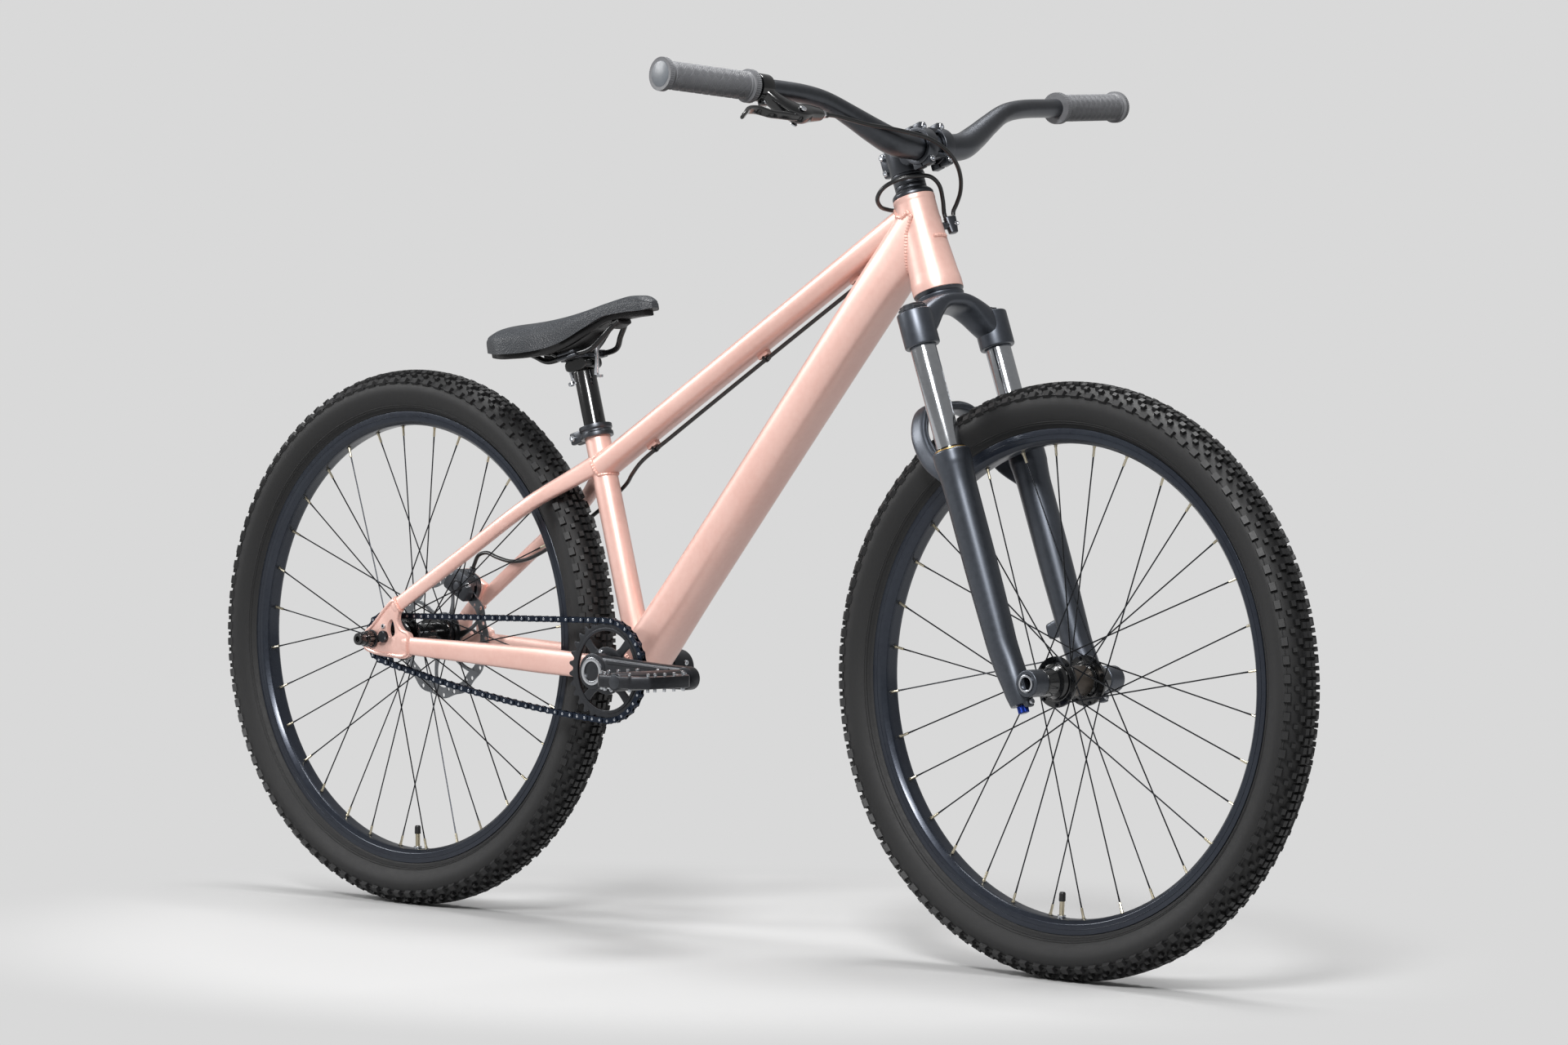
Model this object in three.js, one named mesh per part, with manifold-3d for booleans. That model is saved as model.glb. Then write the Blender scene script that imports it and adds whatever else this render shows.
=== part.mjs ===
// Dirt jump bike: aluminium frame, suspension fork, one gear and one rear disc brake.
// Millimetres. +X forward, +Y to the rider's left, +Z up. The chain is on the -Y side.
// The origin is on the ground, midway between the axles.

import * as THREE from 'three';
import { mergeVertices } from 'three/addons/utils/BufferGeometryUtils.js';
import Module from 'manifold-3d';

const wasm = await Module();
wasm.setup();

// Driving dimensions

const wheelBase = 1070;
const tyreRadius = 338;
const headAngle = 69.5;
const forkOffset = 40;
const forkLength = 470;
const headTubeLength = 116;
const lowerStackHeight = 12;
const chainStayLength = 392.3;
const bottomBracketDrop = 21;
const seatAngle = 73.3;
const seatTubeLength = 301;
const seatTubeForward = 9;
const crankLength = 160;
const chainPitch = 12.7;
const ringTeeth = 30;
const cogTeeth = 14;
const chainLine = 54;
const legSpacing = 132;
const rearHubWidth = 135;
const frontHubWidth = 110;
const shellWidth = 73;
const handlebarWidth = 800;

// Clearances and overruns

const gap = 0.3;
const overrun = 5;
const weld = 0.0001;

// Counts

const wheelSides = 36;
const tubeSides = 12;
const turnedSides = 16;
const smallSides = 10;
const boreSides = 8;
const spokeSides = 3;
const hexSides = 6;
const spokesPerSide = 16;
const spokeCrossings = 3;

const rightAngle = 90;
const fullTurn = 360;
const halfTurn = 180;
const radians = THREE.MathUtils.degToRad;
const X = new THREE.Vector3(1, 0, 0);
const Y = new THREE.Vector3(0, 1, 0);
const Z = new THREE.Vector3(0, 0, 1);
const sideOf = { right: -1, left: 1 };

// Finishes

function finish(color, roughness, metalness) {
  return new THREE.MeshStandardMaterial({ color, roughness, metalness });
}

const framePaint = finish(0xdfa493, 0.42, 0.35);
const satinBlack = finish(0x1b1d20, 0.5, 0.3);
const forkPaint = finish(0x2a2e35, 0.55, 0.35);
const blackMetal = finish(0x15171a, 0.35, 0.7);
const polishedSteel = finish(0xc9ccd0, 0.12, 1);
const chainSteel = finish(0x2b3442, 0.38, 0.9);
const rimPaint = finish(0x2b323d, 0.45, 0.4);
const tyreRubber = finish(0x1d1d1e, 0.85, 0);
const gripRubber = finish(0x3a3b3e, 0.8, 0);
const saddleVinyl = finish(0x303438, 0.7, 0);
const hoseBlack = finish(0x0e0f10, 0.5, 0);
const knobBlue = finish(0x2440a8, 0.4, 0.6);

// Solids from three.js geometry

/** Turns a closed geometry into a solid that can be joined and cut. */
function solid(geometry) {
  geometry.deleteAttribute('normal');
  geometry.deleteAttribute('uv');
  const merged = mergeVertices(geometry, weld);
  const vertProperties = new Float32Array(merged.attributes.position.array);
  const triVerts = new Uint32Array(merged.index.array);
  return new wasm.Manifold(new wasm.Mesh({ numProp: 3, vertProperties, triVerts }));
}

/** Turns a solid back into a geometry with flat faces. */
function geometryOf(body) {
  const mesh = body.getMesh();
  const geometry = new THREE.BufferGeometry();
  geometry.setAttribute('position', new THREE.BufferAttribute(mesh.vertProperties, 3));
  geometry.setIndex(new THREE.BufferAttribute(mesh.triVerts, 1));
  const flat = geometry.toNonIndexed();
  flat.computeVertexNormals();
  return flat;
}

/** A body turned about Z from a closed outline of [radius, height] points. */
function turned(outline, sides = turnedSides) {
  const points = outline.map(([radius, height]) => new THREE.Vector2(radius, height));
  return solid(new THREE.LatheGeometry(points, sides).rotateX(radians(rightAngle)));
}

/** The same, turned about Y, from [radius, y] points. */
function turnedAboutY(outline, sides = turnedSides) {
  return turned(outline, sides).rotate([-rightAngle, 0, 0]);
}

/** A solid round bar along Z from one height to another. */
function round(radius, low, high, sides = turnedSides) {
  return turned([[0, low], [radius, low], [radius, high], [0, high]], sides);
}

/** A solid round bar along Y. */
function roundAlongY(radius, low, high, sides = turnedSides) {
  return round(radius, low, high, sides).rotate([-rightAngle, 0, 0]);
}

/** A ring along Z with an inner and an outer radius. */
function ring(inner, outer, low, high, sides = turnedSides) {
  return turned([[inner, low], [outer, low], [outer, high], [inner, high], [inner, low]], sides);
}

/** A ring along Y. */
function ringAlongY(inner, outer, low, high, sides = turnedSides) {
  return ring(inner, outer, low, high, sides).rotate([-rightAngle, 0, 0]);
}

/** A box from its lowest to its highest corner. */
function block(low, high) {
  const size = high.map((value, axis) => value - low[axis]);
  const centre = high.map((value, axis) => (value + low[axis]) / 2);
  return solid(new THREE.BoxGeometry(...size).translate(...centre));
}

/** A flat outline of [x, z] points, with holes, as a plate between two Y values. */
function plate(outline, low, high, holes = []) {
  const shape = new THREE.Shape(outline.map(([x, z]) => new THREE.Vector2(x, z)));
  shape.holes = holes.map((hole) => new THREE.Path(hole.map(([x, z]) => new THREE.Vector2(x, z))));
  const geometry = new THREE.ExtrudeGeometry(shape, { depth: high - low, bevelEnabled: false });
  return solid(geometry.rotateX(radians(rightAngle)).translate(0, high, 0));
}

/** A closed body through flat rings of equally many points. */
function loft(rings) {
  const sides = rings[0].length;
  const sumOf = (ring) => ring.reduce((sum, point) => sum.add(point), new THREE.Vector3());
  const middle = (ring) => sumOf(ring).divideScalar(sides);
  const points = [...rings.flat(), middle(rings[0]), middle(rings.at(-1))];
  const first = points.length - 2;
  const last = points.length - 1;
  const index = [];
  for (let side = 0; side < sides; side++) {
    const next = (side + 1) % sides;
    for (let row = 0; row < rings.length - 1; row++) {
      const near = row * sides;
      const far = near + sides;
      index.push(near + side, near + next, far + next, near + side, far + next, far + side);
    }
    const end = (rings.length - 1) * sides;
    index.push(first, next, side, last, end + side, end + next);
  }
  const geometry = new THREE.BufferGeometry().setFromPoints(points);
  geometry.setIndex(index);
  return solid(geometry);
}

/** The points of a squared-off oval: power 2 is an ellipse, and more is squarer. */
function ovalRing(at, along, side, width, height, power, sides) {
  const across = side.clone().addScaledVector(along, -side.dot(along)).normalize();
  const up = along.clone().cross(across);
  const reach = (value) => Math.sign(value) * Math.abs(value) ** (2 / power);
  return Array.from({ length: sides }, (_, index) => {
    const angle = ((index + 1 / 2) / sides) * radians(fullTurn);
    const point = at.clone().addScaledVector(across, reach(Math.cos(angle)) * (width / 2));
    return point.addScaledVector(up, reach(Math.sin(angle)) * (height / 2));
  });
}

/**
 * A bar along a smooth path through stations of [x, y, z, width, height].
 * The width lies along the side direction, and the height across it.
 */
function bar(stations, { side = Y, sides = tubeSides, steps = 1, power = 2 } = {}) {
  const path = new THREE.CatmullRomCurve3(stations.map(([x, y, z]) => new THREE.Vector3(x, y, z)));
  const count = (stations.length - 1) * steps;
  const rings = Array.from({ length: count + 1 }, (_, index) => {
    const station = Math.min(Math.floor(index / steps), stations.length - 2);
    const share = index / steps - station;
    const [near, far] = [stations[station], stations[station + 1]];
    const size = (column) => THREE.MathUtils.lerp(near[column], far[column], share);
    const along = path.getTangent(index / count);
    return ovalRing(path.getPoint(index / count), along, side, size(3), size(4), power, sides);
  });
  return loft(rings);
}

/** The same stations with the first and last moved outwards along the path. */
function extended(stations, reach) {
  const point = (index) => new THREE.Vector3(...stations.at(index).slice(0, 3));
  const moved = (end, inward) => {
    const away = point(end).sub(point(inward)).setLength(reach);
    return [...point(end).add(away).toArray(), ...stations.at(end).slice(3)];
  };
  return [moved(0, 1), ...stations.slice(1, -1), moved(-1, -2)];
}

/** Joins solids into one. */
function joined(...bodies) {
  return wasm.Manifold.union(bodies);
}

/** The mirror image of a solid across the bike's middle plane. */
function mirrored(body) {
  return body.mirror([0, 1, 0]);
}

/** A right-hand solid as it is, or its mirror image for the left. */
function onSide(side, rightBody) {
  return side === 'left' ? mirrored(rightBody) : rightBody;
}

/** Adds a named piece to a group. */
function add(group, name, body, material) {
  const mesh = new THREE.Mesh(geometryOf(body), material);
  mesh.name = name;
  group.add(mesh);
  return mesh;
}

/** The radius of a faceted bore in which a faceted bar of some radius can turn. */
function turningBore(radius, sides = turnedSides) {
  return (radius + gap) / Math.cos(radians(halfTurn / sides));
}

// Where the main groups stand

const rearAxle = new THREE.Vector3(-wheelBase / 2, 0, tyreRadius);
const frontAxle = new THREE.Vector3(wheelBase / 2, 0, tyreRadius);
const steeringTilt = radians(headAngle - rightAngle);
const steeringUp = Z.clone().applyAxisAngle(Y, steeringTilt);
const steeringForward = X.clone().applyAxisAngle(Y, steeringTilt);
const crownRace = frontAxle.clone()
  .addScaledVector(steeringForward, -forkOffset)
  .addScaledVector(steeringUp, forkLength);
const bottomBracket = new THREE.Vector3(
  rearAxle.x + Math.sqrt(chainStayLength ** 2 - bottomBracketDrop ** 2),
  0,
  tyreRadius - bottomBracketDrop,
);
const seatTubeFoot = bottomBracket.clone().addScaledVector(X, seatTubeForward);
const seatUp = new THREE.Vector3(-Math.cos(radians(seatAngle)), 0, Math.sin(radians(seatAngle)));
const seatTilt = radians(seatAngle - rightAngle);

/** A group at a place, tilted about Y so that its own Z leans back. */
function tiltedGroup(place, tilt) {
  const group = new THREE.Group();
  group.position.copy(place);
  group.rotation.y = tilt;
  return group;
}

/** Moves a solid from a group's own frame to the bike's frame. */
function inBikeFrame(group, body) {
  group.updateMatrix();
  return body.transform(group.matrix.elements);
}

/** Moves a solid from the bike's frame to a group's own frame. */
function inGroupFrame(group, body) {
  group.updateMatrix();
  return body.transform(group.matrix.clone().invert().elements);
}

const bike = new THREE.Group();
const headGroup = tiltedGroup(crownRace, steeringTilt);
const seatGroup = tiltedGroup(seatTubeFoot, seatTilt);
bike.add(headGroup, seatGroup);

// Head tube and headset: heights run up the steering axis from the crown race

const headTubeLow = lowerStackHeight;
const headTubeHigh = headTubeLow + headTubeLength;
const headTubeLowRadius = 29.7;
const headTubeHighRadius = 24;
const headTubeWaistRadius = 25.6;
const headTubeWall = 4;
const headTubeLipHeight = 12;
const headTubeWaistHeight = 60;
const steererRadius = 14.3;
const steererLowRadius = 19.8;
const steererTaperLow = 25;
const steererTaperHigh = 55;
const crownSeatHeight = 7;
const cupDepth = 14;
const cupWall = 2.6;
const upperCoverHeight = 9;
const upperCoverTopRadius = 19;

function headTubeOutside(grow) {
  return [
    [headTubeLowRadius + grow, headTubeLow],
    [headTubeLowRadius + grow, headTubeLow + headTubeLipHeight],
    [headTubeWaistRadius + grow, headTubeLow + headTubeWaistHeight],
    [headTubeHighRadius + grow, headTubeHigh],
  ];
}

function headTubeBody() {
  const outside = headTubeOutside(0);
  const inside = headTubeOutside(-headTubeWall).reverse();
  return turned([...outside, ...inside, outside[0]]);
}

/** The space that other tubes keep clear of: the head tube, grown and without its bore. */
function headTubeKeepOut() {
  return turned([[0, headTubeLow], ...headTubeOutside(gap), [0, headTubeHigh]]);
}

function lowerCupBody() {
  const low = crownSeatHeight + gap;
  const seat = headTubeLow - gap;
  const insideRadius = headTubeLowRadius - headTubeWall - gap;
  const bore = turningBore(steererLowRadius);
  return turned([
    [bore, low],
    [headTubeLowRadius - cupWall, low],
    [headTubeLowRadius, seat],
    [insideRadius, seat],
    [insideRadius, seat + cupDepth - overrun],
    [bore, seat + cupDepth - overrun],
    [bore, low],
  ]);
}

function upperCupBody() {
  const seat = headTubeHigh + gap;
  const insideRadius = headTubeHighRadius - headTubeWall - gap;
  const bore = turningBore(steererRadius);
  return turned([
    [bore, seat - cupDepth],
    [insideRadius, seat - cupDepth],
    [insideRadius, seat],
    [headTubeHighRadius, seat],
    [headTubeHighRadius, seat + upperCoverHeight / 2],
    [upperCoverTopRadius, seat + upperCoverHeight],
    [bore, seat + upperCoverHeight],
    [bore, seat - cupDepth],
  ]);
}

// Frame tubes, in the bike's frame

const frameWall = 2.4;
const topTubeHeadDrop = 16.6;
const topTubeSeatDrop = 47;
const topTubeRearWidth = 38;
const topTubeRearHeight = 29;
const topTubeFrontWidth = 36;
const topTubeFrontHeight = 30;
const topTubePower = 2.8;
const guideShares = [0.14, 0.5, 0.79];
const guideLength = 16;
const guideWidth = 9;
const guideDrop = 4.5;
const guideY = 6;
const downTubeWidth = 60;
const downTubeHeight = 51;
const downTubeFootWidth = 64;
const downTubeFootHeight = 54;
const downTubeHeadWidth = 50;
const downTubeHeadHeight = 62;
const downTubePower = 2.9;
const downTubeHeadDrop = 36;
const downTubeSolidShare = 0.09;
const downTubeFlareShare = 0.2;
const downTubeHeadShare = 0.86;
const seatTubeRadius = 15.7;
const seatPostRadius = 13.6;
const seatTubeSocket = 190;
const shellRadius = 21.5;
const shellBore = 17.3;

/** A point up the seat tube, at a height along it from its foot. */
function onSeatTube(height) {
  return seatTubeFoot.clone().addScaledVector(seatUp, height);
}

/** A point up the steering axis from the crown race. */
function onSteeringAxis(height) {
  return crownRace.clone().addScaledVector(steeringUp, height);
}

const topTubeFoot = onSeatTube(seatTubeLength - topTubeSeatDrop);
const topTubeHead = onSteeringAxis(headTubeHigh - topTubeHeadDrop);
const topTubeRise = Math.atan2(topTubeHead.z - topTubeFoot.z, topTubeHead.x - topTubeFoot.x);
const downTubeHead = onSteeringAxis(headTubeHigh - downTubeHeadDrop);

function topTubeStations() {
  return [
    [...topTubeFoot.toArray(), topTubeRearWidth, topTubeRearHeight],
    [...topTubeHead.toArray(), topTubeFrontWidth, topTubeFrontHeight],
  ];
}

/** The same stations with every size grown by a margin on each side. */
function grown(stations, margin) {
  return stations.map(([x, y, z, width, height]) => [x, y, z, width + margin * 2, height + margin * 2]);
}

/** The top tube, grown on every side and left whole. */
function topTubeKeepOut() {
  return bar(grown(topTubeStations(), gap), { power: topTubePower });
}

function seatTubeKeepOut() {
  return inBikeFrame(seatGroup, round(seatTubeRadius + gap, 0, seatTubeLength + gap));
}

function shellKeepOut() {
  const half = shellWidth / 2 + gap;
  return roundAlongY(shellRadius + gap, -half, half).translate(bottomBracket.toArray());
}

function topTubeBody() {
  const outside = joined(bar(topTubeStations(), { power: topTubePower }), ...guideShares.map(hoseGuide));
  const hollow = extended(grown(topTubeStations(), -frameWall), overrun);
  const bore = bar(hollow, { power: topTubePower });
  return outside.subtract(joined(bore, inBikeFrame(headGroup, headTubeKeepOut()), seatTubeKeepOut()));
}

/** A place along the down tube's middle line, as a share of the way from its foot. */
function onDownTube(share) {
  return bottomBracket.clone().lerp(downTubeHead, share).toArray();
}

/** The down tube grown by a margin all round, from one share of its length to its head. */
function downTubeForm(grow, footShare) {
  const stations = [
    [...onDownTube(footShare), downTubeFootWidth, downTubeFootHeight],
    [...onDownTube(downTubeFlareShare), downTubeWidth, downTubeHeight],
    [...onDownTube(downTubeHeadShare), downTubeWidth, downTubeHeight],
    [...onDownTube(1), downTubeHeadWidth, downTubeHeadHeight],
  ];
  return bar(grown(stations, grow), { power: downTubePower });
}

/** The down tube, hollow from its solid foot up to the head tube. */
function downTubeBody() {
  const tube = downTubeForm(0, 0).subtract(downTubeForm(-frameWall, downTubeSolidShare));
  const neighbours = joined(
    inBikeFrame(headGroup, headTubeKeepOut()), topTubeKeepOut(), seatTubeKeepOut(), shellKeepOut(),
  );
  return largest(tube.subtract(neighbours));
}

/** The biggest of the separate bodies that a cut leaves. */
function largest(body) {
  return body.decompose().reduce((best, piece) => (piece.volume() > best.volume() ? piece : best));
}

/** The seat tube and the bottom bracket shell, which are welded into one. */
function seatTubeBody() {
  const tube = inBikeFrame(seatGroup, round(seatTubeRadius, 0, seatTubeLength));
  const half = shellWidth / 2;
  const shell = roundAlongY(shellRadius, -half, half).translate(bottomBracket.toArray());
  const socket = round(seatPostRadius + gap, seatTubeLength - seatTubeSocket, seatTubeLength + overrun);
  const bore = roundAlongY(shellBore, -half - overrun, half + overrun).translate(bottomBracket.toArray());
  return joined(tube, shell).subtract(joined(inBikeFrame(seatGroup, socket), bore));
}

// Rear triangle and dropouts: places are measured from the rear axle

const dropoutThickness = 8;
const dropoutInside = rearHubWidth / 2;
const dropoutOutside = dropoutInside + dropoutThickness;
const axleRadius = 5;
const axleSlotReach = 9;
const dropoutLength = 86;
const seatStayWeldShare = [0.5, 0.52];
const chainStayWeldShare = [0.744, -0.07];
const dropoutOutlineShares = [
  [-0.2, -0.15], [-0.06, -0.21], [0.35, -0.255], [0.745, -0.23], [0.765, 0.09], [0.605, 0.16],
  [0.51, 0.3], [0.54, 0.47], [0.45, 0.62], [0.3, 0.53], [-0.03, 0.2], [-0.2, 0.06],
];
const seatStayWaistY = 46;
const seatStayTopY = 8;
const chainStayFootY = 26;
const seatStayWidth = 16;
const seatStayHeight = 18.5;
const seatStayTopHeight = 25;
const seatStayWaistShare = 0.72;
const seatStayTopRise = 6;
const chainStayRearHeight = 22;
const chainStayFrontHeight = 32;
const chainStayWidth = 15;
const chainStayWaistWidth = 12;
const chainStayWaistShare = 0.62;
const chainStayWaistY = 41;
const chainStayYokeY = 36.3;
const chainStayYokeWidth = 9.5;
const chainStayYokeHeight = 30;
const chainStayYokeShare = 0.81;
const stayPower = 2.4;
const staySteps = 3;

/** A place on the right dropout's middle plane, from shares of the dropout's length. */
function onDropout([forwardShare, upShare]) {
  const out = dropoutInside + dropoutThickness / 2;
  return rearAxle.clone().add(new THREE.Vector3(forwardShare * dropoutLength, -out, upShare * dropoutLength));
}

function slotOutline(radius, reach) {
  const steps = smallSides / 2;
  const arc = (centre, from) => Array.from({ length: steps + 1 }, (_, index) => {
    const angle = radians(from + (index / steps) * halfTurn);
    return [centre + Math.cos(angle) * radius, Math.sin(angle) * radius];
  });
  return [...arc(reach, -rightAngle), ...arc(-reach, rightAngle)];
}

/** The dropout plate on the right, with its slot for the axle, grown by a margin in thickness. */
function dropoutPlate(grow) {
  const outline = dropoutOutlineShares.map((place) => place.map((share) => share * dropoutLength));
  const slot = slotOutline(axleRadius + gap, axleSlotReach);
  const body = plate(outline, -dropoutOutside - grow, -dropoutInside + grow, grow ? [] : [slot]);
  return body.translate(rearAxle.toArray());
}

function chainStayStations() {
  const foot = bottomBracket;
  const start = onDropout(chainStayWeldShare);
  const waist = start.clone().lerp(foot, chainStayWaistShare).setY(-chainStayWaistY);
  const yoke = start.clone().lerp(foot, chainStayYokeShare).setY(-chainStayYokeY);
  return [
    [...start.toArray(), dropoutThickness, chainStayRearHeight],
    [...waist.toArray(), chainStayWaistWidth, chainStayFrontHeight],
    [...yoke.toArray(), chainStayYokeWidth, chainStayYokeHeight],
    [foot.x, -chainStayFootY, foot.z, chainStayWidth, chainStayFrontHeight],
  ];
}

function chainStayBody(side) {
  const tube = bar(chainStayStations(), { steps: staySteps, power: stayPower, sides: smallSides });
  const body = joined(tube, dropoutPlate(0));
  const neighbours = joined(shellKeepOut(), downTubeForm(gap, 0), seatTubeKeepOut());
  return onSide(side, largest(body.subtract(neighbours)));
}

function seatStayStations() {
  const start = onDropout(seatStayWeldShare);
  const end = topTubeFoot.clone();
  end.z += seatStayTopRise;
  const waist = start.clone().lerp(end, seatStayWaistShare).setY(-seatStayWaistY);
  return [
    [...start.toArray(), dropoutThickness, seatStayHeight],
    [...waist.toArray(), seatStayWidth, seatStayHeight],
    [end.x, -seatStayTopY, end.z, seatStayWidth, seatStayTopHeight],
  ];
}

/** A seatstay. The left one also carries the tab that the brake caliper is bolted to. */
function seatStayBody(side) {
  const tube = bar(seatStayStations(), { steps: staySteps, power: stayPower, sides: smallSides });
  const middle = block([rearAxle.x, -gap / 2, 0], [0, rearHubWidth, tyreRadius * 2]);
  const stay = side === 'left' ? joined(tube, mirrored(caliperTab())) : tube;
  const neighbours = joined(seatTubeKeepOut(), topTubeKeepOut(), dropoutPlate(gap), middle);
  return onSide(side, largest(stay.subtract(neighbours)));
}

const seatClampHeight = 15;
const seatClampWall = 4.5;
const seatClampLip = 6;
const seatClampEarLength = 18;
const seatClampEarWidth = 18;
const seatClampSlot = 3;

/** The slotted collar round the top of the seat tube, with its ears to the rear. */
function seatCollarBody() {
  const low = seatTubeLength - seatClampHeight + seatClampLip;
  const high = seatTubeLength + seatClampLip;
  const inside = seatTubeRadius + gap;
  const outside = inside + seatClampWall;
  const earEnd = outside + seatClampEarLength;
  const band = round(outside, low, high);
  const ears = block([-earEnd, -seatClampEarWidth / 2, low], [0, seatClampEarWidth / 2, high]);
  const bore = round(inside, low - overrun, seatTubeLength + gap);
  const neck = round(seatPostRadius + gap, low, high + overrun);
  const slot = block(
    [-earEnd - overrun, -seatClampSlot / 2, low - overrun],
    [0, seatClampSlot / 2, high + overrun],
  );
  return joined(band, ears).subtract(joined(bore, neck, slot));
}

// Seatpost and saddle: heights run up the seat tube from its foot

const postExposed = 75;
const postTop = seatTubeLength + postExposed;
const postLength = 230;
const postWall = 2.4;
const postCrown = 10;
const postHeadLength = 38;
const postHeadWidth = 30;
const postHeadHeight = 16;
const postHeadPower = 3;
const saddleTilt = -13;
const railSpacing = 44;
const railRadius = 3.5;
const railClampLength = 34;
const cradleHeight = 9;
const cradleWidth = 58;
const saddleLength = 253;
const saddleRearReach = 119;
const saddleWidth = 138;
const saddleRearHeight = 76;
const saddleFloor = 50;
const saddleSkirt = 7;
const saddlePower = 2.4;
const saddleArchPoints = 12;
const baseThickness = 6;
const baseDrop = 6;

function postBody() {
  const tube = round(seatPostRadius, postTop - postLength, postTop);
  const hollow = round(seatPostRadius - postWall, postTop - postLength - overrun, postTop - postCrown);
  return tube.subtract(hollow);
}

const saddleGroup = tiltedGroup(onSeatTube(postTop), radians(saddleTilt));
bike.add(saddleGroup);

/** The head on the post that carries both cradles, in the saddle's own frame. */
function saddleClampBody() {
  const head = bar([
    [0, -postHeadWidth / 2, 0, postHeadLength, postHeadHeight],
    [0, postHeadWidth / 2, 0, postHeadLength, postHeadHeight],
  ], { side: X, power: postHeadPower }).translate([0, 0, postHeadHeight / 2 + gap + gap]);
  const cradle = block(
    [-railClampLength / 2, -cradleWidth / 2, railHeight - cradleHeight / 2 - gap],
    [railClampLength / 2, cradleWidth / 2, railHeight + cradleHeight / 2],
  );
  const grooves = railBody(gap);
  const post = inBikeFrame(seatGroup, round(seatPostRadius + overrun, 0, postTop + gap));
  return joined(head, cradle).subtract(joined(grooves, inGroupFrame(saddleGroup, post)));
}

const railRearReach = 80;
const railFrontReach = 72;
const railEndHeight = 44;
const railLevelRear = 38;
const railLevelFront = 38;
const railNoseSpacing = 16;
const railMidShare = 0.5;
const railSides = 8;
const railHeight = postHeadHeight + cradleHeight / 2;

/** Both rails as one bent rod that turns round at the nose. */
function railBody(grow) {
  const width = (railRadius + grow) * 2;
  const half = railSpacing / 2;
  const noseHalf = railNoseSpacing / 2;
  const mid = (from, to) => THREE.MathUtils.lerp(from, to, railMidShare);
  const rightRail = [
    [-railRearReach, -half, railEndHeight],
    [-mid(railRearReach, railLevelRear), -half, mid(railEndHeight, railHeight)],
    [-railLevelRear, -half, railHeight],
    [railLevelFront, -half, railHeight],
    [mid(railLevelFront, railFrontReach), -mid(half, noseHalf), mid(railHeight, railEndHeight)],
    [railFrontReach, -noseHalf, railEndHeight],
  ];
  const leftRail = rightRail.map(([x, y, z]) => [x, -y, z]).reverse();
  const nose = [railFrontReach + noseHalf / 2, 0, railEndHeight];
  const stations = [...rightRail, nose, ...leftRail].map((place) => [...place, width, width]);
  return bar(stations, { side: Z, sides: railSides, steps: 2 });
}

/** Half widths, crests and hems along the saddle, as shares, from the rear to the nose. */
const saddleOutlineShares = [
  { along: 0, width: 0.42, crest: 0.93, hem: 0.76 },
  { along: 0.05, width: 0.8, crest: 0.97, hem: 0.6 },
  { along: 0.17, width: 1, crest: 0.99, hem: 0.49 },
  { along: 0.32, width: 0.88, crest: 0.94, hem: 0.42 },
  { along: 0.46, width: 0.6, crest: 0.92, hem: 0.45 },
  { along: 0.6, width: 0.39, crest: 0.93, hem: 0.61 },
  { along: 0.73, width: 0.31, crest: 0.95, hem: 0.72 },
  { along: 0.86, width: 0.27, crest: 0.96, hem: 0.69 },
  { along: 0.95, width: 0.23, crest: 0.9, hem: 0.65 },
  { along: 1, width: 0.12, crest: 0.78, hem: 0.66 },
];

/** The sizes of the saddle at one of its stations. */
function saddleStation({ along, width, crest, hem }) {
  const half = (saddleWidth / 2) * width;
  const hemHeight = hem * saddleRearHeight;
  return {
    x: -saddleRearReach + along * saddleLength,
    half,
    inner: Math.max(half - saddleSkirt, half / 2),
    crestHeight: crest * saddleRearHeight,
    hemHeight,
    underside: Math.max(hemHeight, saddleFloor),
  };
}

/** The crowned cover: each ring arches over the top and closes along a flat underside. */
function saddleCoverBody() {
  const rings = saddleOutlineShares.map(saddleStation).map((station) => {
    const { x, half, inner, crestHeight, hemHeight, underside } = station;
    const arch = Array.from({ length: saddleArchPoints }, (_, index) => {
      const angle = (index / (saddleArchPoints - 1)) * radians(halfTurn);
      const height = hemHeight + (crestHeight - hemHeight) * Math.sin(angle) ** (1 / saddlePower);
      return new THREE.Vector3(x, Math.cos(angle) * half, height);
    });
    const under = [-1, -1 / 2, 1 / 2, 1].map((share) => new THREE.Vector3(x, share * inner, underside));
    return [...arch, ...under];
  });
  return loft(rings);
}

/** The plastic base under the cover: a channel whose walls reach below the hem, with rail sockets. */
function saddleBaseBody() {
  const stations = saddleOutlineShares.slice(1, -1).map(saddleStation);
  const rings = stations.map(({ x, inner, hemHeight, underside }) => {
    const half = inner - gap;
    const core = Math.max(half - baseThickness, half / 2);
    const high = underside - gap;
    const ceiling = high - baseThickness;
    const low = hemHeight - baseDrop;
    const right = [[-half, high], [-half, low], [-core, low], [-core, ceiling]];
    const left = right.map(([y, z]) => [-y, z]).reverse();
    return [...right, ...left].map(([y, z]) => new THREE.Vector3(x, y, z));
  });
  return loft(rings).subtract(railBody(gap));
}

// Wheels: each is built about its own axle, with Y along it

const rimFlangeRadius = 285.5;
const rimInsideRadius = 268;
const rimHalfWidth = 14.5;
const rimWall = 1.8;
const rimSpineHalfWidth = 8;
const rimShoulderRadius = 273;
const tyreWall = 2.6;
const tyreBeadRadius = 275.5;
const tyreBeadHalfWidth = 8;
const tyreBeadWall = 4;
const tyreHalfWidth = 29;
const tyreWidestRadius = 311;
const tyreShoulderRadius = 330;
const tyreShoulderHalfWidth = 22;
const tyreCrownHalfWidth = 9;
const treadDepth = 2.6;
const spokeDiameter = 1.8;
const spokeSplay = 1.05;
const flangeThickness = 4;
const flangeRadius = 29;
const flangeMargin = 3;
const rimSpokeY = 2.5;
const rightLacingShare = 0.25;
const leftLacingShare = 0.75;

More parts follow.
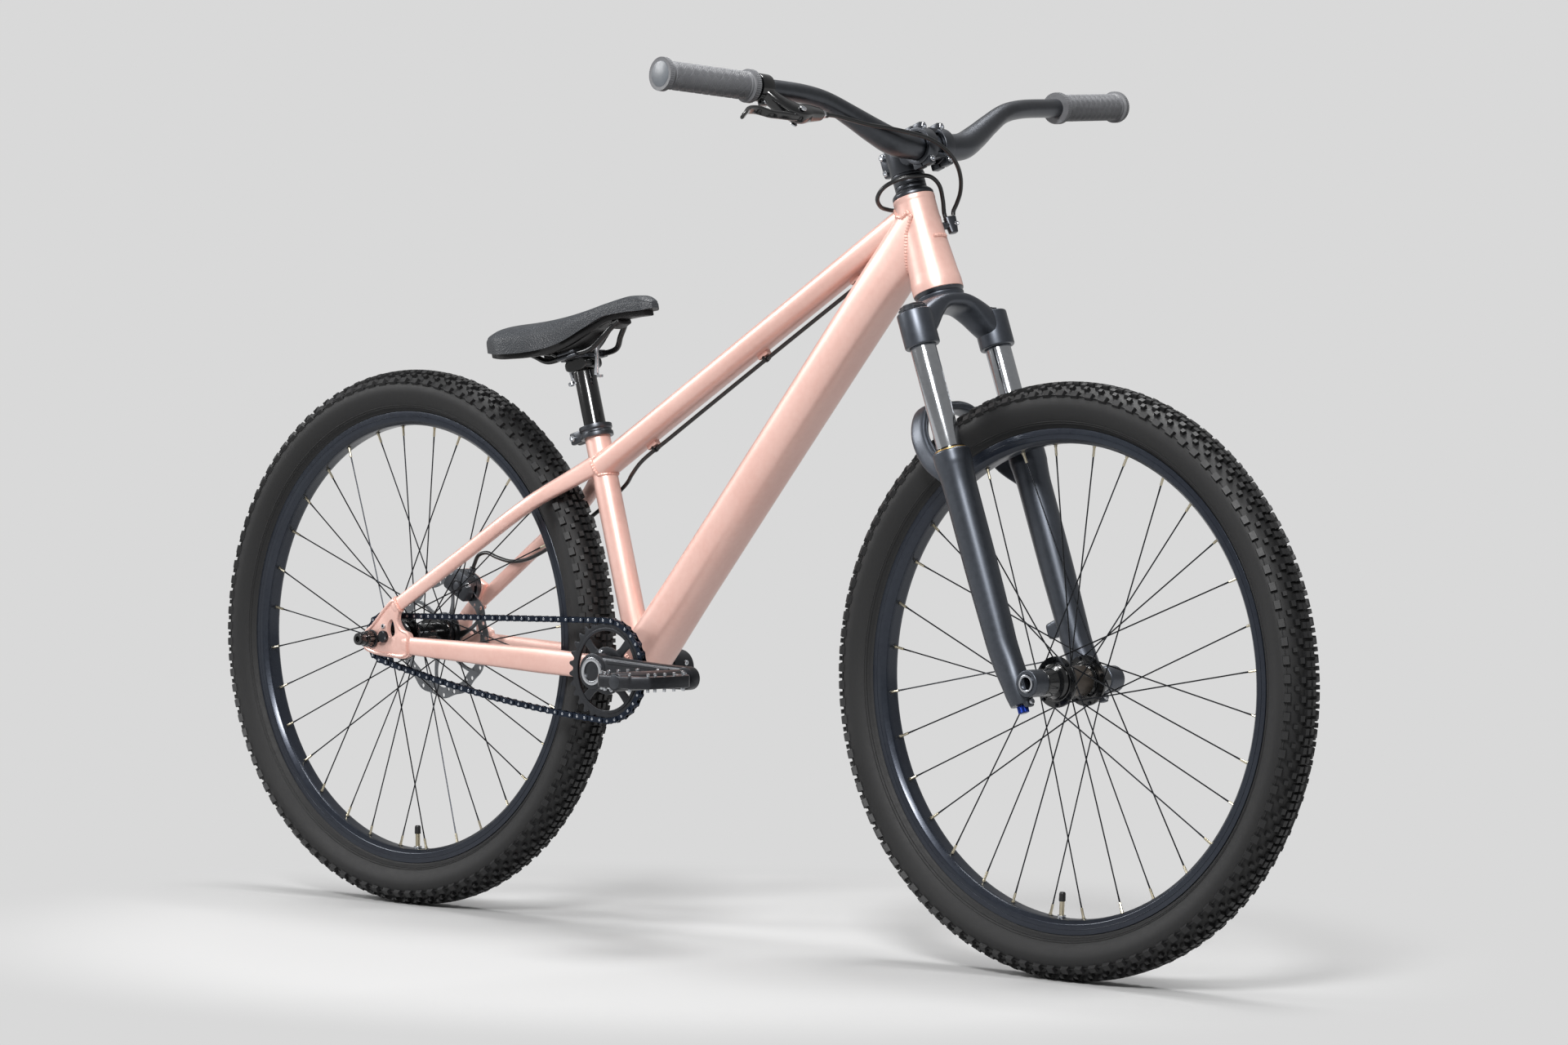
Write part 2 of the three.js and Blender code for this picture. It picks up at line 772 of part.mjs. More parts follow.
/** An outline mirrored to the other side of the wheel's middle plane. */
function bothSides(outline) {
  return [...outline, ...outline.map(([radius, y]) => [radius, -y]).reverse()];
}

function rimBody() {
  const outside = [
    [rimFlangeRadius, -rimHalfWidth],
    [rimShoulderRadius, -rimHalfWidth],
    [rimInsideRadius, -rimSpineHalfWidth],
  ];
  const inside = [
    [rimFlangeRadius, -rimHalfWidth + rimWall],
    [rimInsideRadius + rimWall, -rimSpineHalfWidth + rimWall],
  ];
  const outline = [...bothSides(inside), ...bothSides(outside).reverse()];
  return turnedAboutY([...outline, outline[0]], wheelSides);
}

function tyreBody() {
  const outside = [
    [tyreBeadRadius, -tyreBeadHalfWidth],
    [rimFlangeRadius, -rimHalfWidth + rimWall + gap],
    [tyreWidestRadius, -tyreHalfWidth],
    [tyreShoulderRadius, -tyreShoulderHalfWidth],
    [tyreRadius, -tyreCrownHalfWidth],
  ];
  const inside = [
    [tyreBeadRadius, -tyreBeadHalfWidth + tyreBeadWall],
    [tyreWidestRadius, -tyreHalfWidth + tyreWall],
    [tyreRadius - tyreWall - treadDepth, -tyreCrownHalfWidth],
  ];
  return turnedAboutY([...bothSides(outside), ...bothSides(inside).reverse(), outside[0]], wheelSides);
}

/** One side of a wheel: the hub flange with its spokes, which cross without touching. */
function spokesBody(side, flangeY, flangeBore, turnShare) {
  const step = fullTurn / spokesPerSide;
  const half = flangeThickness / 2;
  const rimRadius = rimInsideRadius * Math.cos(radians(halfTurn / wheelSides)) - gap;
  const hubRadius = flangeRadius - flangeMargin;
  const spot = (angle, radius, y) => {
    const place = [Math.cos(radians(angle)) * radius, y, Math.sin(radians(angle)) * radius];
    return [...place, spokeDiameter, spokeDiameter];
  };
  const spokes = Array.from({ length: spokesPerSide }, (_, index) => {
    const lean = index % 2 ? 1 : -1;
    const rimAngle = (index + turnShare) * step;
    const hubAngle = rimAngle + lean * spokeCrossings * step;
    return bar([
      spot(hubAngle, hubRadius, flangeY + lean * spokeSplay),
      spot(rimAngle, rimRadius, sideOf[side] * rimSpokeY),
    ], { sides: spokeSides });
  });
  return joined(ringAlongY(flangeBore + gap, flangeRadius, flangeY - half, flangeY + half), ...spokes);
}

/** A hub shell, turned from [radius, y] points between its ends, with room for two flange rings. */
function hubBody(bore, [rightFlange, leftFlange], [rightEnd, leftEnd], shellRadiusHere) {
  const outline = [
    [bore, rightEnd.at(0)[1]],
    ...rightEnd,
    [rightEnd.at(-1)[0], rightFlange - flangeThickness],
    [shellRadiusHere, rightFlange - flangeThickness],
    [shellRadiusHere, leftFlange + flangeThickness],
    [leftEnd[0][0], leftFlange + flangeThickness],
    ...leftEnd,
    [bore, leftEnd.at(-1)[1]],
  ];
  return turnedAboutY([...outline, outline[0]]);
}

// Front hub and axle

const frontFlangeY = 26;
const frontAxleRadius = 10;
const frontAxleBore = 7.4;
const frontHubShellRadius = 19;
const frontHubEndRadius = 15;
const lowersInside = frontHubWidth / 2;
const axleBossRadius = 15.5;
const axleBossLength = 24;
const frontAxleProud = 1.5;

function frontHubBody() {
  const end = lowersInside - gap;
  const rightEnd = [[frontHubEndRadius, -end], [frontHubEndRadius, -end + flangeThickness]];
  const leftEnd = [[frontHubEndRadius, end - flangeThickness], [frontHubEndRadius, end]];
  const bore = turningBore(frontAxleRadius);
  return hubBody(bore, [-frontFlangeY, frontFlangeY], [rightEnd, leftEnd], frontHubShellRadius);
}

function frontAxleBody() {
  const half = lowersInside + axleBossLength + frontAxleProud;
  return ringAlongY(frontAxleBore, frontAxleRadius, -half, half);
}

// Rear hub, cog, rotor and axle

const rearFlangeRightY = -21;
const rearFlangeLeftY = 33;
const rearHubShellRadius = 17;
const driverRadius = 17;
const driverOutY = 62;
const driverEndRadius = 12;
const rotorSeatRadius = 20;
const rotorSeatY = 45;
const rotorSeatEndY = 54;
const rearHubEndRadius = 11;
const rotorRadius = 80;
const rotorThickness = 1.8;
const rotorY = 50;
const rotorBandWidth = 14;
const rotorWaves = 12;
const rotorWavePoints = 3;
const rotorWaveDepth = 3;
const rotorArms = 6;
const rotorArmWidth = 9;
const rotorArmSlant = 18;
const rotorCoreRadius = 30;
const axleProud = 25;
const axleHeadRadius = 8.5;
const axleTipRadius = 6.6;
const axleStepShare = 0.6;

function rearHubBody() {
  const end = dropoutInside - gap;
  const rightEnd = [
    [driverEndRadius, -end],
    [driverEndRadius, -driverOutY],
    [driverRadius, -driverOutY],
  ];
  const leftEnd = [
    [rotorSeatRadius, rotorSeatY - flangeThickness],
    [rotorSeatRadius, rotorSeatEndY],
    [rearHubEndRadius, rotorSeatEndY],
    [rearHubEndRadius, end],
  ];
  const bore = turningBore(axleRadius);
  return hubBody(bore, [rearFlangeRightY, rearFlangeLeftY], [rightEnd, leftEnd], rearHubShellRadius);
}

function rearAxleBody() {
  const out = dropoutOutside + gap;
  const step = out + axleProud * axleStepShare;
  const end = out + axleProud;
  const half = [
    [axleRadius, -out],
    [axleHeadRadius, -out],
    [axleHeadRadius, -step],
    [axleTipRadius, -step],
    [axleTipRadius, -end],
  ].reverse();
  return turnedAboutY([[0, -end], ...bothSides(half), [0, end]], smallSides);
}

/** A ring outline of [x, z] points whose radius may vary round it. */
function roundOutline(count, radiusAt) {
  return Array.from({ length: count }, (_, index) => {
    const angle = (index / count) * radians(fullTurn);
    const radius = radiusAt(angle, index);
    return [Math.cos(angle) * radius, Math.sin(angle) * radius];
  });
}

/** Copies of a body all round the Y axis, the first one turned by a share of a step. */
function aroundY(body, count, turnShare) {
  const step = fullTurn / count;
  return Array.from({ length: count }, (_, index) => body.rotate([0, (index + turnShare) * step, 0]));
}

/** The rotor: a wavy braking band on slanted arms round a core ring. */
function rotorBody() {
  const low = rotorY - rotorThickness / 2;
  const high = rotorY + rotorThickness / 2;
  const wavy = (base) => (angle) => base - (rotorWaveDepth * (1 - Math.cos(angle * rotorWaves))) / 2;
  const band = plate(roundOutline(rotorWaves * rotorWavePoints, wavy(rotorRadius)), low, high, [
    roundOutline(rotorWaves * rotorWavePoints, wavy(rotorRadius - rotorBandWidth)).reverse(),
  ]);
  const core = plate(roundOutline(turnedSides, () => rotorCoreRadius), low, high, [
    roundOutline(turnedSides, () => rotorSeatRadius + gap).reverse(),
  ]);
  const arm = plate([
    [rotorCoreRadius - rotorArmWidth / 2, 0],
    [rotorCoreRadius - rotorArmWidth / 2, -rotorArmWidth],
    [rotorRadius - rotorBandWidth, rotorArmSlant],
    [rotorRadius - rotorBandWidth, rotorArmSlant + rotorArmWidth],
  ], low, high);
  const arms = aroundY(arm, rotorArms, 0);
  return joined(band, core, ...arms);
}

// Teeth, chainring, cog and chain: each is built about its own centre

const ringPitchRadius = chainPitch / 2 / Math.sin(radians(halfTurn / ringTeeth));
const cogPitchRadius = chainPitch / 2 / Math.sin(radians(halfTurn / cogTeeth));
const toothTip = 2.9;
const toothRoot = 3.6;
const toothTipShare = 0.16;
const toothThickness = 2.2;
const cogBoreRadius = turningBore(driverRadius);
const ringBandWidth = 9;
const ringArms = 4;
const ringArmWidth = 11;
const ringArmRoot = 1.2;
const ringCoreRadius = 29;
const crankBossRadius = 20;
const chainHalfHeight = 4.3;
const chainHalfWidth = 4.4;
const chainSlot = 1.7;
const chainWeb = 0.9;
const chainArcStep = 8;
const chainSag = 8;
const chainSagShares = [0.2, 0.4, 0.6, 0.8];

/** A toothed outline: each tooth is a flat root and a flat tip. */
function toothedOutline(teeth, pitchRadius) {
  const step = radians(fullTurn / teeth);
  const root = pitchRadius - toothRoot;
  const tip = pitchRadius + toothTip;
  return Array.from({ length: teeth }, (_, index) => {
    const middle = (index + 1 / 2) * step;
    const places = [[-1 / 2, root], [-toothTipShare, tip], [toothTipShare, tip]];
    return places.map(([share, radius]) => [
      Math.cos(middle + share * step) * radius,
      Math.sin(middle + share * step) * radius,
    ]);
  }).flat();
}

function cogBody() {
  const half = toothThickness / 2;
  const outline = toothedOutline(cogTeeth, cogPitchRadius);
  const bore = roundOutline(turnedSides, () => cogBoreRadius).reverse();
  return plate(outline, -chainLine - half, -chainLine + half, [bore]);
}

function chainringBody() {
  const half = toothThickness / 2;
  const low = -chainLine - half;
  const high = -chainLine + half;
  const bandInside = ringPitchRadius - toothRoot - ringBandWidth;
  const band = plate(toothedOutline(ringTeeth, ringPitchRadius), low, high, [
    roundOutline(turnedSides * 2, () => bandInside).reverse(),
  ]);
  const core = ringAlongY(crankBossRadius + gap, ringCoreRadius, low, high);
  const arm = block(
    [ringCoreRadius - ringArmRoot, low, -ringArmWidth / 2],
    [bandInside + ringBandWidth / 2, high, ringArmWidth / 2],
  );
  return joined(band, core, ...aroundY(arm, ringArms, 1 / 2));
}

/** The outline of a belt round the chainring and the cog, at a distance out from the pitch line. */
function beltOutline(out) {
  const front = bottomBracket;
  const back = rearAxle;
  const span = Math.hypot(front.x - back.x, front.z - back.z);
  const lean = Math.atan2(front.z - back.z, front.x - back.x);
  const wrap = Math.acos((cogPitchRadius - ringPitchRadius) / span);
  const arc = (centre, radius, from, to) => {
    const count = Math.round(THREE.MathUtils.radToDeg(to - from) / chainArcStep);
    return Array.from({ length: count + 1 }, (_, index) => {
      const angle = lean + THREE.MathUtils.lerp(from, to, index / count);
      return [centre.x + Math.cos(angle) * radius, centre.z + Math.sin(angle) * radius];
    });
  };
  const ringArc = arc(front, ringPitchRadius + out, -wrap, wrap);
  const cogArc = arc(back, cogPitchRadius + out, wrap, radians(fullTurn) - wrap);
  const slackRun = chainSagShares.map((share) => onSlackRun(cogArc.at(-1), ringArc[0], share));
  return [...ringArc, ...cogArc, ...slackRun];
}

/** A point on the lower run, which hangs a little between the cog and the chainring. */
function onSlackRun([fromX, fromZ], [toX, toZ], share) {
  const drop = chainSag * Math.sin(radians(halfTurn * share));
  return [THREE.MathUtils.lerp(fromX, toX, share), THREE.MathUtils.lerp(fromZ, toZ, share) - drop];
}

/** The chain: side plates joined by a thin outer web, open inwards so that teeth can pass. */
function chainBody() {
  const inside = beltOutline(-chainHalfHeight).reverse();
  const web = beltOutline(chainHalfHeight - chainWeb);
  const [low, high] = [-chainLine - chainHalfWidth, -chainLine + chainHalfWidth];
  const whole = plate(beltOutline(chainHalfHeight), low, high, [inside]);
  return whole.subtract(plate(web, -chainLine - chainSlot, -chainLine + chainSlot));
}

// Bottom bracket, cranks and pedals: built about the bottom bracket

const spindleRadius = 14.5;
const spindleBore = 12;
const cupFlangeRadius = 21.5;
const cupFlangeWidth = 5;
const cupSleeveLength = 12;
const rightBossFace = 80;
const leftBossFace = 76;
const armBossRadius = 22;
const armRootWidth = 20;
const armRootHeight = 40;
const armWaistWidth = 15;
const armWaistHeight = 34;
const armEndWidth = 14;
const armEndHeight = 28;
const armWaistShare = 0.5;
const armEndOutside = 88;
const armEndRadius = 14;
const armPower = 3.4;
const armBossInside = 61;
const pedalAxleRadius = 7;
const pedalGap = 18;
const pedalLength = 100;
const pedalWidth = 86;
const pedalThickness = 15;
const pedalChamfer = 17;
const pedalCoreRadius = 11;
const pedalBarWidth = 11;
const pedalCapThickness = 4;
const pedalCapDepth = 6;
const pedalNeckLength = 12;

const cupFace = shellWidth / 2 + gap;
const crankInside = cupFace + cupFlangeWidth + gap;

function bearingCupBody(side) {
  const face = cupFace;
  const bore = turningBore(spindleRadius);
  const outline = [
    [bore, -face - cupFlangeWidth],
    [cupFlangeRadius, -face - cupFlangeWidth],
    [cupFlangeRadius, -face],
    [shellBore - gap, -face],
    [shellBore - gap, -face + cupSleeveLength],
    [bore, -face + cupSleeveLength],
  ];
  return onSide(side, turnedAboutY([...outline, outline[0]]));
}

/** A crank arm that points forward from its boss, on the right of the bike. */
function armBody(bossInside, bossFace) {
  const boss = roundAlongY(armBossRadius, -bossFace, -bossInside);
  const stationAt = (share, face, width, height) => (
    [crankLength * share, -face + width / 2, 0, width, height]
  );
  const waistFace = THREE.MathUtils.lerp(bossFace, armEndOutside, armWaistShare);
  const arm = bar([
    stationAt(0, bossFace, armRootWidth - armWaistWidth / 2, armRootHeight),
    stationAt(armWaistShare, waistFace, armWaistWidth, armWaistHeight),
    stationAt(1, armEndOutside, armEndWidth, armEndHeight),
  ], { power: armPower, steps: 2 });
  const inside = -armEndOutside + armEndWidth;
  const end = roundAlongY(armEndRadius, -armEndOutside, inside).translate([crankLength, 0, 0]);
  const eye = roundAlongY(pedalAxleRadius + gap, -armEndOutside - overrun, inside + overrun);
  return joined(boss, arm, end).subtract(eye.translate([crankLength, 0, 0]));
}

/** The right arm, with the boss that carries the chainring and the spindle pressed into it. */
function rightCrankBody() {
  const seat = roundAlongY(crankBossRadius, -armBossInside - overrun, -crankInside);
  const spindle = roundAlongY(spindleRadius, -rightBossFace, leftBossFace);
  const bore = roundAlongY(spindleBore, -rightBossFace - overrun, leftBossFace + overrun);
  return joined(armBody(armBossInside, rightBossFace), seat, spindle).subtract(bore);
}

function leftCrankBody() {
  const bore = roundAlongY(spindleRadius + gap, -leftBossFace - overrun, -crankInside + overrun);
  return mirrored(armBody(crankInside, leftBossFace).subtract(bore)).rotate([0, halfTurn, 0]);
}

/** A pedal axle on the right, at the origin. */
function pedalAxleBody() {
  const inside = armEndOutside - armEndWidth;
  const outside = armEndOutside + pedalGap + pedalLength - pedalCapDepth;
  return roundAlongY(pedalAxleRadius, -outside, -inside, smallSides);
}

/** A platform pedal on the right: a frame with cut corners round a core that turns on the axle. */
function pedalBody() {
  const low = armEndOutside + pedalGap;
  const high = low + pedalLength;
  const outline = (inset) => {
    const cut = pedalChamfer - inset / 2;
    const [x, near, far] = [pedalWidth / 2 - inset, low + inset, high - inset];
    return [
      [-x + cut, -near], [-x, -near - cut], [-x, -far + cut], [-x + cut, -far],
      [x - cut, -far], [x, -far + cut], [x, -near - cut], [x - cut, -near],
    ];
  };
  const slab = (points, half) => plate(points, -half, half).rotate([-rightAngle, 0, 0]);
  const frame = slab(outline(0), pedalThickness / 2).subtract(slab(outline(pedalBarWidth), pedalThickness));
  const core = roundAlongY(pedalCoreRadius, -high, -low + pedalNeckLength, smallSides);
  const boreRadius = turningBore(pedalAxleRadius, smallSides);
  const boreLow = -high + pedalCapThickness;
  const bore = roundAlongY(boreRadius, boreLow, -low + pedalNeckLength + overrun, smallSides);
  return joined(frame, core).subtract(bore);
}

// Fork: heights run down and up the steering axis from the crown race

const stanchionForward = 10.5;
const stanchionRadius = 15;
const stanchionWall = 2;
const stanchionTop = -24;
const stanchionFootRise = 170;
const stanchionLength = forkLength + stanchionTop - stanchionFootRise;
const crownBossRadius = 20.5;
const crownBossHigh = -17;
const crownBossLength = 42;
const crownDepth = 44;
const crownRise = 40;
const crownForward = 8;
const crownSeatRadius = 28.5;
const crownShares = [
  { out: 0, middle: -0.1, height: 0.5, depth: 1 },
  { out: 0.3, middle: -0.15, height: 0.5, depth: 0.95 },
  { out: 0.55, middle: -0.36, height: 0.68, depth: 0.86 },
  { out: 0.8, middle: -0.68, height: 0.86, depth: 0.8 },
  { out: 1, middle: -0.95, height: 0.9, depth: 0.78 },
];
const crownPower = 2.6;
const steererBore = 12.2;
const steererLowBore = 16;
const steererFootDepth = 10;
const steererFootRadius = 23.5;
const crownCapRadius = 11;
const crownCapHeight = 5;
const knobRadius = 17;
const knobHeight = 8;
const knobTopRadius = 14;
const knobFins = 8;
const knobFinDepth = 2;
const legY = legSpacing / 2;

/** Puts a body at both fork legs. */
function atBothLegs(body) {
  return joined(body.translate([stanchionForward, -legY, 0]), body.translate([stanchionForward, legY, 0]));
}

/** The arched beam between the bosses. */
function crownBeam() {
  const place = ({ out, middle, height, depth }, side) => [
    THREE.MathUtils.lerp(crownForward, stanchionForward, out),
    side * legY * out,
    crownRise * middle,
    crownDepth * depth,
    crownRise * height,
  ];
  const right = crownShares.slice(1).map((share) => place(share, -1)).reverse();
  const left = crownShares.map((share) => place(share, 1));
  return bar([...right, ...left], { side: X, power: crownPower });
}

/** The steerer with the seat under the lower headset cup, before its bore. */
function steererBody() {
  return turned([
    [0, -steererFootDepth],
    [steererFootRadius, -steererFootDepth],
    [crownSeatRadius, crownSeatHeight],
    [steererLowRadius, crownSeatHeight],
    [steererLowRadius, steererTaperLow],
    [steererRadius, steererTaperHigh],
    [steererRadius, steererTop],
    [0, steererTop],
  ]);
}

/** The crown, its two bosses and the hollow tapered steerer, as one piece. */
function forkCrownBody() {
  const bosses = atBothLegs(round(crownBossRadius, crownBossHigh - crownBossLength, crownBossHigh));
  const cap = round(crownCapRadius, crownBossHigh - gap, crownBossHigh + crownCapHeight, hexSides);
  const leftCap = cap.translate([stanchionForward, legY, 0]);
  const socketLow = crownBossHigh - crownBossLength - overrun;
  const sockets = atBothLegs(round(stanchionRadius + gap, socketLow, stanchionTop + gap));
  const bore = turned([
    [0, -crownRise],
    [steererLowBore, -crownRise],
    [steererLowBore, steererTaperLow],
    [steererBore, steererTaperHigh],
    [steererBore, steererTop + overrun],
    [0, steererTop + overrun],
  ]);
  const knobRoom = round(turningBore(knobRadius), crownBossHigh, 0).translate([stanchionForward, -legY, 0]);
  return joined(crownBeam(), bosses, leftCap, steererBody()).subtract(joined(sockets, bore, knobRoom));
}

function stanchionBody(side) {
  const low = stanchionTop - stanchionLength;
  const tube = ring(stanchionRadius - stanchionWall, stanchionRadius, low, stanchionTop);
  return tube.translate([stanchionForward, sideOf[side] * legY, 0]);
}

/** The finned knob on the right crown boss. */
function compressionKnobBody() {
  const low = crownBossHigh + gap;
  const high = low + knobHeight;
  const outline = [
    [0, low], [knobRadius, low], [knobRadius, low + knobHeight / 2], [knobTopRadius, high], [0, high],
  ];
  const cap = turned(outline, knobFins * 2);
  const notch = block(
    [knobRadius - knobFinDepth, -knobFinDepth / 2, low + knobFinDepth],
    [knobRadius + overrun, knobFinDepth / 2, high + overrun],
  );
  const step = fullTurn / knobFins;
  const notches = Array.from({ length: knobFins }, (_, index) => notch.rotate([0, 0, index * step]));
  return cap.subtract(joined(...notches)).translate([stanchionForward, -legY, 0]);
}

// Fork lowers: two legs, the brace behind the wheel and the bosses for the axle.
// Their heights up the steering axis are measured from the axle.

const lowersLength = 285;
const legWaistHighRise = 235;
const legWaistMiddleRise = 150;
const legSleeveRise = 65;
const legFootRise = 30;
const legBottomDrop = 18;
const legTop = lowersLength - forkLength;
const legLipHeight = 15;
const legSleeveBottom = legSleeveRise - forkLength;
const legWaistHigh = legWaistHighRise - forkLength;
const legWaistMiddle = legWaistMiddleRise - forkLength;
const legFootHigh = legFootRise - forkLength;
const legBottom = -legBottomDrop - forkLength;
const legTopWidth = 42;
const legTopDepth = 43;
const legWidth = 37;
const legDepth = 38;
const legLowWidth = 34;
const legLowDepth = 35;
const legFootWidth = 31;
const legTipWidth = 26;
const legFootForward = 5.5;
const legAnkleShare = 1 / 3;
const legPower = 2.2;
const webHeight = 30;
const webFrontHeight = 27;
const webWidth = 22;
const bracePower = 3;
const braceWidth = 24;
const braceThickness = 13;
const braceBehind = 33;
const braceClearance = 15;
const braceFootRise = 256;
const braceHeight = tyreRadius + braceClearance - forkLength;
const braceFootHeight = braceFootRise - forkLength;
const braceShares = [
  { behind: 0, out: 0.96, up: 0 },
  { behind: 0.75, out: 0.93, up: 0.3 },
  { behind: 1.08, out: 0.84, up: 0.66 },
  { behind: 1.06, out: 0.62, up: 0.93 },
  { behind: 1, out: 0.3, up: 1 },
  { behind: 1, out: 0, up: 1 },
];
const tabHeight = 20;
const tabReach = 13;
const tabThickness = 10;
const upperTabRise = 76;
const lowerTabRise = 2;
const upperTabHeight = upperTabRise - forkLength;
const lowerTabHeight = lowerTabRise - forkLength;
const reboundRadius = 6.5;
const reboundHeight = 9;

/** One leg of the lowers at the middle of the fork, before its bores. */
function legBody(y) {
  const station = (forward, height, width, depth) => [stanchionForward + forward, y, height, width, depth];
  return bar([
    station(0, legTop, legTopWidth, legTopDepth),
    station(0, legTop - legLipHeight, legTopWidth, legTopDepth),
    station(0, legWaistHigh, legWidth, legDepth),
    station(0, legWaistMiddle, legWidth, legDepth),
    station(0, legSleeveBottom, legLowWidth, legLowDepth),
    station(legFootForward * legAnkleShare, legFootHigh, legFootWidth, legLowDepth),
    station(legFootForward, -forkLength, legFootWidth, legFootWidth),
    station(legFootForward, legBottom, legTipWidth, legTipWidth),
  ], { power: legPower });
}

function braceBody() {
  const place = ({ behind, out, up }, side) => [
    -braceBehind * behind,
    side * legY * out,
    THREE.MathUtils.lerp(braceFootHeight, braceHeight, up),
    braceWidth,
    braceThickness,
  ];
  const right = braceShares.map((share) => place(share, -1));
  const left = braceShares.slice(0, -1).map((share) => place(share, 1)).reverse();
  return bar([...right, ...left], { side: X, power: bracePower, sides: boreSides });
}

/** A leg's boss for the axle, on the right, with the web that carries it. */
function axleBossBody() {
  const outside = lowersInside + axleBossLength;
  const boss = roundAlongY(axleBossRadius, -outside, -lowersInside).translate([forkOffset, 0, -forkLength]);
  const web = bar([
    [stanchionForward + legFootForward, -legY, -forkLength, webWidth, webHeight],
    [forkOffset, -legY, -forkLength, webWidth, webFrontHeight],
  ], { power: bracePower, sides: smallSides });
  return joined(boss, web);
}

function forkLowersBody() {
  const sleeve = round(stanchionRadius + gap, legSleeveBottom, legTop + overrun);
  const tab = (height) => block(
    [stanchionForward - legDepth / 2 - tabReach, legY - tabThickness, height - tabHeight / 2],
    [stanchionForward, legY, height + tabHeight / 2],
  );
  const outside = lowersInside + axleBossLength + overrun;
  const axleBore = roundAlongY(frontAxleRadius + gap, -outside, outside);
  const hubRoom = roundAlongY(turningBore(frontHubEndRadius), -lowersInside, lowersInside);
  const hubHere = joined(axleBore, hubRoom).translate([forkOffset, 0, -forkLength]);
  const bosses = joined(axleBossBody(), mirrored(axleBossBody()));
  const tabs = joined(tab(upperTabHeight), tab(lowerTabHeight));
  const legs = joined(legBody(-legY), legBody(legY), braceBody(), bosses, tabs);
  return legs.subtract(joined(atBothLegs(sleeve), hubHere));
}

/** The small knob under the right leg. */
function reboundKnobBody() {
  const high = legBottom - gap;
  const knob = round(reboundRadius, high - reboundHeight, high);
  return knob.translate([stanchionForward + legFootForward, -legY, 0]);
}

// Spacers, stem and its faceplate

const spacerRadius = 18.5;
const spacerLipRadius = 20;
const spacerLipHeight = 3;
const spacerHeight = 18;
const stemHeight = 40;
const stemReach = 41.2;
const stemClampRadius = 19.5;
const stemCapRadius = 16.5;
const stemCapHeight = 3.5;
const stemRearWidth = 36;
const stemFrontWidth = 44;
const stemBodyHeight = 34;
const stemPower = 3;
const stemSlot = 2.4;
const stemEarReach = 27;
const stemEarWidth = 20;
const stemEarInset = 5;
const barRadius = 15.9;
const barClampRadius = 21.5;
const barClampWidth = 46;
const faceWindow = 13;
const faceWindowHeight = 24;
const stemBoltY = 15.5;
const stemBoltRise = 20;
const stemBoltPad = 11;
const stemBoltLength = 13;
const spacerLow = headTubeHigh + gap + upperCoverHeight + gap;
const stemLow = spacerLow + spacerHeight + gap;
const stemMiddle = stemLow + stemHeight / 2;
const steererDepth = 3.4;
const steererTop = stemLow + stemHeight - steererDepth;

function spacersBody() {
  const bore = steererRadius + gap;
  const high = spacerLow + spacerHeight;
  return turned([
    [bore, spacerLow],
    [spacerRadius, spacerLow],
    [spacerRadius, high - spacerLipHeight],
    [spacerLipRadius, high - spacerLipHeight],
    [spacerLipRadius, high],
    [bore, high],
    [bore, spacerLow],
  ]);
}

/** Four pads for the faceplate bolts, between two distances ahead of the steering axis. */
function boltPads(near, far) {
  const half = stemBoltPad / 2;
  const pads = [-1, 1].flatMap((side) => [-1, 1].map((rise) => {
    const centre = [side * stemBoltY, stemMiddle + rise * stemBoltRise];
    return block([near, centre[0] - half, centre[1] - half], [far, centre[0] + half, centre[1] + half]);
  }));
  return joined(...pads);
}

function barClampRing() {
  const half = barClampWidth / 2;
  return roundAlongY(barClampRadius, -half, half).translate([stemReach, 0, stemMiddle]);
}

function barClampBore() {
  const half = barClampWidth / 2 + overrun;
  return roundAlongY(barRadius + gap, -half, half).translate([stemReach, 0, stemMiddle]);
}

/** Everything ahead of the parting plane between the stem and its faceplate. */
function aheadOfStem(margin) {
  const low = [stemReach + margin, -barClampWidth, stemLow - barClampRadius];
  const ahead = stemReach + barClampRadius + overrun;
  return block(low, [ahead, barClampWidth, stemLow + stemHeight + barClampRadius]);
}

/** The stem, closed at its top by the cap that preloads the headset. */
function stemBody() {
  const high = stemLow + stemHeight;
  const clamp = round(stemClampRadius, stemLow, high);
  const cap = round(stemCapRadius, high - gap, high + stemCapHeight);
  const arm = bar([
    [0, 0, stemMiddle, stemRearWidth, stemBodyHeight],
    [stemReach, 0, stemMiddle, stemFrontWidth, stemBodyHeight],
  ], { power: stemPower });
  const ears = block(
    [-stemEarReach, -stemEarWidth / 2, stemLow + stemEarInset],
    [0, stemEarWidth / 2, high - stemEarInset],
  );
  const pads = boltPads(stemReach - stemBoltLength, stemReach);
  const steererBore = round(steererRadius + gap, stemLow - overrun, steererTop + gap);
  const slot = block(
    [-stemEarReach - overrun, -stemSlot / 2, stemLow - overrun],
    [0, stemSlot / 2, steererTop + gap],
  );
  const solidStem = joined(clamp, cap, arm, ears, barClampRing(), pads);
  return solidStem.subtract(joined(steererBore, slot, barClampBore(), aheadOfStem(0)));
}

function faceplateBody() {
  const near = stemReach + gap;
  const front = barClampRing().intersect(aheadOfStem(gap));
  const window = block(
    [near, -faceWindow / 2, stemMiddle - faceWindowHeight / 2],
    [stemReach + barClampRadius + overrun, faceWindow / 2, stemMiddle + faceWindowHeight / 2],
  );
  return joined(front, boltPads(near, near + stemBoltLength)).subtract(joined(barClampBore(), window));
}

// Handlebar and grips: both follow the same bends, as shares of half the width

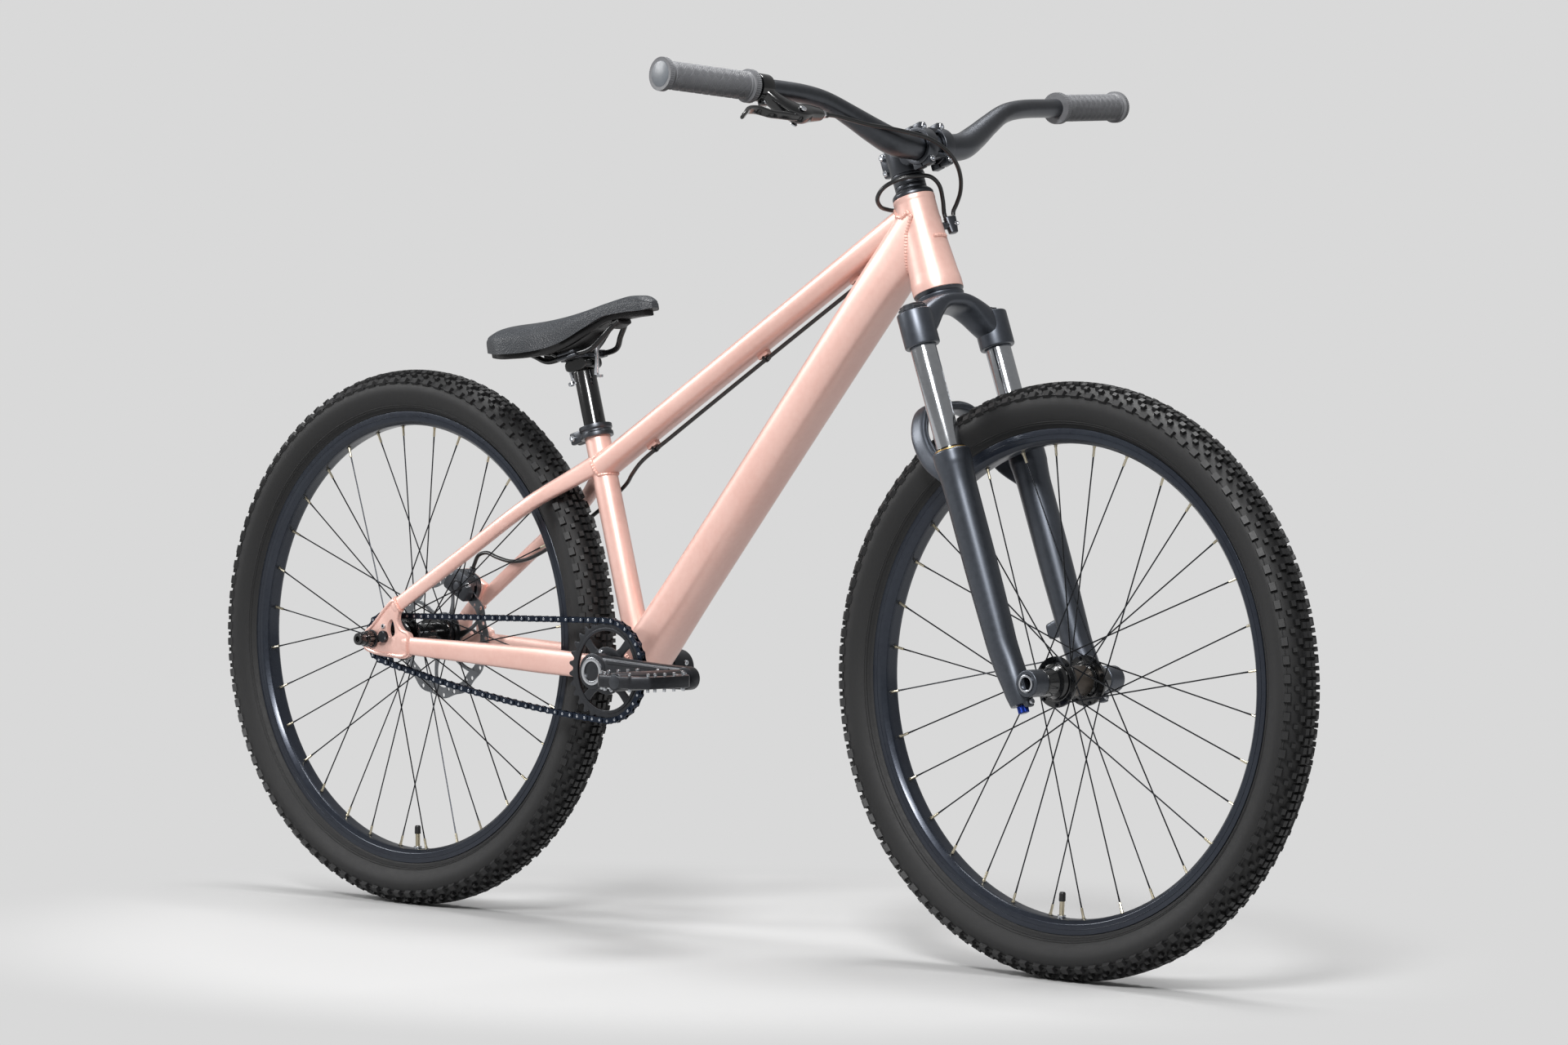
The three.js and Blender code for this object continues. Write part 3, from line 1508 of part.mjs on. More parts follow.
const barRise = 77;
const barSweep = 20.7;
const barEndRadius = 11.1;
const barWall = 2.2;
const barShares = [
  { out: 0, back: 0, up: 0, thick: 1 },
  { out: 0.085, back: 0, up: 0, thick: 1 },
  { out: 0.15, back: 0.01, up: 0.04, thick: 1 },
  { out: 0.22, back: 0.04, up: 0.2, thick: 0.75 },
  { out: 0.3, back: 0.08, up: 0.42, thick: 0.3 },
  { out: 0.385, back: 0.12, up: 0.63, thick: 0 },
  { out: 0.47, back: 0.19, up: 0.735, thick: 0 },
  { out: 0.66, back: 0.495, up: 0.838, thick: 0 },
  { out: 0.83, back: 0.75, up: 0.92, thick: 0 },
  { out: 1, back: 1, up: 1, thick: 0 },
];
const gripInnerShare = 0.668;
const gripNeckShare = 1.5;
const gripRadius = 16;
const gripFlangeRadius = 19;
const gripFlangeWidth = 6;
const gripCap = 3;

/** A place along the right half of the bar, from one of its shares. */
function onBar({ out, back, up }, side) {
  return [stemReach - barSweep * back, (side * handlebarWidth * out) / 2, stemMiddle + barRise * up];
}

/** The bar grown by a margin all round, with both its ends drawn in by some length. */
function barForm(grow, drawnIn, sides = tubeSides) {
  const station = (share, side) => {
    const width = (THREE.MathUtils.lerp(barEndRadius, barRadius, share.thick) + grow) * 2;
    return [...onBar(share, side), width, width];
  };
  const right = barShares.slice(1).map((share) => station(share, -1)).reverse();
  const left = barShares.map((share) => station(share, 1));
  return bar(extended([...right, ...left], -drawnIn), { side: X, sides });
}

function handlebarBody() {
  return barForm(0, gripCap + gap).subtract(barForm(-barWall, -overrun, boreSides));
}

/** A grip, closed at its outer end, on one side. */
function gripBody(side) {
  const inner = barShares.at(-3);
  const outer = barShares.at(-1);
  const share = (out) => {
    const along = (out - inner.out) / (outer.out - inner.out);
    const mix = (key) => THREE.MathUtils.lerp(inner[key], outer[key], along);
    return { out, back: mix('back'), up: mix('up') };
  };
  const flangeShare = (gripFlangeWidth * 2) / handlebarWidth;
  const station = (out, radius) => [...onBar(share(out), sideOf[side]), radius * 2, radius * 2];
  const body = bar([
    station(gripInnerShare, gripFlangeRadius),
    station(gripInnerShare + flangeShare, gripFlangeRadius),
    station(gripInnerShare + flangeShare * gripNeckShare, gripRadius),
    station(1 - flangeShare * gripNeckShare, gripRadius),
    station(1 - flangeShare, gripFlangeRadius),
    station(1, gripFlangeRadius),
  ], { side: X });
  return body.subtract(barForm(gap, gripCap));
}

// Brake lever: in its own frame, Z is the pivot, X points away from the bar and Y to the left

const leverTilt = 60;
const leverAhead = 20.13;
const leverDrop = 41.28;
const leverLength = 100;
const leverClampWidth = 17;
const leverClampRadius = 16;
const leverClampInset = 14.2;
const leverClampOffset = 28;
const leverClampY = (handlebarWidth * gripInnerShare) / 2 - leverClampInset;
const leverNutRadius = 4.6;
const leverNutEnd = 50;
const leverNutSetback = 7;
const leverPinRadius = 2.6;
const leverSlotHeight = 11;
const leverSlotWidth = 22;
const leverSlotLength = 27;
const leverThickness = 10;
const leverPower = 3;
const leverBodyShares = [
  [-0.38, -0.28, 0.03, 0.17, 0.15],
  [-0.2, -0.17, 0.01, 0.19, 0.19],
  [-0.06, 0, 0, 0.2, 0.23],
  [-0.07, 0.2, 0, 0.18, 0.19],
  [-0.07, 0.42, 0, 0.13, 0.14],
];
const leverBladeShares = [
  [0, 0.07, 0, 0.1, 0.09],
  [0, -0.1, 0, 0.1, 0.085],
  [-0.01, -0.3, 0, 0.1, 0.07],
  [-0.02, -0.46, 0, 0.1, 0.06],
  [-0.075, -0.63, 0, 0.11, 0.055],
  [-0.055, -0.8, 0, 0.11, 0.05],
  [0.035, -0.93, 0, 0.1, 0.045],
  [0.06, -0.98, 0, 0.08, 0.04],
];

/** The middle of the lever's clamp, between two of the bar's shares. */
function leverClampCentre() {
  const [near, far] = [barShares.at(-4), barShares.at(-3)];
  const share = ((leverClampY * 2) / handlebarWidth - near.out) / (far.out - near.out);
  const mix = (key) => THREE.MathUtils.lerp(near[key], far[key], share);
  return new THREE.Vector3(...onBar({ out: mix('out'), back: mix('back'), up: mix('up') }, -1));
}

const leverPivot = leverClampCentre();
leverPivot.add(new THREE.Vector3(leverAhead, leverClampOffset, -leverDrop));
const leverGroup = tiltedGroup(leverPivot, radians(leverTilt));
headGroup.add(leverGroup);

/** Stations from shares of the lever's length. */
function leverStations(shares) {
  return shares.map((row) => row.map((share) => share * leverLength));
}

/** The lever's clamp round the bar, in the lever's own frame. */
function leverClamp(grow, width) {
  const centre = leverClampCentre();
  const ahead = new THREE.Vector3(...onBar(barShares.at(-3), -1)).sub(centre).setLength(width / 2);
  const radius = leverClampRadius + grow;
  const ends = [centre.clone().sub(ahead), centre.clone().add(ahead)];
  const ring = bar(ends.map((end) => [...end.toArray(), radius * 2, radius * 2]), { side: X });
  return inGroupFrame(leverGroup, ring);
}

/** The clamp, cylinder and hose nut, with a slot for the blade and the pin that it turns on. */
function leverBody() {
  const cylinder = bar(leverStations(leverBodyShares), { side: Z, power: leverPower });
  const nut = roundAlongY(leverNutRadius, 0, leverNutEnd, hexSides).translate([-leverNutSetback, 0, 0]);
  const bladeSlot = block(
    [-leverSlotWidth / 2, -leverSlotLength, -leverSlotHeight / 2 - gap],
    [leverSlotWidth, leverSlotWidth / 2, leverSlotHeight / 2 + gap],
  );
  const pinEnd = leverSlotHeight / 2 + gap + gap;
  const pin = round(leverPinRadius, -pinEnd, pinEnd, smallSides);
  const barHere = inGroupFrame(leverGroup, barForm(gap, 0));
  const housing = joined(cylinder, nut, leverClamp(0, leverClampWidth)).subtract(bladeSlot);
  return joined(housing, pin).subtract(barHere);
}

function leverBlade() {
  const form = { side: Z, power: leverPower, sides: smallSides, steps: 2 };
  const blade = bar(leverStations(leverBladeShares), form);
  const eye = round(turningBore(leverPinRadius, smallSides), -leverThickness, leverThickness, smallSides);
  return blade.subtract(eye);
}

// Rear brake: the caliper and pads are built round the axle, with Z out to the rim of the rotor

const caliperLean = 27.3;
const caliperLength = 44;
const caliperLow = 61;
const caliperShoulder = 81;
const caliperHigh = 92;
const caliperTopLength = 24;
const caliperInside = 37.5;
const caliperOutside = 60;
const caliperSlot = 4;
const caliperTabThickness = 11.5;
const caliperTabLow = 60;
const caliperTabHigh = 88;
const padLength = 25;
const padLow = 64;
const padHigh = 79.5;
const padThickness = 3;
const padClearance = 0.6;
const portRadius = 4;
const portLength = 7;
const portY = 55;

/** Turns a body built above the axle to the caliper's place. */
function atCaliper(body) {
  return body.rotate([0, caliperLean, 0]).translate(rearAxle.toArray());
}

/** The tab on the left seatstay that the caliper's outer face is bolted to. */
function caliperTab() {
  const half = caliperLength / 2;
  const low = [-half, caliperOutside + gap, caliperTabLow];
  return atCaliper(block(low, [half, caliperOutside + caliperTabThickness, caliperTabHigh]));
}

function caliperBody() {
  const half = caliperLength / 2;
  const top = caliperTopLength / 2;
  const outline = [
    [-half, caliperLow], [half, caliperLow], [half, caliperShoulder],
    [top, caliperHigh], [-top, caliperHigh], [-half, caliperShoulder],
  ];
  const body = plate(outline, caliperInside, caliperOutside);
  const slot = block(
    [-half - overrun, rotorY - caliperSlot / 2, caliperLow - overrun],
    [half + overrun, rotorY + caliperSlot / 2, caliperShoulder + gap],
  );
  const pocketHalf = rotorThickness / 2 + padClearance + padThickness + gap;
  const pocket = block(
    [-padLength / 2 - gap, rotorY - pocketHalf, caliperLow - overrun],
    [padLength / 2 + gap, rotorY + pocketHalf, padHigh + gap],
  );
  const port = round(portRadius, caliperShoulder + overrun, caliperHigh + portLength, hexSides);
  return atCaliper(joined(body.subtract(joined(slot, pocket)), port.translate([0, portY, 0])));
}

/** A brake pad: side 1 is the outer pad and side -1 the inner one. */
function padBody(side) {
  const near = rotorY + side * (rotorThickness / 2 + padClearance);
  const far = near + side * padThickness;
  const low = [-padLength / 2, Math.min(near, far), padLow];
  return atCaliper(block(low, [padLength / 2, Math.max(near, far), padHigh]));
}

// Brake hose: one strand runs from the lever to the coupler, and one from there to the caliper

const hoseRadius = 2.5;
const hoseSides = 8;
const frontHoseSteps = 20;
const rearHoseSteps = 50;
const couplerLow = 80;
const couplerHigh = 100;
const couplerForward = 16;
const couplerOut = 35;
const couplerWidth = 15;
const couplerFootShare = 0.7;
const couplerDepth = 10;
const couplerFootWidth = 9;
const frontRoute = [
  [48.5, -174.7, 204], [49.2, -160, 203.2], [51, -138, 199], [54, -112, 193], [60, -86, 187.5],
  [65.5, -58, 181], [69.5, -30, 173], [70, -8, 161], [65, 11, 147], [54, 26, 133], [40, 36, 121],
  [28, 39.5, 112], [21, 39, 105.5], [19.5, 38.5, 101],
];
const headRoute = [
  [12.8, 31.6, 100.3], [13.3, 31, 106], [18, 29, 120], [27, 18, 135], [30, 2, 143.5], [24, -18, 145.5],
  [9, -33, 145.5], [-9, -39, 142], [-23, -36, 135], [-31, -24, 128.5], [-34, -8, 126.5],
  [-36.5, 8, 126], [-40, 19.5, 121.5], [-45, 23.5, 112], [-52, 22.5, 99.5],
];
const frameRoute = [
  [228, 18, 813], [219, 10.5, 800.5], [207, 6.3, 788.6], [190, 6, 778.2], [100, 6, 723.2],
  [0, 6, 661.7], [-100, 6, 599.7], [-150, 8, 569.5], [-172, 14, 553], [-187, 21.5, 542.5],
  [-206, 26, 530], [-232, 32, 515.5], [-262, 38, 499.5], [-300, 41.5, 480], [-345, 44, 456],
  [-385, 47.5, 441], [-418, 51, 437], [-446, 54, 441], [-466, 55, 446], [-480.5, 55, 442],
  [-487.5, 55, 431], [-489.5, 55, 426.4],
];

/** A tube along a route of chosen points. */
function hoseBody(route, steps) {
  const extrudePath = new THREE.CatmullRomCurve3(route.map((place) => new THREE.Vector3(...place)));
  const points = roundOutline(hoseSides, () => hoseRadius).map(([x, y]) => new THREE.Vector2(x, y));
  const section = new THREE.Shape(points);
  return solid(new THREE.ExtrudeGeometry(section, { steps, extrudePath, bevelEnabled: false }));
}

/** The head part of the route moved to the bike's frame, and the rest after it. */
function rearRoute() {
  headGroup.updateMatrix();
  const head = headRoute.map((place) => new THREE.Vector3(...place).applyMatrix4(headGroup.matrix).toArray());
  return [...head, ...frameRoute];
}

/** The block on the head tube where the two strands meet. */
function couplerBody() {
  const [forward, out] = [couplerForward, couplerOut];
  const side = new THREE.Vector3(forward, out, 0).normalize();
  const body = bar([
    [forward, out, couplerLow, couplerWidth * couplerFootShare, couplerDepth],
    [forward, out, couplerHigh, couplerWidth, couplerDepth],
  ], { side, power: bracePower, sides: smallSides });
  const middle = (couplerLow + couplerHigh) / 2;
  const foot = bar([
    [0, 0, middle, couplerFootWidth, couplerFootWidth],
    [forward, out, middle, couplerFootWidth, couplerFootWidth],
  ], { side: Z, sides: smallSides });
  return joined(body, foot).subtract(headTubeKeepOut());
}

/** One of the brackets under the top tube that the hose is tied to. */
function hoseGuide(share) {
  const centre = topTubeFoot.clone().lerp(topTubeHead, share);
  const low = [-guideLength / 2, guideY - guideWidth / 2, -topTubeRearHeight / 2 - guideDrop];
  const guide = block(low, [guideLength / 2, guideY + guideWidth / 2, 0]);
  return guide.rotate([0, -THREE.MathUtils.radToDeg(topTubeRise), 0]).translate(centre.toArray());
}

// Assembly: the frame

add(headGroup, 'head_tube', headTubeBody(), framePaint);
add(bike, 'top_tube', topTubeBody(), framePaint);
add(bike, 'down_tube', downTubeBody(), framePaint);
add(bike, 'seat_tube', seatTubeBody(), framePaint);
for (const side of Object.keys(sideOf)) {
  add(bike, `chainstay_${side}`, chainStayBody(side), framePaint);
  add(bike, `seatstay_${side}`, seatStayBody(side), framePaint);
}
add(seatGroup, 'seat_collar', seatCollarBody(), blackMetal);
add(headGroup, 'headset_cup_lower', lowerCupBody(), satinBlack);
add(headGroup, 'headset_cup_upper', upperCupBody(), satinBlack);
add(headGroup, 'hose_coupler', couplerBody(), satinBlack);

// Assembly: seatpost and saddle

add(seatGroup, 'seatpost', postBody(), blackMetal);
add(saddleGroup, 'saddle_clamp', saddleClampBody(), blackMetal);
add(saddleGroup, 'saddle_rails', railBody(0), blackMetal);
add(saddleGroup, 'saddle_base', saddleBaseBody(), satinBlack);
add(saddleGroup, 'saddle_cover', saddleCoverBody(), saddleVinyl);

// Assembly: fork, stem and bar

add(headGroup, 'fork_crown', forkCrownBody(), forkPaint);
for (const side of Object.keys(sideOf)) {
  add(headGroup, `stanchion_${side}`, stanchionBody(side), polishedSteel);
  add(headGroup, `grip_${side}`, gripBody(side), gripRubber);
}
add(headGroup, 'fork_lowers', forkLowersBody(), forkPaint);
add(headGroup, 'compression_knob', compressionKnobBody(), blackMetal);
add(headGroup, 'rebound_knob', reboundKnobBody(), knobBlue);
add(headGroup, 'headset_spacers', spacersBody(), satinBlack);
add(headGroup, 'stem', stemBody(), satinBlack);
add(headGroup, 'stem_faceplate', faceplateBody(), satinBlack);
add(headGroup, 'handlebar', handlebarBody(), satinBlack);

// Assembly: wheels

/** A group at a wheel's axle or the bottom bracket. */
function groupAt(place) {
  const group = new THREE.Group();
  group.position.copy(place);
  bike.add(group);
  return group;
}

function addWheel(place, name, hub, flangeBore, [rightY, leftY]) {
  const wheel = groupAt(place);
  add(wheel, `${name}_tyre`, tyreBody(), tyreRubber);
  add(wheel, `${name}_rim`, rimBody(), rimPaint);
  add(wheel, `${name}_hub`, hub, blackMetal);
  const rightSpokes = spokesBody('right', rightY, flangeBore, rightLacingShare);
  const leftSpokes = spokesBody('left', leftY, flangeBore, leftLacingShare);
  add(wheel, `${name}_spokes_right`, rightSpokes, blackMetal);
  add(wheel, `${name}_spokes_left`, leftSpokes, blackMetal);
  return wheel;
}

const frontFlanges = [-frontFlangeY, frontFlangeY];
const rearFlanges = [rearFlangeRightY, rearFlangeLeftY];
addWheel(frontAxle, 'front', frontHubBody(), frontHubShellRadius, frontFlanges);
const rearWheel = addWheel(rearAxle, 'rear', rearHubBody(), rearHubShellRadius, rearFlanges);
add(groupAt(frontAxle), 'front_axle', frontAxleBody(), satinBlack);
add(rearWheel, 'rear_axle', rearAxleBody(), blackMetal);
add(rearWheel, 'rear_cog', cogBody(), chainSteel);
add(rearWheel, 'brake_rotor', rotorBody(), polishedSteel);

// Assembly: cranks, pedals and chain

const crankGroup = groupAt(bottomBracket);
add(crankGroup, 'bearing_cup_right', bearingCupBody('right'), satinBlack);
add(crankGroup, 'bearing_cup_left', bearingCupBody('left'), satinBlack);
add(crankGroup, 'crank_arm_right', rightCrankBody(), satinBlack);
add(crankGroup, 'crank_arm_left', leftCrankBody(), satinBlack);
add(crankGroup, 'chainring', chainringBody(), blackMetal);
for (const [side, sign] of Object.entries(sideOf)) {
  const pedalGroup = groupAt(bottomBracket.clone().addScaledVector(X, -sign * crankLength));
  add(pedalGroup, `pedal_axle_${side}`, onSide(side, pedalAxleBody()), polishedSteel);
  add(pedalGroup, `pedal_${side}`, onSide(side, pedalBody()), satinBlack);
}
add(bike, 'chain', chainBody(), chainSteel);

// Assembly: brake

add(leverGroup, 'brake_lever_body', leverBody(), blackMetal);
add(leverGroup, 'brake_lever', leverBlade(), blackMetal);
add(headGroup, 'brake_hose_front', hoseBody(frontRoute, frontHoseSteps), hoseBlack);
add(bike, 'brake_hose_rear', hoseBody(rearRoute(), rearHoseSteps), hoseBlack);
add(bike, 'brake_caliper', caliperBody(), satinBlack);
add(bike, 'brake_pad_outer', padBody(1), blackMetal);
add(bike, 'brake_pad_inner', padBody(-1), blackMetal);

export default bike;
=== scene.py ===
"""Looks of a dirt jump bicycle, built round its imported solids.

Meshes are worked out in millimetres in the frame of the sub-assembly that they belong to,
and are written in metres in the bicycle's own frame: +X forward, +Y to the left, +Z up.
"""

import logging
import math
from dataclasses import dataclass
from enum import Enum
from typing import Callable, Optional, Sequence, Union

import bmesh
import bpy
from mathutils import Matrix, Vector
from mathutils.bvhtree import BVHTree

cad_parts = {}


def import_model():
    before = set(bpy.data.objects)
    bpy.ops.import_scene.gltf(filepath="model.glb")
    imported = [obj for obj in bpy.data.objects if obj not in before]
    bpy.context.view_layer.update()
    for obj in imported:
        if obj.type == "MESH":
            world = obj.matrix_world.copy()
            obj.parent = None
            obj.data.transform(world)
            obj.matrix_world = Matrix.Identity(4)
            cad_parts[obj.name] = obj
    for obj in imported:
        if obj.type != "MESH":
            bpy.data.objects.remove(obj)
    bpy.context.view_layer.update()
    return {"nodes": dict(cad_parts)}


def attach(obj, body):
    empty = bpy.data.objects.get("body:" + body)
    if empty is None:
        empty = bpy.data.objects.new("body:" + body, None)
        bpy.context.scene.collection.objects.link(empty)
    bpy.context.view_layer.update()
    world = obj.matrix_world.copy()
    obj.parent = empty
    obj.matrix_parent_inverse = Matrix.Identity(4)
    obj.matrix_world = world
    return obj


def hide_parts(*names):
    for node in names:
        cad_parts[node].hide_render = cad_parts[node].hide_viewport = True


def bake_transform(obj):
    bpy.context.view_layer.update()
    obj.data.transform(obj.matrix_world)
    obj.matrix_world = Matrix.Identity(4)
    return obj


LOG = logging.getLogger("jump_bike")
MM = 0.001
TURN = 2 * math.pi

Mesh = bmesh.types.BMesh
Point = Sequence[float]
Link = Union["Value", float]


# Shader maths


class Value:
    """A number in a material: an output socket that Python's operators act on."""

    def __init__(self, shader: "Shader", socket: bpy.types.NodeSocket) -> None:
        """Keeps the socket and the shader that it belongs to."""
        self.shader = shader
        self.socket = socket

    def _math(self, operation: str, *values: Link) -> "Value":
        """Adds one Math node for some values, in the order of its sockets."""
        return self.shader.node("ShaderNodeMath", {"operation": operation}, dict(enumerate(values)))

    def __add__(self, other: Link) -> "Value":
        """The sum."""
        return self._math("ADD", self, other)

    __radd__ = __add__

    def __mul__(self, other: Link) -> "Value":
        """The product."""
        return self._math("MULTIPLY", self, other)

    __rmul__ = __mul__

    def __sub__(self, other: Link) -> "Value":
        """The difference."""
        return self._math("SUBTRACT", self, other)

    def __pow__(self, power: Link) -> "Value":
        """The power."""
        return self._math("POWER", self, power)

    def above(self, low: float, high: float) -> "Value":
        """A mask that rises smoothly from 0 at the low value to 1 at the high one."""
        inputs = {"Value": self, "From Min": low, "From Max": high}
        return self.shader.node("ShaderNodeMapRange", {"interpolation_type": "SMOOTHSTEP"}, inputs)

    def larger(self, other: Link) -> "Value":
        """The larger of two values."""
        return self._math("MAXIMUM", self, other)


class Shader:
    """A material with one Principled BSDF and the nodes that feed it."""

    def __init__(self, name: str) -> None:
        """Makes an empty material.

        Args:
            name: The material's name.
        """
        self.material = bpy.data.materials.new(name)
        self.material.use_nodes = True
        self.tree = self.material.node_tree
        self.tree.nodes.clear()
        self.output = self.tree.nodes.new("ShaderNodeOutputMaterial")
        self.surface = self.tree.nodes.new("ShaderNodeBsdfPrincipled")
        self.tree.links.new(self.surface.outputs[0], self.output.inputs["Surface"])

    def node(self, kind: str, settings: dict, inputs: dict, output: Union[int, str] = 0) -> Value:
        """Adds a node of any type.

        Args:
            kind: The node's type.
            settings: Its settings, set first.
            inputs: Values or links of its sockets, by name or number.
            output: The output wanted.

        Returns:
            The output wanted, as a value.
        """
        made = self.tree.nodes.new(kind)
        for key, value in settings.items():
            setattr(made, key, value)
        for key, value in inputs.items():
            self.feed(made.inputs[key], value)
        return Value(self, made.outputs[output])

    def feed(self, socket: bpy.types.NodeSocket, value: object) -> None:
        """Links a value to a socket, or sets the socket's own value."""
        if isinstance(value, Value):
            self.tree.links.new(value.socket, socket)
        else:
            socket.default_value = value

    def place(self) -> Value:
        """The object's own coordinates in metres, which patterns read."""
        return self.node("ShaderNodeTexCoord", {}, {}, "Object")

    def noise(self, scale: float, detail: float = 2.0, stretch: Point = (1, 1, 1), rough: float = 0.5) -> Value:
        """A noise of some scale per metre, which may be stretched along an axis.

        Args:
            scale: Cells per metre.
            detail: Finer layers.
            stretch: The scale along each axis.
            rough: How strong the finer layers are.

        Returns:
            The noise, from 0 to 1.
        """
        at = self.node("ShaderNodeMapping", {}, {"Vector": self.place(), "Scale": tuple(stretch)})
        return self.node("ShaderNodeTexNoise", {}, {"Vector": at, "Scale": scale, "Detail": detail, "Roughness": rough})

    def cells(self, scale: float) -> Value:
        """The distance to the nearest of scattered points, at some scale per metre."""
        return self.node("ShaderNodeTexVoronoi", {}, {"Vector": self.place(), "Scale": scale})

    def mix(self, share: Link, one: object, two: object) -> Value:
        """Mixes two colours, with a share of the second."""
        return self.node("ShaderNodeMix", {"data_type": "RGBA"}, {0: share, 6: one, 7: two}, 2)

    def bump(self, height: Value, strength: float, distance: float) -> Value:
        """A normal that is bumped by a height pattern, to a depth in metres."""
        return self.node("ShaderNodeBump", {}, {"Height": height, "Strength": strength, "Distance": distance})


# Finishes


def linear(code: int) -> tuple[float, float, float, float]:
    """A written colour such as 0xAABBCC as the linear one that Blender reads."""
    parts = [((code >> shift) & 255) / 255 for shift in (16, 8, 0)]
    return (*[p / 12.92 if p <= 0.04045 else ((p + 0.055) / 1.055) ** 2.4 for p in parts], 1.0)


# Patterns' cells per metre
BROAD, FINE, SCUFFS, PEBBLES, FLAKES = 9.0, 160.0, 55.0, 620.0, 2600.0


class Grain(Enum):
    """The fine form of a surface: scale per metre, finer layers, stretch, roughness and depth in metres."""

    PAINT = (420.0, 1.0, (1, 1, 1), 0.5, 0.0004)
    CAST = (900.0, 4.0, (1, 1, 1), 0.65, 0.0006)
    TURNED = (60.0, 4.0, (1, 60, 1), 0.7, 0.0003)
    POLISHED = (700.0, 2.0, (1, 1, 0.2), 0.5, 0.0002)
    RUBBER = (1500.0, 3.0, (1, 1, 1), 0.7, 0.0006)
    VINYL = (180.0, 4.0, (1, 1, 1), 0.5, 0.0009)
    PLASTIC = (1100.0, 2.0, (1, 1, 1), 0.5, 0.0004)


@dataclass(frozen=True)
class Finish:
    """One finish: its colours, its gloss and its grain."""

    name: str
    slot: str
    colour: int
    shade: int
    grain: Grain
    metallic: float = 0.0
    rough: float = 0.5
    rough_spread: float = 0.08
    coat: float = 0.0
    coat_rough: float = 0.1
    bump: float = 0.15
    wear: float = 0.0
    wear_colour: int = 0x8A8A8A

    def make(self) -> bpy.types.Material:
        """Builds the material once and returns it."""
        name = f"{self.name}_finish"
        known = bpy.data.materials.get(name)
        if known:
            return known
        shader = Shader(name)
        inputs = shader.surface.inputs
        broad = shader.noise(BROAD, 3.0)
        fine = shader.noise(FINE, 3.0, rough=0.6)
        share = (broad * 0.6 + fine * 0.4).above(0.3, 0.7)
        colour = shader.mix(share, linear(self.shade), linear(self.colour))
        rough = self.rough + (fine - 0.5) * (2 * self.rough_spread)
        if self.wear:
            scuff = shader.noise(SCUFFS, 5.0, rough=0.75).above(0.62, 0.74) * self.wear
            colour = shader.mix(scuff, colour, linear(self.wear_colour))
            rough = rough + scuff * 0.12
        shader.feed(inputs["Base Color"], colour)
        shader.feed(inputs["Roughness"], rough)
        inputs["Metallic"].default_value = self.metallic
        inputs["Coat Weight"].default_value = self.coat
        inputs["Coat Roughness"].default_value = self.coat_rough
        shader.feed(inputs["Normal"], self._normal(shader))
        return shader.material

    def _normal(self, shader: Shader) -> Value:
        """The bumped normal of the grain, with paint's flakes and vinyl's pebbles."""
        scale, detail, stretch, rough, depth = self.grain.value
        form = shader.noise(scale, detail, stretch, rough)
        if self.grain is Grain.PAINT:
            form = form + shader.noise(FLAKES, 0.0) * 0.25
        if self.grain is Grain.VINYL:
            form = shader.cells(PEBBLES) ** 1.5 + form * 0.5
        return shader.bump(form, self.bump, depth)


FRAME_PAINT = Finish("rose_frame_paint", "frame_paint", 0xF1C6BA, 0xEAB9AC, Grain.PAINT, 0.4, 0.42, 0.04, 1.0,
                     0.4, 0.05)
WELD_PAINT = Finish("rose_weld_paint", "frame_paint", 0xEDBBAD, 0xE2AC9D, Grain.CAST, 0.4, 0.42, 0.06, 0.8, 0.38,
                    0.15)
SATIN_BLACK = Finish("satin_black_anodising", "satin_black", 0x484B51, 0x3C3F44, Grain.PAINT, 1.0, 0.4, 0.05,
                     0.6, 0.32, 0.06, wear=0.1, wear_colour=0x3A3C40)
GLOSS_BLACK = Finish("gloss_black_paint", "satin_black", 0x0B0C0E, 0x08090A, Grain.PAINT, 0.2, 0.2, 0.04, 0.8,
                     0.06, 0.06)
FORGED_BLACK = Finish("forged_black", "satin_black", 0x34363A, 0x28292D, Grain.CAST, 0.85, 0.4, 0.06, 0.3, 0.3,
                      0.14, wear=0.14, wear_colour=0x44464A)
FORK_PAINT = Finish("slate_fork_paint", "fork_paint", 0x494E57, 0x3E434B, Grain.PAINT, 0.95, 0.42, 0.05, 0.7,
                    0.36, 0.06)
RIM_PAINT = Finish("blue_black_rim", "rim_paint", 0x2A303A, 0x222732, Grain.PAINT, 0.6, 0.3, 0.06, 0.3, 0.16,
                   0.1, wear=0.08, wear_colour=0x464C56)
CHROME = Finish("polished_stanchion", "polished_steel", 0xC6C9CD, 0xB8BBC0, Grain.POLISHED, 1.0, 0.13, 0.03,
                bump=0.04)
BOLT_SILVER = Finish("silver_bolt", "polished_steel", 0xD2D4D8, 0xBBBEC3, Grain.POLISHED, 1.0, 0.22, 0.06, bump=0.1)
ROTOR_STEEL = Finish("ground_rotor_steel", "rotor_steel", 0x8C8E91, 0x6E7175, Grain.TURNED, 1.0, 0.3, 0.08,
                     bump=0.25)
CHAIN_STEEL = Finish("blued_chain_steel", "chain_steel", 0x303846, 0x222936, Grain.POLISHED, 0.95, 0.28, 0.08,
                     bump=0.1, wear=0.3, wear_colour=0x8B929C)
PIN_STEEL = Finish("chain_pin_steel", "chain_steel", 0xC4C8CE, 0xA6ABB3, Grain.POLISHED, 1.0, 0.25, 0.05, bump=0.1)
SPOKE_BLACK = Finish("dark_spoke_steel", "spoke_steel", 0x2C2E32, 0x202226, Grain.POLISHED, 0.9, 0.28, 0.06,
                     bump=0.08)
NIPPLE_BRASS = Finish("brass_nipple", "spoke_steel", 0xCBC3AE, 0xB0A78F, Grain.POLISHED, 1.0, 0.3, 0.08, bump=0.1)
SEAL_BRASS = Finish("seal_ring", "polished_steel", 0xB99A62, 0x9C7F4C, Grain.POLISHED, 0.9, 0.35, 0.06, bump=0.1)
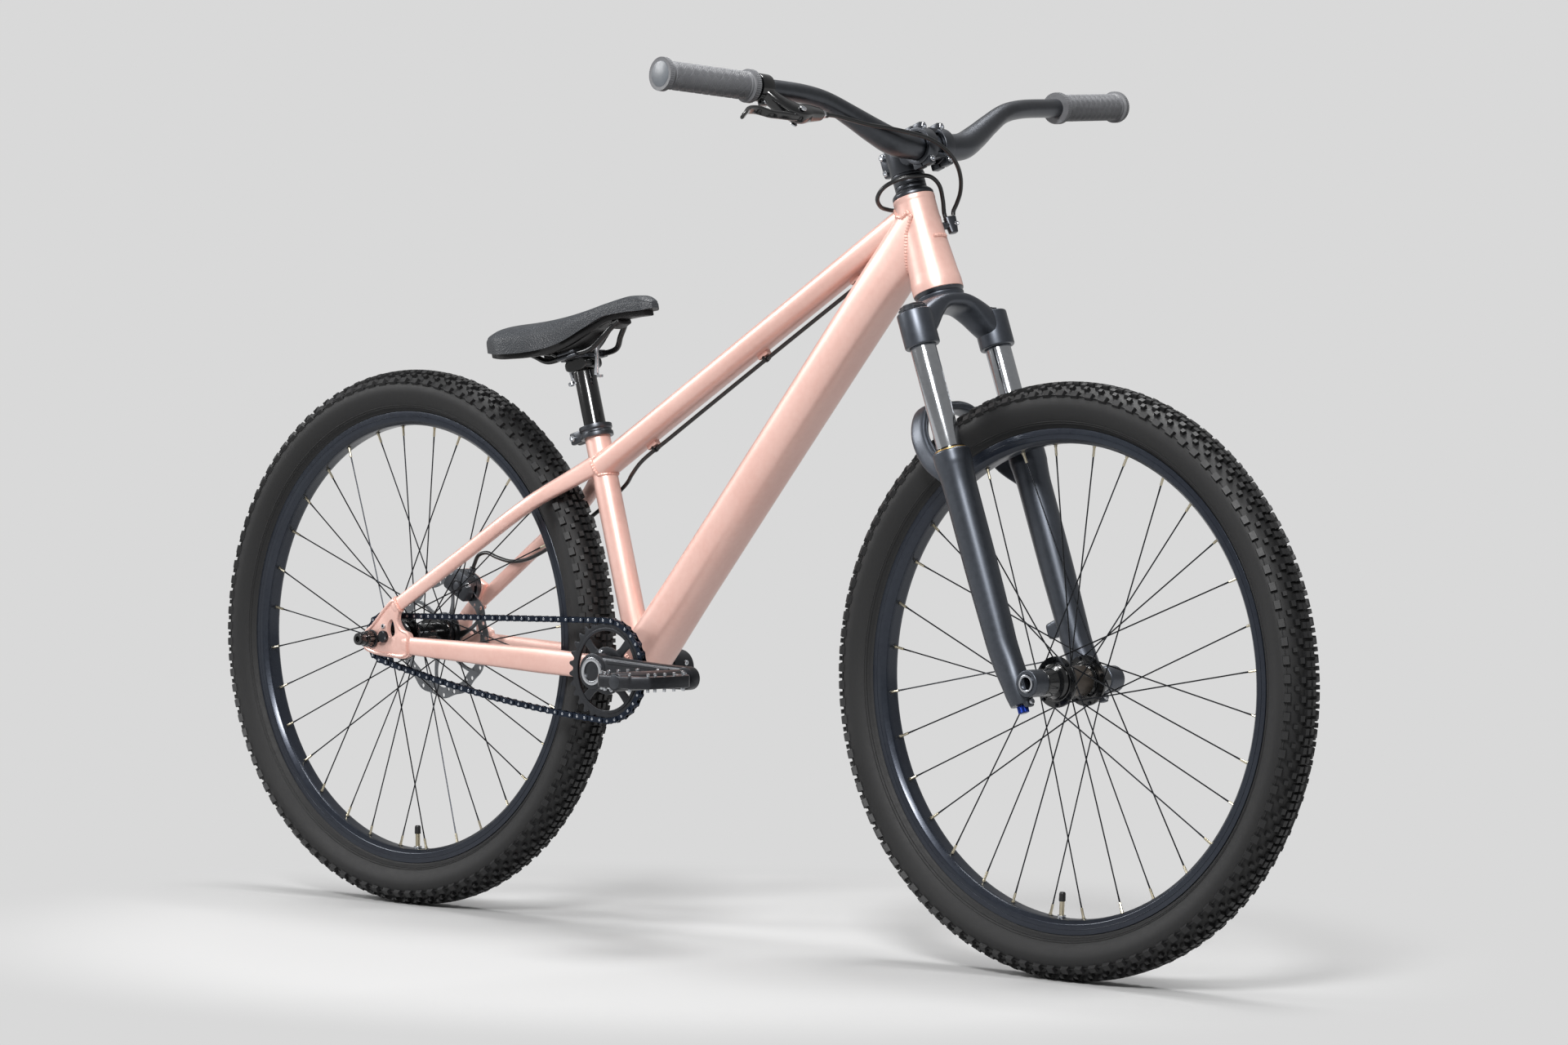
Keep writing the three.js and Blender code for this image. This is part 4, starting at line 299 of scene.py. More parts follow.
SHELL_GREY = Finish("grey_brown_shell", "satin_black", 0x5E564F, 0x4E4842, Grain.TURNED, 0.7, 0.36, 0.06, bump=0.15)
TYRE_RUBBER = Finish("tyre_rubber", "tyre_rubber", 0x131314, 0x0E0E0F, Grain.RUBBER, 0.0, 0.6, 0.1, bump=0.3,
                     wear=0.3, wear_colour=0x262524)
KNOB_RUBBER = Finish("tread_rubber", "tyre_rubber", 0x1B1B1C, 0x121213, Grain.RUBBER, 0.0, 0.52, 0.1, bump=0.25,
                     wear=0.4, wear_colour=0x333231)
GRIP_RUBBER = Finish("grip_rubber", "grip_rubber", 0x6A6B6E, 0x5A5B5E, Grain.RUBBER, 0.0, 0.5, 0.08, bump=0.25)
CAP_GREY = Finish("grip_cap_grey", "grip_rubber", 0x5C6167, 0x4E5359, Grain.PLASTIC, 0.0, 0.4, 0.06, 0.2, 0.2, 0.12)
SADDLE_VINYL = Finish("saddle_vinyl", "saddle_vinyl", 0x34373B, 0x2B2D31, Grain.VINYL, 0.0, 0.46, 0.08, bump=0.45)
SADDLE_PLASTIC = Finish("saddle_plastic", "saddle_plastic", 0x111112, 0x0C0C0D, Grain.PLASTIC, 0.0, 0.42, 0.08,
                        bump=0.2)
RAIL_BLACK = Finish("rail_black", "rail_black", 0x121315, 0x0C0D0E, Grain.PAINT, 0.3, 0.28, 0.05, 0.3, 0.15, 0.1)
HOSE_BLACK = Finish("hose_black", "hose_black", 0x0D0E10, 0x090A0B, Grain.PLASTIC, 0.0, 0.32, 0.05, 0.3, 0.2, 0.12)
TIE_BLACK = Finish("tie_black", "hose_black", 0x0F0F0F, 0x0A0A0A, Grain.PLASTIC, 0.0, 0.45, 0.06, bump=0.15)
PAD_LINING = Finish("pad_lining", "pad_lining", 0x46413C, 0x35312D, Grain.CAST, 0.1, 0.8, 0.08, bump=0.4)
KNOB_BLUE = Finish("blue_knob", "knob_blue", 0x1F3FA6, 0x18338C, Grain.TURNED, 0.8, 0.32, 0.05, bump=0.15)


# Curves and outlines, in millimetres


def curve_point(points: Sequence[Vector], share: float) -> Vector:
    """A point of a centripetal Catmull-Rom curve.

    Args:
        points: The points that it passes through.
        share: How far along, from 0 to 1, in equal steps from point to point.

    Returns:
        The point.
    """
    last = len(points) - 1
    spot = min(max(share, 0.0), 1.0) * last
    index = min(int(spot), last - 1)
    one, two = points[index], points[index + 1]
    before = points[index - 1] if index else one * 2 - two
    after = points[index + 2] if index + 2 <= last else two * 2 - one
    gap = [max((b - a).length, 1e-4) ** 0.5 for a, b in ((before, one), (one, two), (two, after))]
    lean_one = (one - before) / gap[0] - (two - before) / (gap[0] + gap[1]) + (two - one) / gap[1]
    lean_two = (two - one) / gap[1] - (after - one) / (gap[1] + gap[2]) + (after - two) / gap[2]
    lean_one, lean_two = lean_one * gap[1], lean_two * gap[1]
    t = spot - index
    square, cube = t * t, t * t * t
    return (one * (2 * cube - 3 * square + 1) + lean_one * (cube - 2 * square + t)
            + two * (3 * square - 2 * cube) + lean_two * (cube - square))


def softened(outline: Sequence[Point], radius: float, closed: bool = True, steps: int = 3) -> list[tuple]:
    """Rounds the corners of an outline.

    Args:
        outline: The corners.
        radius: How far along each side a corner is rounded.
        closed: Whether the outline closes on itself.
        steps: Steps round each corner.

    Returns:
        The rounded outline.
    """
    points = [Vector(p) for p in outline]
    done: list[tuple] = []
    for index, corner in enumerate(points):
        if not closed and index in (0, len(points) - 1):
            done.append(tuple(corner))
            continue
        before, after = points[index - 1], points[(index + 1) % len(points)]
        reach = min(radius, (before - corner).length * 0.45, (after - corner).length * 0.45)
        start = corner + (before - corner).normalized() * reach
        end = corner + (after - corner).normalized() * reach
        for step in range(steps + 1):
            t = step / steps
            done.append(tuple(start * (1 - t) ** 2 + corner * (2 * t * (1 - t)) + end * t ** 2))
    return done


def smooth_loop(outline: Sequence[Point], steps: int) -> list[tuple]:
    """A closed smooth line through an outline's points.

    Args:
        outline: The points.
        steps: Steps from each point to the next.

    Returns:
        The finer outline.
    """
    points = [Vector((*p, 0.0)) for p in outline]
    ring = points[-2:] + points + points[:3]
    last = len(ring) - 1
    shares = [(2 + index / steps) / last for index in range(len(points) * steps)]
    return [tuple(curve_point(ring, share))[:2] for share in shares]


def polar(radius: float, angle: float) -> tuple[float, float]:
    """The x and y of a place at a radius and an angle."""
    return math.cos(angle) * radius, math.sin(angle) * radius


def circle(radius: float, count: int, centre: Point = (0, 0)) -> list[tuple]:
    """The points of a circle as an outline."""
    around = [polar(radius, TURN * index / count) for index in range(count)]
    return [(centre[0] + x, centre[1] + y) for x, y in around]


def spaced(loop: Sequence[Vector], count_for: Callable[[float], int]) -> list[Vector]:
    """Evenly spaced points round a closed line.

    Args:
        loop: The line's own points.
        count_for: How many points a line of some length gets.

    Returns:
        The points, from the line's first one on.
    """
    closed = [*loop, loop[0]]
    lengths = [0.0]
    for one, two in zip(closed, closed[1:]):
        lengths.append(lengths[-1] + (two - one).length)
    count = count_for(lengths[-1])
    made = []
    for index in range(count):
        want = lengths[-1] * index / count
        spot = next(k for k in range(len(lengths) - 1) if lengths[k + 1] >= want)
        span = max(lengths[spot + 1] - lengths[spot], 1e-6)
        made.append(closed[spot].lerp(closed[spot + 1], (want - lengths[spot]) / span))
    return made


def lerp(one: float, two: float, share: float) -> float:
    """The value between two others."""
    return one + (two - one) * share


def about(axis: str, degrees: float) -> Matrix:
    """A turn about one of the axes."""
    return Matrix.Rotation(math.radians(degrees), 4, axis)


def move(x: float, y: float = 0.0, z: float = 0.0) -> Matrix:
    """A move."""
    return Matrix.Translation((x, y, z))


def towards(at: Point, along: Point) -> Matrix:
    """The place where local Z points along a direction."""
    return Matrix.Translation(at) @ Vector(along).to_track_quat("Z", "Y").to_matrix().to_4x4()


MIRROR = Matrix.Scale(-1, 4, (0, 1, 0))
BIKE = Matrix.Identity(4)
WELD = 0.001
SHARP = math.radians(40.0)


# Bodies made with mesh operators, in millimetres


def turned(outline: Sequence[Point], sides: int = 64, along_y: bool = False, angle: float = 360.0) -> Mesh:
    """Spins an outline of (radius, height) about Z, or of (radius, y) about Y.

    Args:
        outline: A closed outline, or one that starts and ends on the axis.
        sides: Steps round the axis.
        along_y: Whether it is spun about Y.
        angle: How far it is spun.

    Returns:
        The spun body.
    """
    bm = bmesh.new()
    verts = [bm.verts.new((r, h, 0.0) if along_y else (r, 0.0, h)) for r, h in outline]
    pairs = list(zip(verts, verts[1:]))
    if outline[0][0] > 1e-6:
        pairs.append((verts[-1], verts[0]))
    edges = [bm.edges.new(pair) for pair in pairs]
    axis = (0, 1, 0) if along_y else (0, 0, 1)
    whole = angle >= 360.0
    bmesh.ops.spin(bm, geom=verts + edges, cent=(0, 0, 0), axis=axis, angle=math.radians(angle), steps=sides,
                   use_merge=whole, use_duplicate=False)
    if not whole:
        bmesh.ops.holes_fill(bm, edges=[e for e in bm.edges if e.is_boundary], sides=0)
    return cleaned(bm)


def cleaned(bm: Mesh) -> Mesh:
    """Merges doubles and turns the faces outwards."""
    bmesh.ops.remove_doubles(bm, verts=bm.verts, dist=WELD)
    bmesh.ops.recalc_face_normals(bm, faces=bm.faces)
    return bm


def ring_of(inner: float, outer: float, low: float, high: float, soft: float = 0.6, sides: int = 64,
            along_y: bool = False) -> Mesh:
    """A ring with softened edges."""
    outline = softened([(inner, low), (outer, low), (outer, high), (inner, high)], soft, steps=2)
    return turned(outline, sides, along_y)


def disc_of(radius: float, low: float, high: float, soft: float = 0.6, sides: int = 48, along_y: bool = False) -> Mesh:
    """A solid round bar with softened edges."""
    outline = softened([(0, low), (radius, low), (radius, high), (0, high)], soft, closed=False, steps=2)
    return turned(outline, sides, along_y)


def skinned(rings: Sequence[Sequence[Vector]], capped: bool = True) -> Mesh:
    """A skin over rings of equally many points, from a grid that closes round them.

    Args:
        rings: The rings.
        capped: Whether the two ends are closed.

    Returns:
        The skin.
    """
    bm = bmesh.new()
    columns = len(rings[0])
    made = bmesh.ops.create_grid(bm, x_segments=columns, y_segments=len(rings) - 1, size=1.0)
    for index, vert in enumerate(made["verts"]):
        row, column = divmod(index, columns + 1)
        vert.co = rings[row][column % columns]
    bmesh.ops.remove_doubles(bm, verts=bm.verts, dist=0.0005)
    if capped:
        bmesh.ops.holes_fill(bm, edges=[e for e in bm.edges if e.is_boundary], sides=0)
    bmesh.ops.recalc_face_normals(bm, faces=bm.faces)
    return bm


def oval_ring(at: Vector, along: Vector, side: Vector, width: float, height: float, power: float,
              sides: int) -> list[Vector]:
    """A squared-off oval across a direction.

    Args:
        at: Its middle.
        along: The direction that it stands across.
        side: The direction of its width.
        width: Its width.
        height: Its height.
        power: 2 for an ellipse, and more for a squarer one.
        sides: How many points it has.

    Returns:
        The points.
    """
    across = (side - along * side.dot(along)).normalized()
    up = along.cross(across)
    points = []
    for index in range(sides):
        angle = (index + 0.5) / sides * TURN
        c, s = math.cos(angle), math.sin(angle)
        x = math.copysign(abs(c) ** (2 / power), c) * width / 2
        y = math.copysign(abs(s) ** (2 / power), s) * height / 2
        points.append(at + across * x + up * y)
    return points


def bar_rings(stations: Sequence[Point], side: Point = (0, 1, 0), sides: int = 40, steps: int = 6,
              power: float = 2.0) -> list[list[Vector]]:
    """The rings of a bar along a smooth path.

    Args:
        stations: Rows of x, y, z, width and height.
        side: The direction of the width.
        sides: Points round the bar.
        steps: Rings from one station to the next.
        power: How squared-off its section is.

    Returns:
        The rings.
    """
    path = [Vector(row[:3]) for row in stations]
    sizes = [Vector((row[3], row[4], 0.0)) for row in stations]
    count = (len(stations) - 1) * steps
    rings = []
    for index in range(count + 1):
        share = index / count
        ahead = curve_point(path, min(share + 0.002, 1.0)) - curve_point(path, max(share - 0.002, 0.0))
        size = curve_point(sizes, share)
        middle = curve_point(path, share)
        rings.append(oval_ring(middle, ahead.normalized(), Vector(side), size.x, size.y, power, sides))
    return rings


def rounded_ends(rings: list[list[Vector]], soft: float) -> list[list[Vector]]:
    """Rings with smaller ones added at both ends, so that the ends are rounded."""

    def end(ring: list[Vector], inner: list[Vector]) -> list[list[Vector]]:
        """The rings that round one end, from the tip inwards."""
        middle = sum(ring, Vector()) / len(ring)
        out = (middle - sum(inner, Vector()) / len(inner)).normalized()
        reach = max((p - middle).length for p in ring)
        made = []
        for angle in (80, 55, 28, 0):
            shrink = 1 - soft / reach * (1 - math.cos(math.radians(angle)))
            lift = soft * math.sin(math.radians(angle)) - soft
            made.append([middle + (p - middle) * shrink + out * lift for p in ring])
        return made

    first, last = end(rings[0], rings[1]), end(rings[-1], rings[-2])
    return [*first, *rings[1:-1], *reversed(last)]


def bar(stations: Sequence[Point], side: Point = (0, 1, 0), sides: int = 40, steps: int = 6, power: float = 2.0,
        soft: float = 0.0) -> Mesh:
    """A bar along a smooth path, with its ends rounded if soft is given."""
    rings = bar_rings(stations, side, sides, steps, power)
    return skinned(rounded_ends(rings, soft) if soft else rings)


def swept(route: Sequence[Vector], radius: Union[float, Callable[[float], float]], sides: int = 12,
          closed: bool = False) -> Mesh:
    """A round wire along a line, whose section keeps from twisting.

    Args:
        route: The line's points.
        radius: The wire's radius, or a function of the share along it.
        sides: Points round it.
        closed: Whether the line closes on itself.

    Returns:
        The wire.
    """
    count = len(route)
    rings: list[list[Vector]] = []
    across = Vector((0, 0, 1))
    for index, point in enumerate(route):
        before = route[index - 1] if index or closed else point
        after = route[(index + 1) % count] if index < count - 1 or closed else point
        along = (after - before).normalized()
        across = (across - along * across.dot(along)).normalized()
        if across.length < 0.5:
            across = along.orthogonal().normalized()
        other = along.cross(across)
        size = radius(index / (count - 1)) if callable(radius) else radius
        rings.append([point + (across * x + other * y) * size for x, y in circle(1.0, sides)])
    if closed:
        rings.append(best_turn(rings[0], rings[-1]))
    return skinned(rings, capped=not closed)


def best_turn(ring: list[Vector], near: list[Vector]) -> list[Vector]:
    """A ring whose points start where another ring's do."""
    sides = len(ring)
    turns = range(sides)
    away = lambda k: sum((ring[(i + k) % sides] - near[i]).length_squared for i in turns)
    best = min(turns, key=away)
    return [ring[(i + best) % sides] for i in turns]


def plate(outline: Sequence[Point], low: float, high: float, holes: Sequence[Sequence[Point]] = (),
          soft: float = 0.4) -> Mesh:
    """A flat outline of (x, z) points with holes, as a plate between two Y values.

    Args:
        outline: The outside.
        low: The lower Y.
        high: The higher Y.
        holes: The outlines of its holes.
        soft: The width of the bevel on its edges.

    Returns:
        The plate.
    """
    bm = bmesh.new()
    for loop in (outline, *holes):
        verts = [bm.verts.new((x, low, z)) for x, z in loop]
        for one, two in zip(verts, verts[1:] + verts[:1]):
            bm.edges.new((one, two))
    bmesh.ops.triangle_fill(bm, use_beauty=True, use_dissolve=False, edges=bm.edges[:])
    made = bmesh.ops.extrude_face_region(bm, geom=bm.faces[:])
    raised = [item for item in made["geom"] if isinstance(item, bmesh.types.BMVert)]
    bmesh.ops.translate(bm, vec=(0, high - low, 0), verts=raised)
    cleaned(bm)
    return bevelled(bm, soft) if soft else bm


def bevelled(bm: Mesh, width: float) -> Mesh:
    """Bevels the edges where faces meet sharply."""
    edges = [e for e in bm.edges if len(e.link_faces) == 2 and e.calc_face_angle(0.0) > SHARP]
    bmesh.ops.bevel(bm, geom=edges, offset=width, offset_type="OFFSET", segments=2, profile=0.5,
                    affect="EDGES", clamp_overlap=True, material=-1)
    return bm


def block(low: Point, high: Point, soft: float = 0.8) -> Mesh:
    """A box from its lowest to its highest corner, with bevelled edges."""
    bm = bmesh.new()
    size = [b - a for a, b in zip(low, high)]
    centre = [(a + b) / 2 for a, b in zip(low, high)]
    matrix = Matrix.Translation(centre) @ Matrix.Diagonal((*size, 1.0))
    bmesh.ops.create_cube(bm, size=1.0, matrix=matrix)
    return bevelled(bm, soft)


def bolt(radius: float, height: float, socket: float = 0.52, depth: float = 0.6) -> Mesh:
    """A bolt head along Z with a hexagonal socket.

    Args:
        radius: Its radius.
        height: Its height above 0.
        socket: The socket's radius as a share of the head's.
        depth: The socket's depth as a share of the head's height.

    Returns:
        The head.
    """
    bm = bmesh.new()
    rims = []
    for size, count, z in ((radius, 24, 0.0), (radius, 24, height * 0.82), (radius * 0.9, 24, height),
                           (radius * socket, 6, height)):
        made = bmesh.ops.create_circle(bm, segments=count, radius=size, matrix=Matrix.Translation((0, 0, z)))
        rims.append(list({e for v in made["verts"] for e in v.link_edges}))
    for one, two in zip(rims, rims[1:]):
        bmesh.ops.bridge_loops(bm, edges=one + two)
    made = bmesh.ops.extrude_edge_only(bm, edges=rims[-1])
    sunk = [item for item in made["geom"] if isinstance(item, bmesh.types.BMVert)]
    bmesh.ops.translate(bm, vec=(0, 0, -height * depth), verts=sunk)
    bmesh.ops.holes_fill(bm, edges=[e for e in bm.edges if e.is_boundary], sides=0)
    return cleaned(bm)


def hex_bar(radius: float, low: float, high: float, soft: float = 0.4) -> Mesh:
    """A hexagonal bar along Z."""
    bm = bmesh.new()
    bmesh.ops.create_cone(bm, cap_ends=True, segments=6, radius1=radius, radius2=radius, depth=high - low,
                          matrix=Matrix.Translation((0, 0, (low + high) / 2)))
    return bevelled(bm, soft)


def merge(into: Mesh, body: Mesh, at: Matrix) -> None:
    """Moves a body into another one, and frees it.

    Args:
        into: The body that it is added to.
        body: The body that is used up.
        at: Its place.
    """
    body.transform(at)
    mesh = bpy.data.meshes.new("part")
    body.to_mesh(mesh)
    body.free()
    into.from_mesh(mesh)
    bpy.data.meshes.remove(mesh)


# Pieces


class Piece:
    """One object of the scene, put together from bodies and written in metres."""

    def __init__(self, name: str, place: Matrix) -> None:
        """Starts an empty piece.

        Args:
            name: The object's name.
            place: The frame that its bodies are worked out in, in millimetres.
        """
        self.name = name
        self.place = Matrix.Scale(MM, 4) @ place
        self.bm = bmesh.new()
        self.finishes: list[Finish] = []

    def take(self, body: Mesh, finish: Finish, at: Matrix = BIKE) -> "Piece":
        """Adds a body.

        Args:
            body: The body, which is used up.
            finish: Its finish.
            at: Its place in the piece's own frame.

        Returns:
            The piece, so that calls can follow each other.
        """
        if finish not in self.finishes:
            self.finishes.append(finish)
        slot = self.finishes.index(finish)
        matrix = self.place @ at
        if matrix.determinant() < 0:
            bmesh.ops.reverse_faces(body, faces=body.faces)
        for face in body.faces:
            face.material_index = slot
        merge(self.bm, body, matrix)
        return self

    def done(self, body: str, nodes: Sequence[str] = (), crease: float = 32.0,
             bend: Optional[tuple] = None) -> bpy.types.Object:
        """Makes the object.

        Args:
            body: The body that it rides on.
            nodes: The nodes that it stands for.
            crease: The angle in degrees past which an edge stays sharp.
            bend: For a piece that spans a joint, the other body and where in metres it starts and ends; if given, the
                piece is left unattached with its place baked into its mesh, and these values are not read.

        Returns:
            The object.
        """
        limit = math.radians(crease)
        for face in self.bm.faces:
            face.smooth = True
        for edge in self.bm.edges:
            edge.smooth = len(edge.link_faces) == 2 and edge.calc_face_angle(0.0) < limit
        mesh = bpy.data.meshes.new(self.name)
        self.bm.to_mesh(mesh)
        self.bm.free()
        for finish in self.finishes:
            mesh.materials.append(finish.make())
        made = bpy.data.objects.new(self.name, mesh)
        bpy.context.scene.collection.objects.link(made)
        if bend:
            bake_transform(made)
        else:
            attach(made, body)
        if nodes:
            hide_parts(*nodes)
        LOG.info("%s: %d faces on %s", self.name, len(mesh.polygons), body)
        return made


# Where the sub-assemblies stand


@dataclass(frozen=True)
class Layout:
    """The bicycle's driving sizes in millimetres, and the frames of its sub-assemblies."""

    wheel_base: float = 1070.0
    tyre_radius: float = 338.0
    head_angle: float = 69.5
    fork_offset: float = 40.0
    fork_length: float = 470.0
    chain_stay: float = 392.3
    bracket_drop: float = 21.0
    seat_angle: float = 73.3
    seat_tube_forward: float = 9.0
    post_top: float = 376.0
    saddle_tilt: float = -13.0
    lever_tilt: float = 60.0
    lever_forward: float = 52.0
    lever_out: float = 225.0
    lever_up: float = 198.0
    caliper_lean: float = 27.3

    @property
    def rear(self) -> Matrix:
        """The rear axle."""
        return move(-self.wheel_base / 2, 0, self.tyre_radius)

    @property
    def front(self) -> Matrix:
        """The front axle."""
        return move(self.wheel_base / 2, 0, self.tyre_radius)

    @property
    def head(self) -> Matrix:
        """The crown race, with Z up the steering axis."""
        tilt = about("Y", self.head_angle - 90)
        return self.front @ tilt @ move(-self.fork_offset, 0, self.fork_length)

    @property
    def bracket(self) -> Matrix:
        """The bottom bracket."""
        reach = math.sqrt(self.chain_stay ** 2 - self.bracket_drop ** 2)
        return move(-self.wheel_base / 2 + reach, 0, self.tyre_radius - self.bracket_drop)

    @property
    def seat(self) -> Matrix:
        """The foot of the seat tube, with Z up the tube."""
        return self.bracket @ move(self.seat_tube_forward) @ about("Y", self.seat_angle - 90)

    @property
    def saddle(self) -> Matrix:
        """The top of the seatpost, with X along the saddle."""
        top = self.seat @ Vector((0, 0, self.post_top))
        return Matrix.Translation(top) @ about("Y", self.saddle_tilt)

    @property
    def lever(self) -> Matrix:
        """The brake lever's pivot, with Z along it and X away from the bar."""
        return self.head @ move(self.lever_forward, -self.lever_out, self.lever_up) @ about("Y", self.lever_tilt)


LAYOUT = Layout()


# Wheels


@dataclass
class Wheel:
    """A tyre, rim, hub, spokes and valve about one axle."""

    name: str
    place: Matrix
    flange_right: float
    flange_left: float
    valve_lean: float
    flange_bore: float
    rim_inside: float = 268.0
    nipple_out: float = 2.5
    crossings: int = 3
    rim_half_width: float = 14.5
    spokes_per_side: int = 16
    spoke_diameter: float = 2.0
    flange_radius: float = 29.0
    flange_thickness: float = 4.0
    sides: int = 144
    casing: tuple = ((284.0, 12.4), (287.5, 14.6), (290.5, 18.2), (297.5, 23.4), (305.0, 26.8), (312.0, 28.2),
                     (319.0, 27.0), (324.7, 22.8), (329.2, 17.0), (332.2, 10.0), (333.1, 3.0))
    tread_steps: int = 100
    block_lift: float = 6.4
    block_foot: float = 1.06
    block_top: float = 0.86
    block_rows: tuple = ((24.4, 8.0, 10.5, 0.0), (17.2, 5.2, 5.6, 0.5), (11.2, 6.2, 7.6, 0.08),
                         (3.9, 6.2, 8.2, 0.27), (3.9, 6.2, 8.2, 0.76))

    def build(self) -> None:
        """Builds the wheel's pieces, but not its hub."""
        body = f"{self.name}_wheel"
        self._tyre().done(body, [f"{self.name}_tyre"], crease=40)
        self._rim().done(body, [f"{self.name}_rim"])
        self._valve().done(body)
        for side, flange, share in (("right", self.flange_right, 0.25), ("left", self.flange_left, 0.75)):
            self._spokes(side, flange, share).done(body, [f"{self.name}_spokes_{side}"])

    def _tyre(self) -> Piece:
        """The casing and its tread of small blocks."""
        smooth = [Vector((r, y, 0)) for r, y in self.casing]
        outside = [curve_point(smooth, i / 30) for i in range(31)]
        profile = [(p.x, -p.y) for p in outside] + [(p.x, p.y) for p in reversed(outside)]
        profile += [(279.0, 8.0), (279.0, -8.0)]
        piece = Piece(f"{self.name}_tyre_carcass", self.place)
        piece.take(turned(profile, self.sides, along_y=True), TYRE_RUBBER)
        for side in (-1, 1):
            for radius, y in ((291.2, 18.9), (293.4, 20.7), (322.6, 25.6)):
                rib = circle(0.7, 6, (radius, side * y))
                piece.take(turned(rib, self.sides, along_y=True), TYRE_RUBBER)
        return piece.take(self._tread(), KNOB_RUBBER)

    def _tread(self) -> Mesh:
        """The rows of tread blocks, all in one mesh."""
        bm = bmesh.new()
        lift = move(self.block_lift / 4)
        for step in range(self.tread_steps):
            for out, width, length, share in self.block_rows:
                turn = Matrix.Rotation(TURN * (step + share) / self.tread_steps, 4, "Y")
                size = Matrix.Diagonal((self.block_lift, width, length, 1.0))
                for y in (-out, out):
                    radius, lean = self._casing_at(y)
                    made = bmesh.ops.create_cube(bm, size=1.0)["verts"]
                    for vert in made:
                        taper = self.block_top if vert.co.x > 0 else self.block_foot
                        vert.co = (vert.co.x, vert.co.y * taper, vert.co.z * taper)
                    place = turn @ move(radius, y) @ about("Z", math.degrees(lean)) @ lift @ size
                    bmesh.ops.transform(bm, matrix=place, verts=made)
        bmesh.ops.recalc_face_normals(bm, faces=bm.faces)
        return bm

    def _casing_at(self, y: float) -> tuple[float, float]:
        """The casing's radius at a distance from its middle, and the lean of its surface there."""
        profile = sorted((abs(b), a) for a, b in self.casing if a > 311)
        for (y0, r0), (y1, r1) in zip(profile, profile[1:]):
            if y0 <= abs(y) <= y1:
                radius = lerp(r0, r1, (abs(y) - y0) / (y1 - y0))
                return radius, math.copysign(math.atan2(r0 - r1, y1 - y0), y)
        return profile[0][1], 0.0

    def _rim(self) -> Piece:
        """The rim: two flanges, sloping walls and a spine, with the eyelets of its spokes."""
        half = self.rim_half_width
        outline = [(285.5, -half), (273.4, -half), (268.6, -9.4), (268.0, -6.0), (268.0, 6.0), (268.6, 9.4),
                   (273.4, half), (285.5, half), (285.5, half - 1.9), (276.0, half - 1.9), (274.5, 8.0),
                   (274.5, -8.0), (276.0, -half + 1.9), (285.5, -half + 1.9)]
        piece = Piece(f"{self.name}_rim_hoop", self.place)
        piece.take(turned(softened(outline, 0.9, steps=3), self.sides, along_y=True), RIM_PAINT)
        for side in (-1, 1):
            groove = circle(0.45, 6, (279.2, side * half))
            piece.take(turned(groove, self.sides, along_y=True), RIM_PAINT)
        for share, y in ((0.25, -self.nipple_out), (0.75, self.nipple_out)):
            for index in range(self.spokes_per_side):
                at = about("Y", -(index + share) * 360 / self.spokes_per_side) @ move(268.2, y) @ about("Y", -90)
                piece.take(ring_of(2.4, 3.6, -0.5, 0.7, 0.25, 16), RIM_PAINT, at)
        return piece

    def _spokes(self, side: str, flange: float, share: float) -> Piece:
        """One side's flange, with its spokes, elbows and nipples."""
        piece = Piece(f"{self.name}_spoke_set_{side}", self.place)
        half, inner, outer = self.flange_thickness / 2, self.flange_bore, self.flange_radius
        edge = [(inner, half), (outer - 8, half), (outer - 6.5, half - 0.4), (outer, half - 0.4)]
        ring = [(radius, flange - up) for radius, up in edge] + [(radius, flange + up) for radius, up in reversed(edge)]
        piece.take(turned(softened(ring, 0.5), 64, along_y=True), GLOSS_BLACK)
        step = TURN / self.spokes_per_side
        out = math.copysign(self.nipple_out, flange)
        for index in range(self.spokes_per_side):
            lean = 1 if index % 2 else -1
            at_rim = (index + share) * step
            x, z = polar(outer - 3, at_rim + lean * self.crossings * step)
            hub = Vector((x, flange + lean * 1.05, z))
            x, z = polar(self.rim_inside - 1.0, at_rim)
            self._spoke(piece, hub, Vector((x, out, z)), lean)
        return piece

    def _spoke(self, piece: Piece, hub: Vector, rim: Vector, lean: int) -> None:
        """One spoke from its head in the flange to its nipple at the rim."""
        radius = self.spoke_diameter / 2
        through = hub + Vector((0, -lean * 3.0, 0))
        bend = hub + (rim - hub).normalized() * 2.4
        route = [through, hub + Vector((0, -lean * 0.7, 0)), bend, hub.lerp(rim, 0.12), hub.lerp(rim, 0.9), rim]
        line = [curve_point(route, i / 20) for i in range(21)]
        waist = lambda share: radius * (0.84 if 0.2 < share < 0.85 else 1.0)
        piece.take(swept(line, waist, 8), SPOKE_BLACK)
        piece.take(disc_of(2.1, 0, 1.1, 0.4, 12), SPOKE_BLACK, towards(through, (0, -lean, 0)))
        along = (rim - hub).normalized()
        outline = [(0, 0), (1.35, 0), (1.5, 0.6), (1.5, 9.5), (2.0, 11.0), (2.0, 13.4), (0, 13.4)]
        piece.take(turned(outline, 10), NIPPLE_BRASS, towards(rim - along * 12.0, along))

    def _valve(self) -> Piece:
        """The valve's brass stem, its nut and its black cap."""
        at = about("Y", 90 + self.valve_lean) @ move(268) @ about("Y", -90)
        stem = [(0, 0), (3.3, 0), (3.3, 1.6), (2.9, 1.8), (2.9, 19.0), (2.4, 19.6), (0, 19.6)]
        cap = [(0, 18.6), (3.6, 18.6), (3.9, 19.4), (3.7, 27.5), (3.0, 29.2), (0, 29.4)]
        piece = Piece(f"{self.name}_valve", self.place)
        piece.take(turned(stem, 24), NIPPLE_BRASS, at)
        piece.take(ring_of(3.0, 5.2, 0.0, 3.0, 0.5, 24), BOLT_SILVER, at)
        piece.take(turned(softened(cap, 0.5, closed=False), 24), TIE_BLACK, at)
        return piece


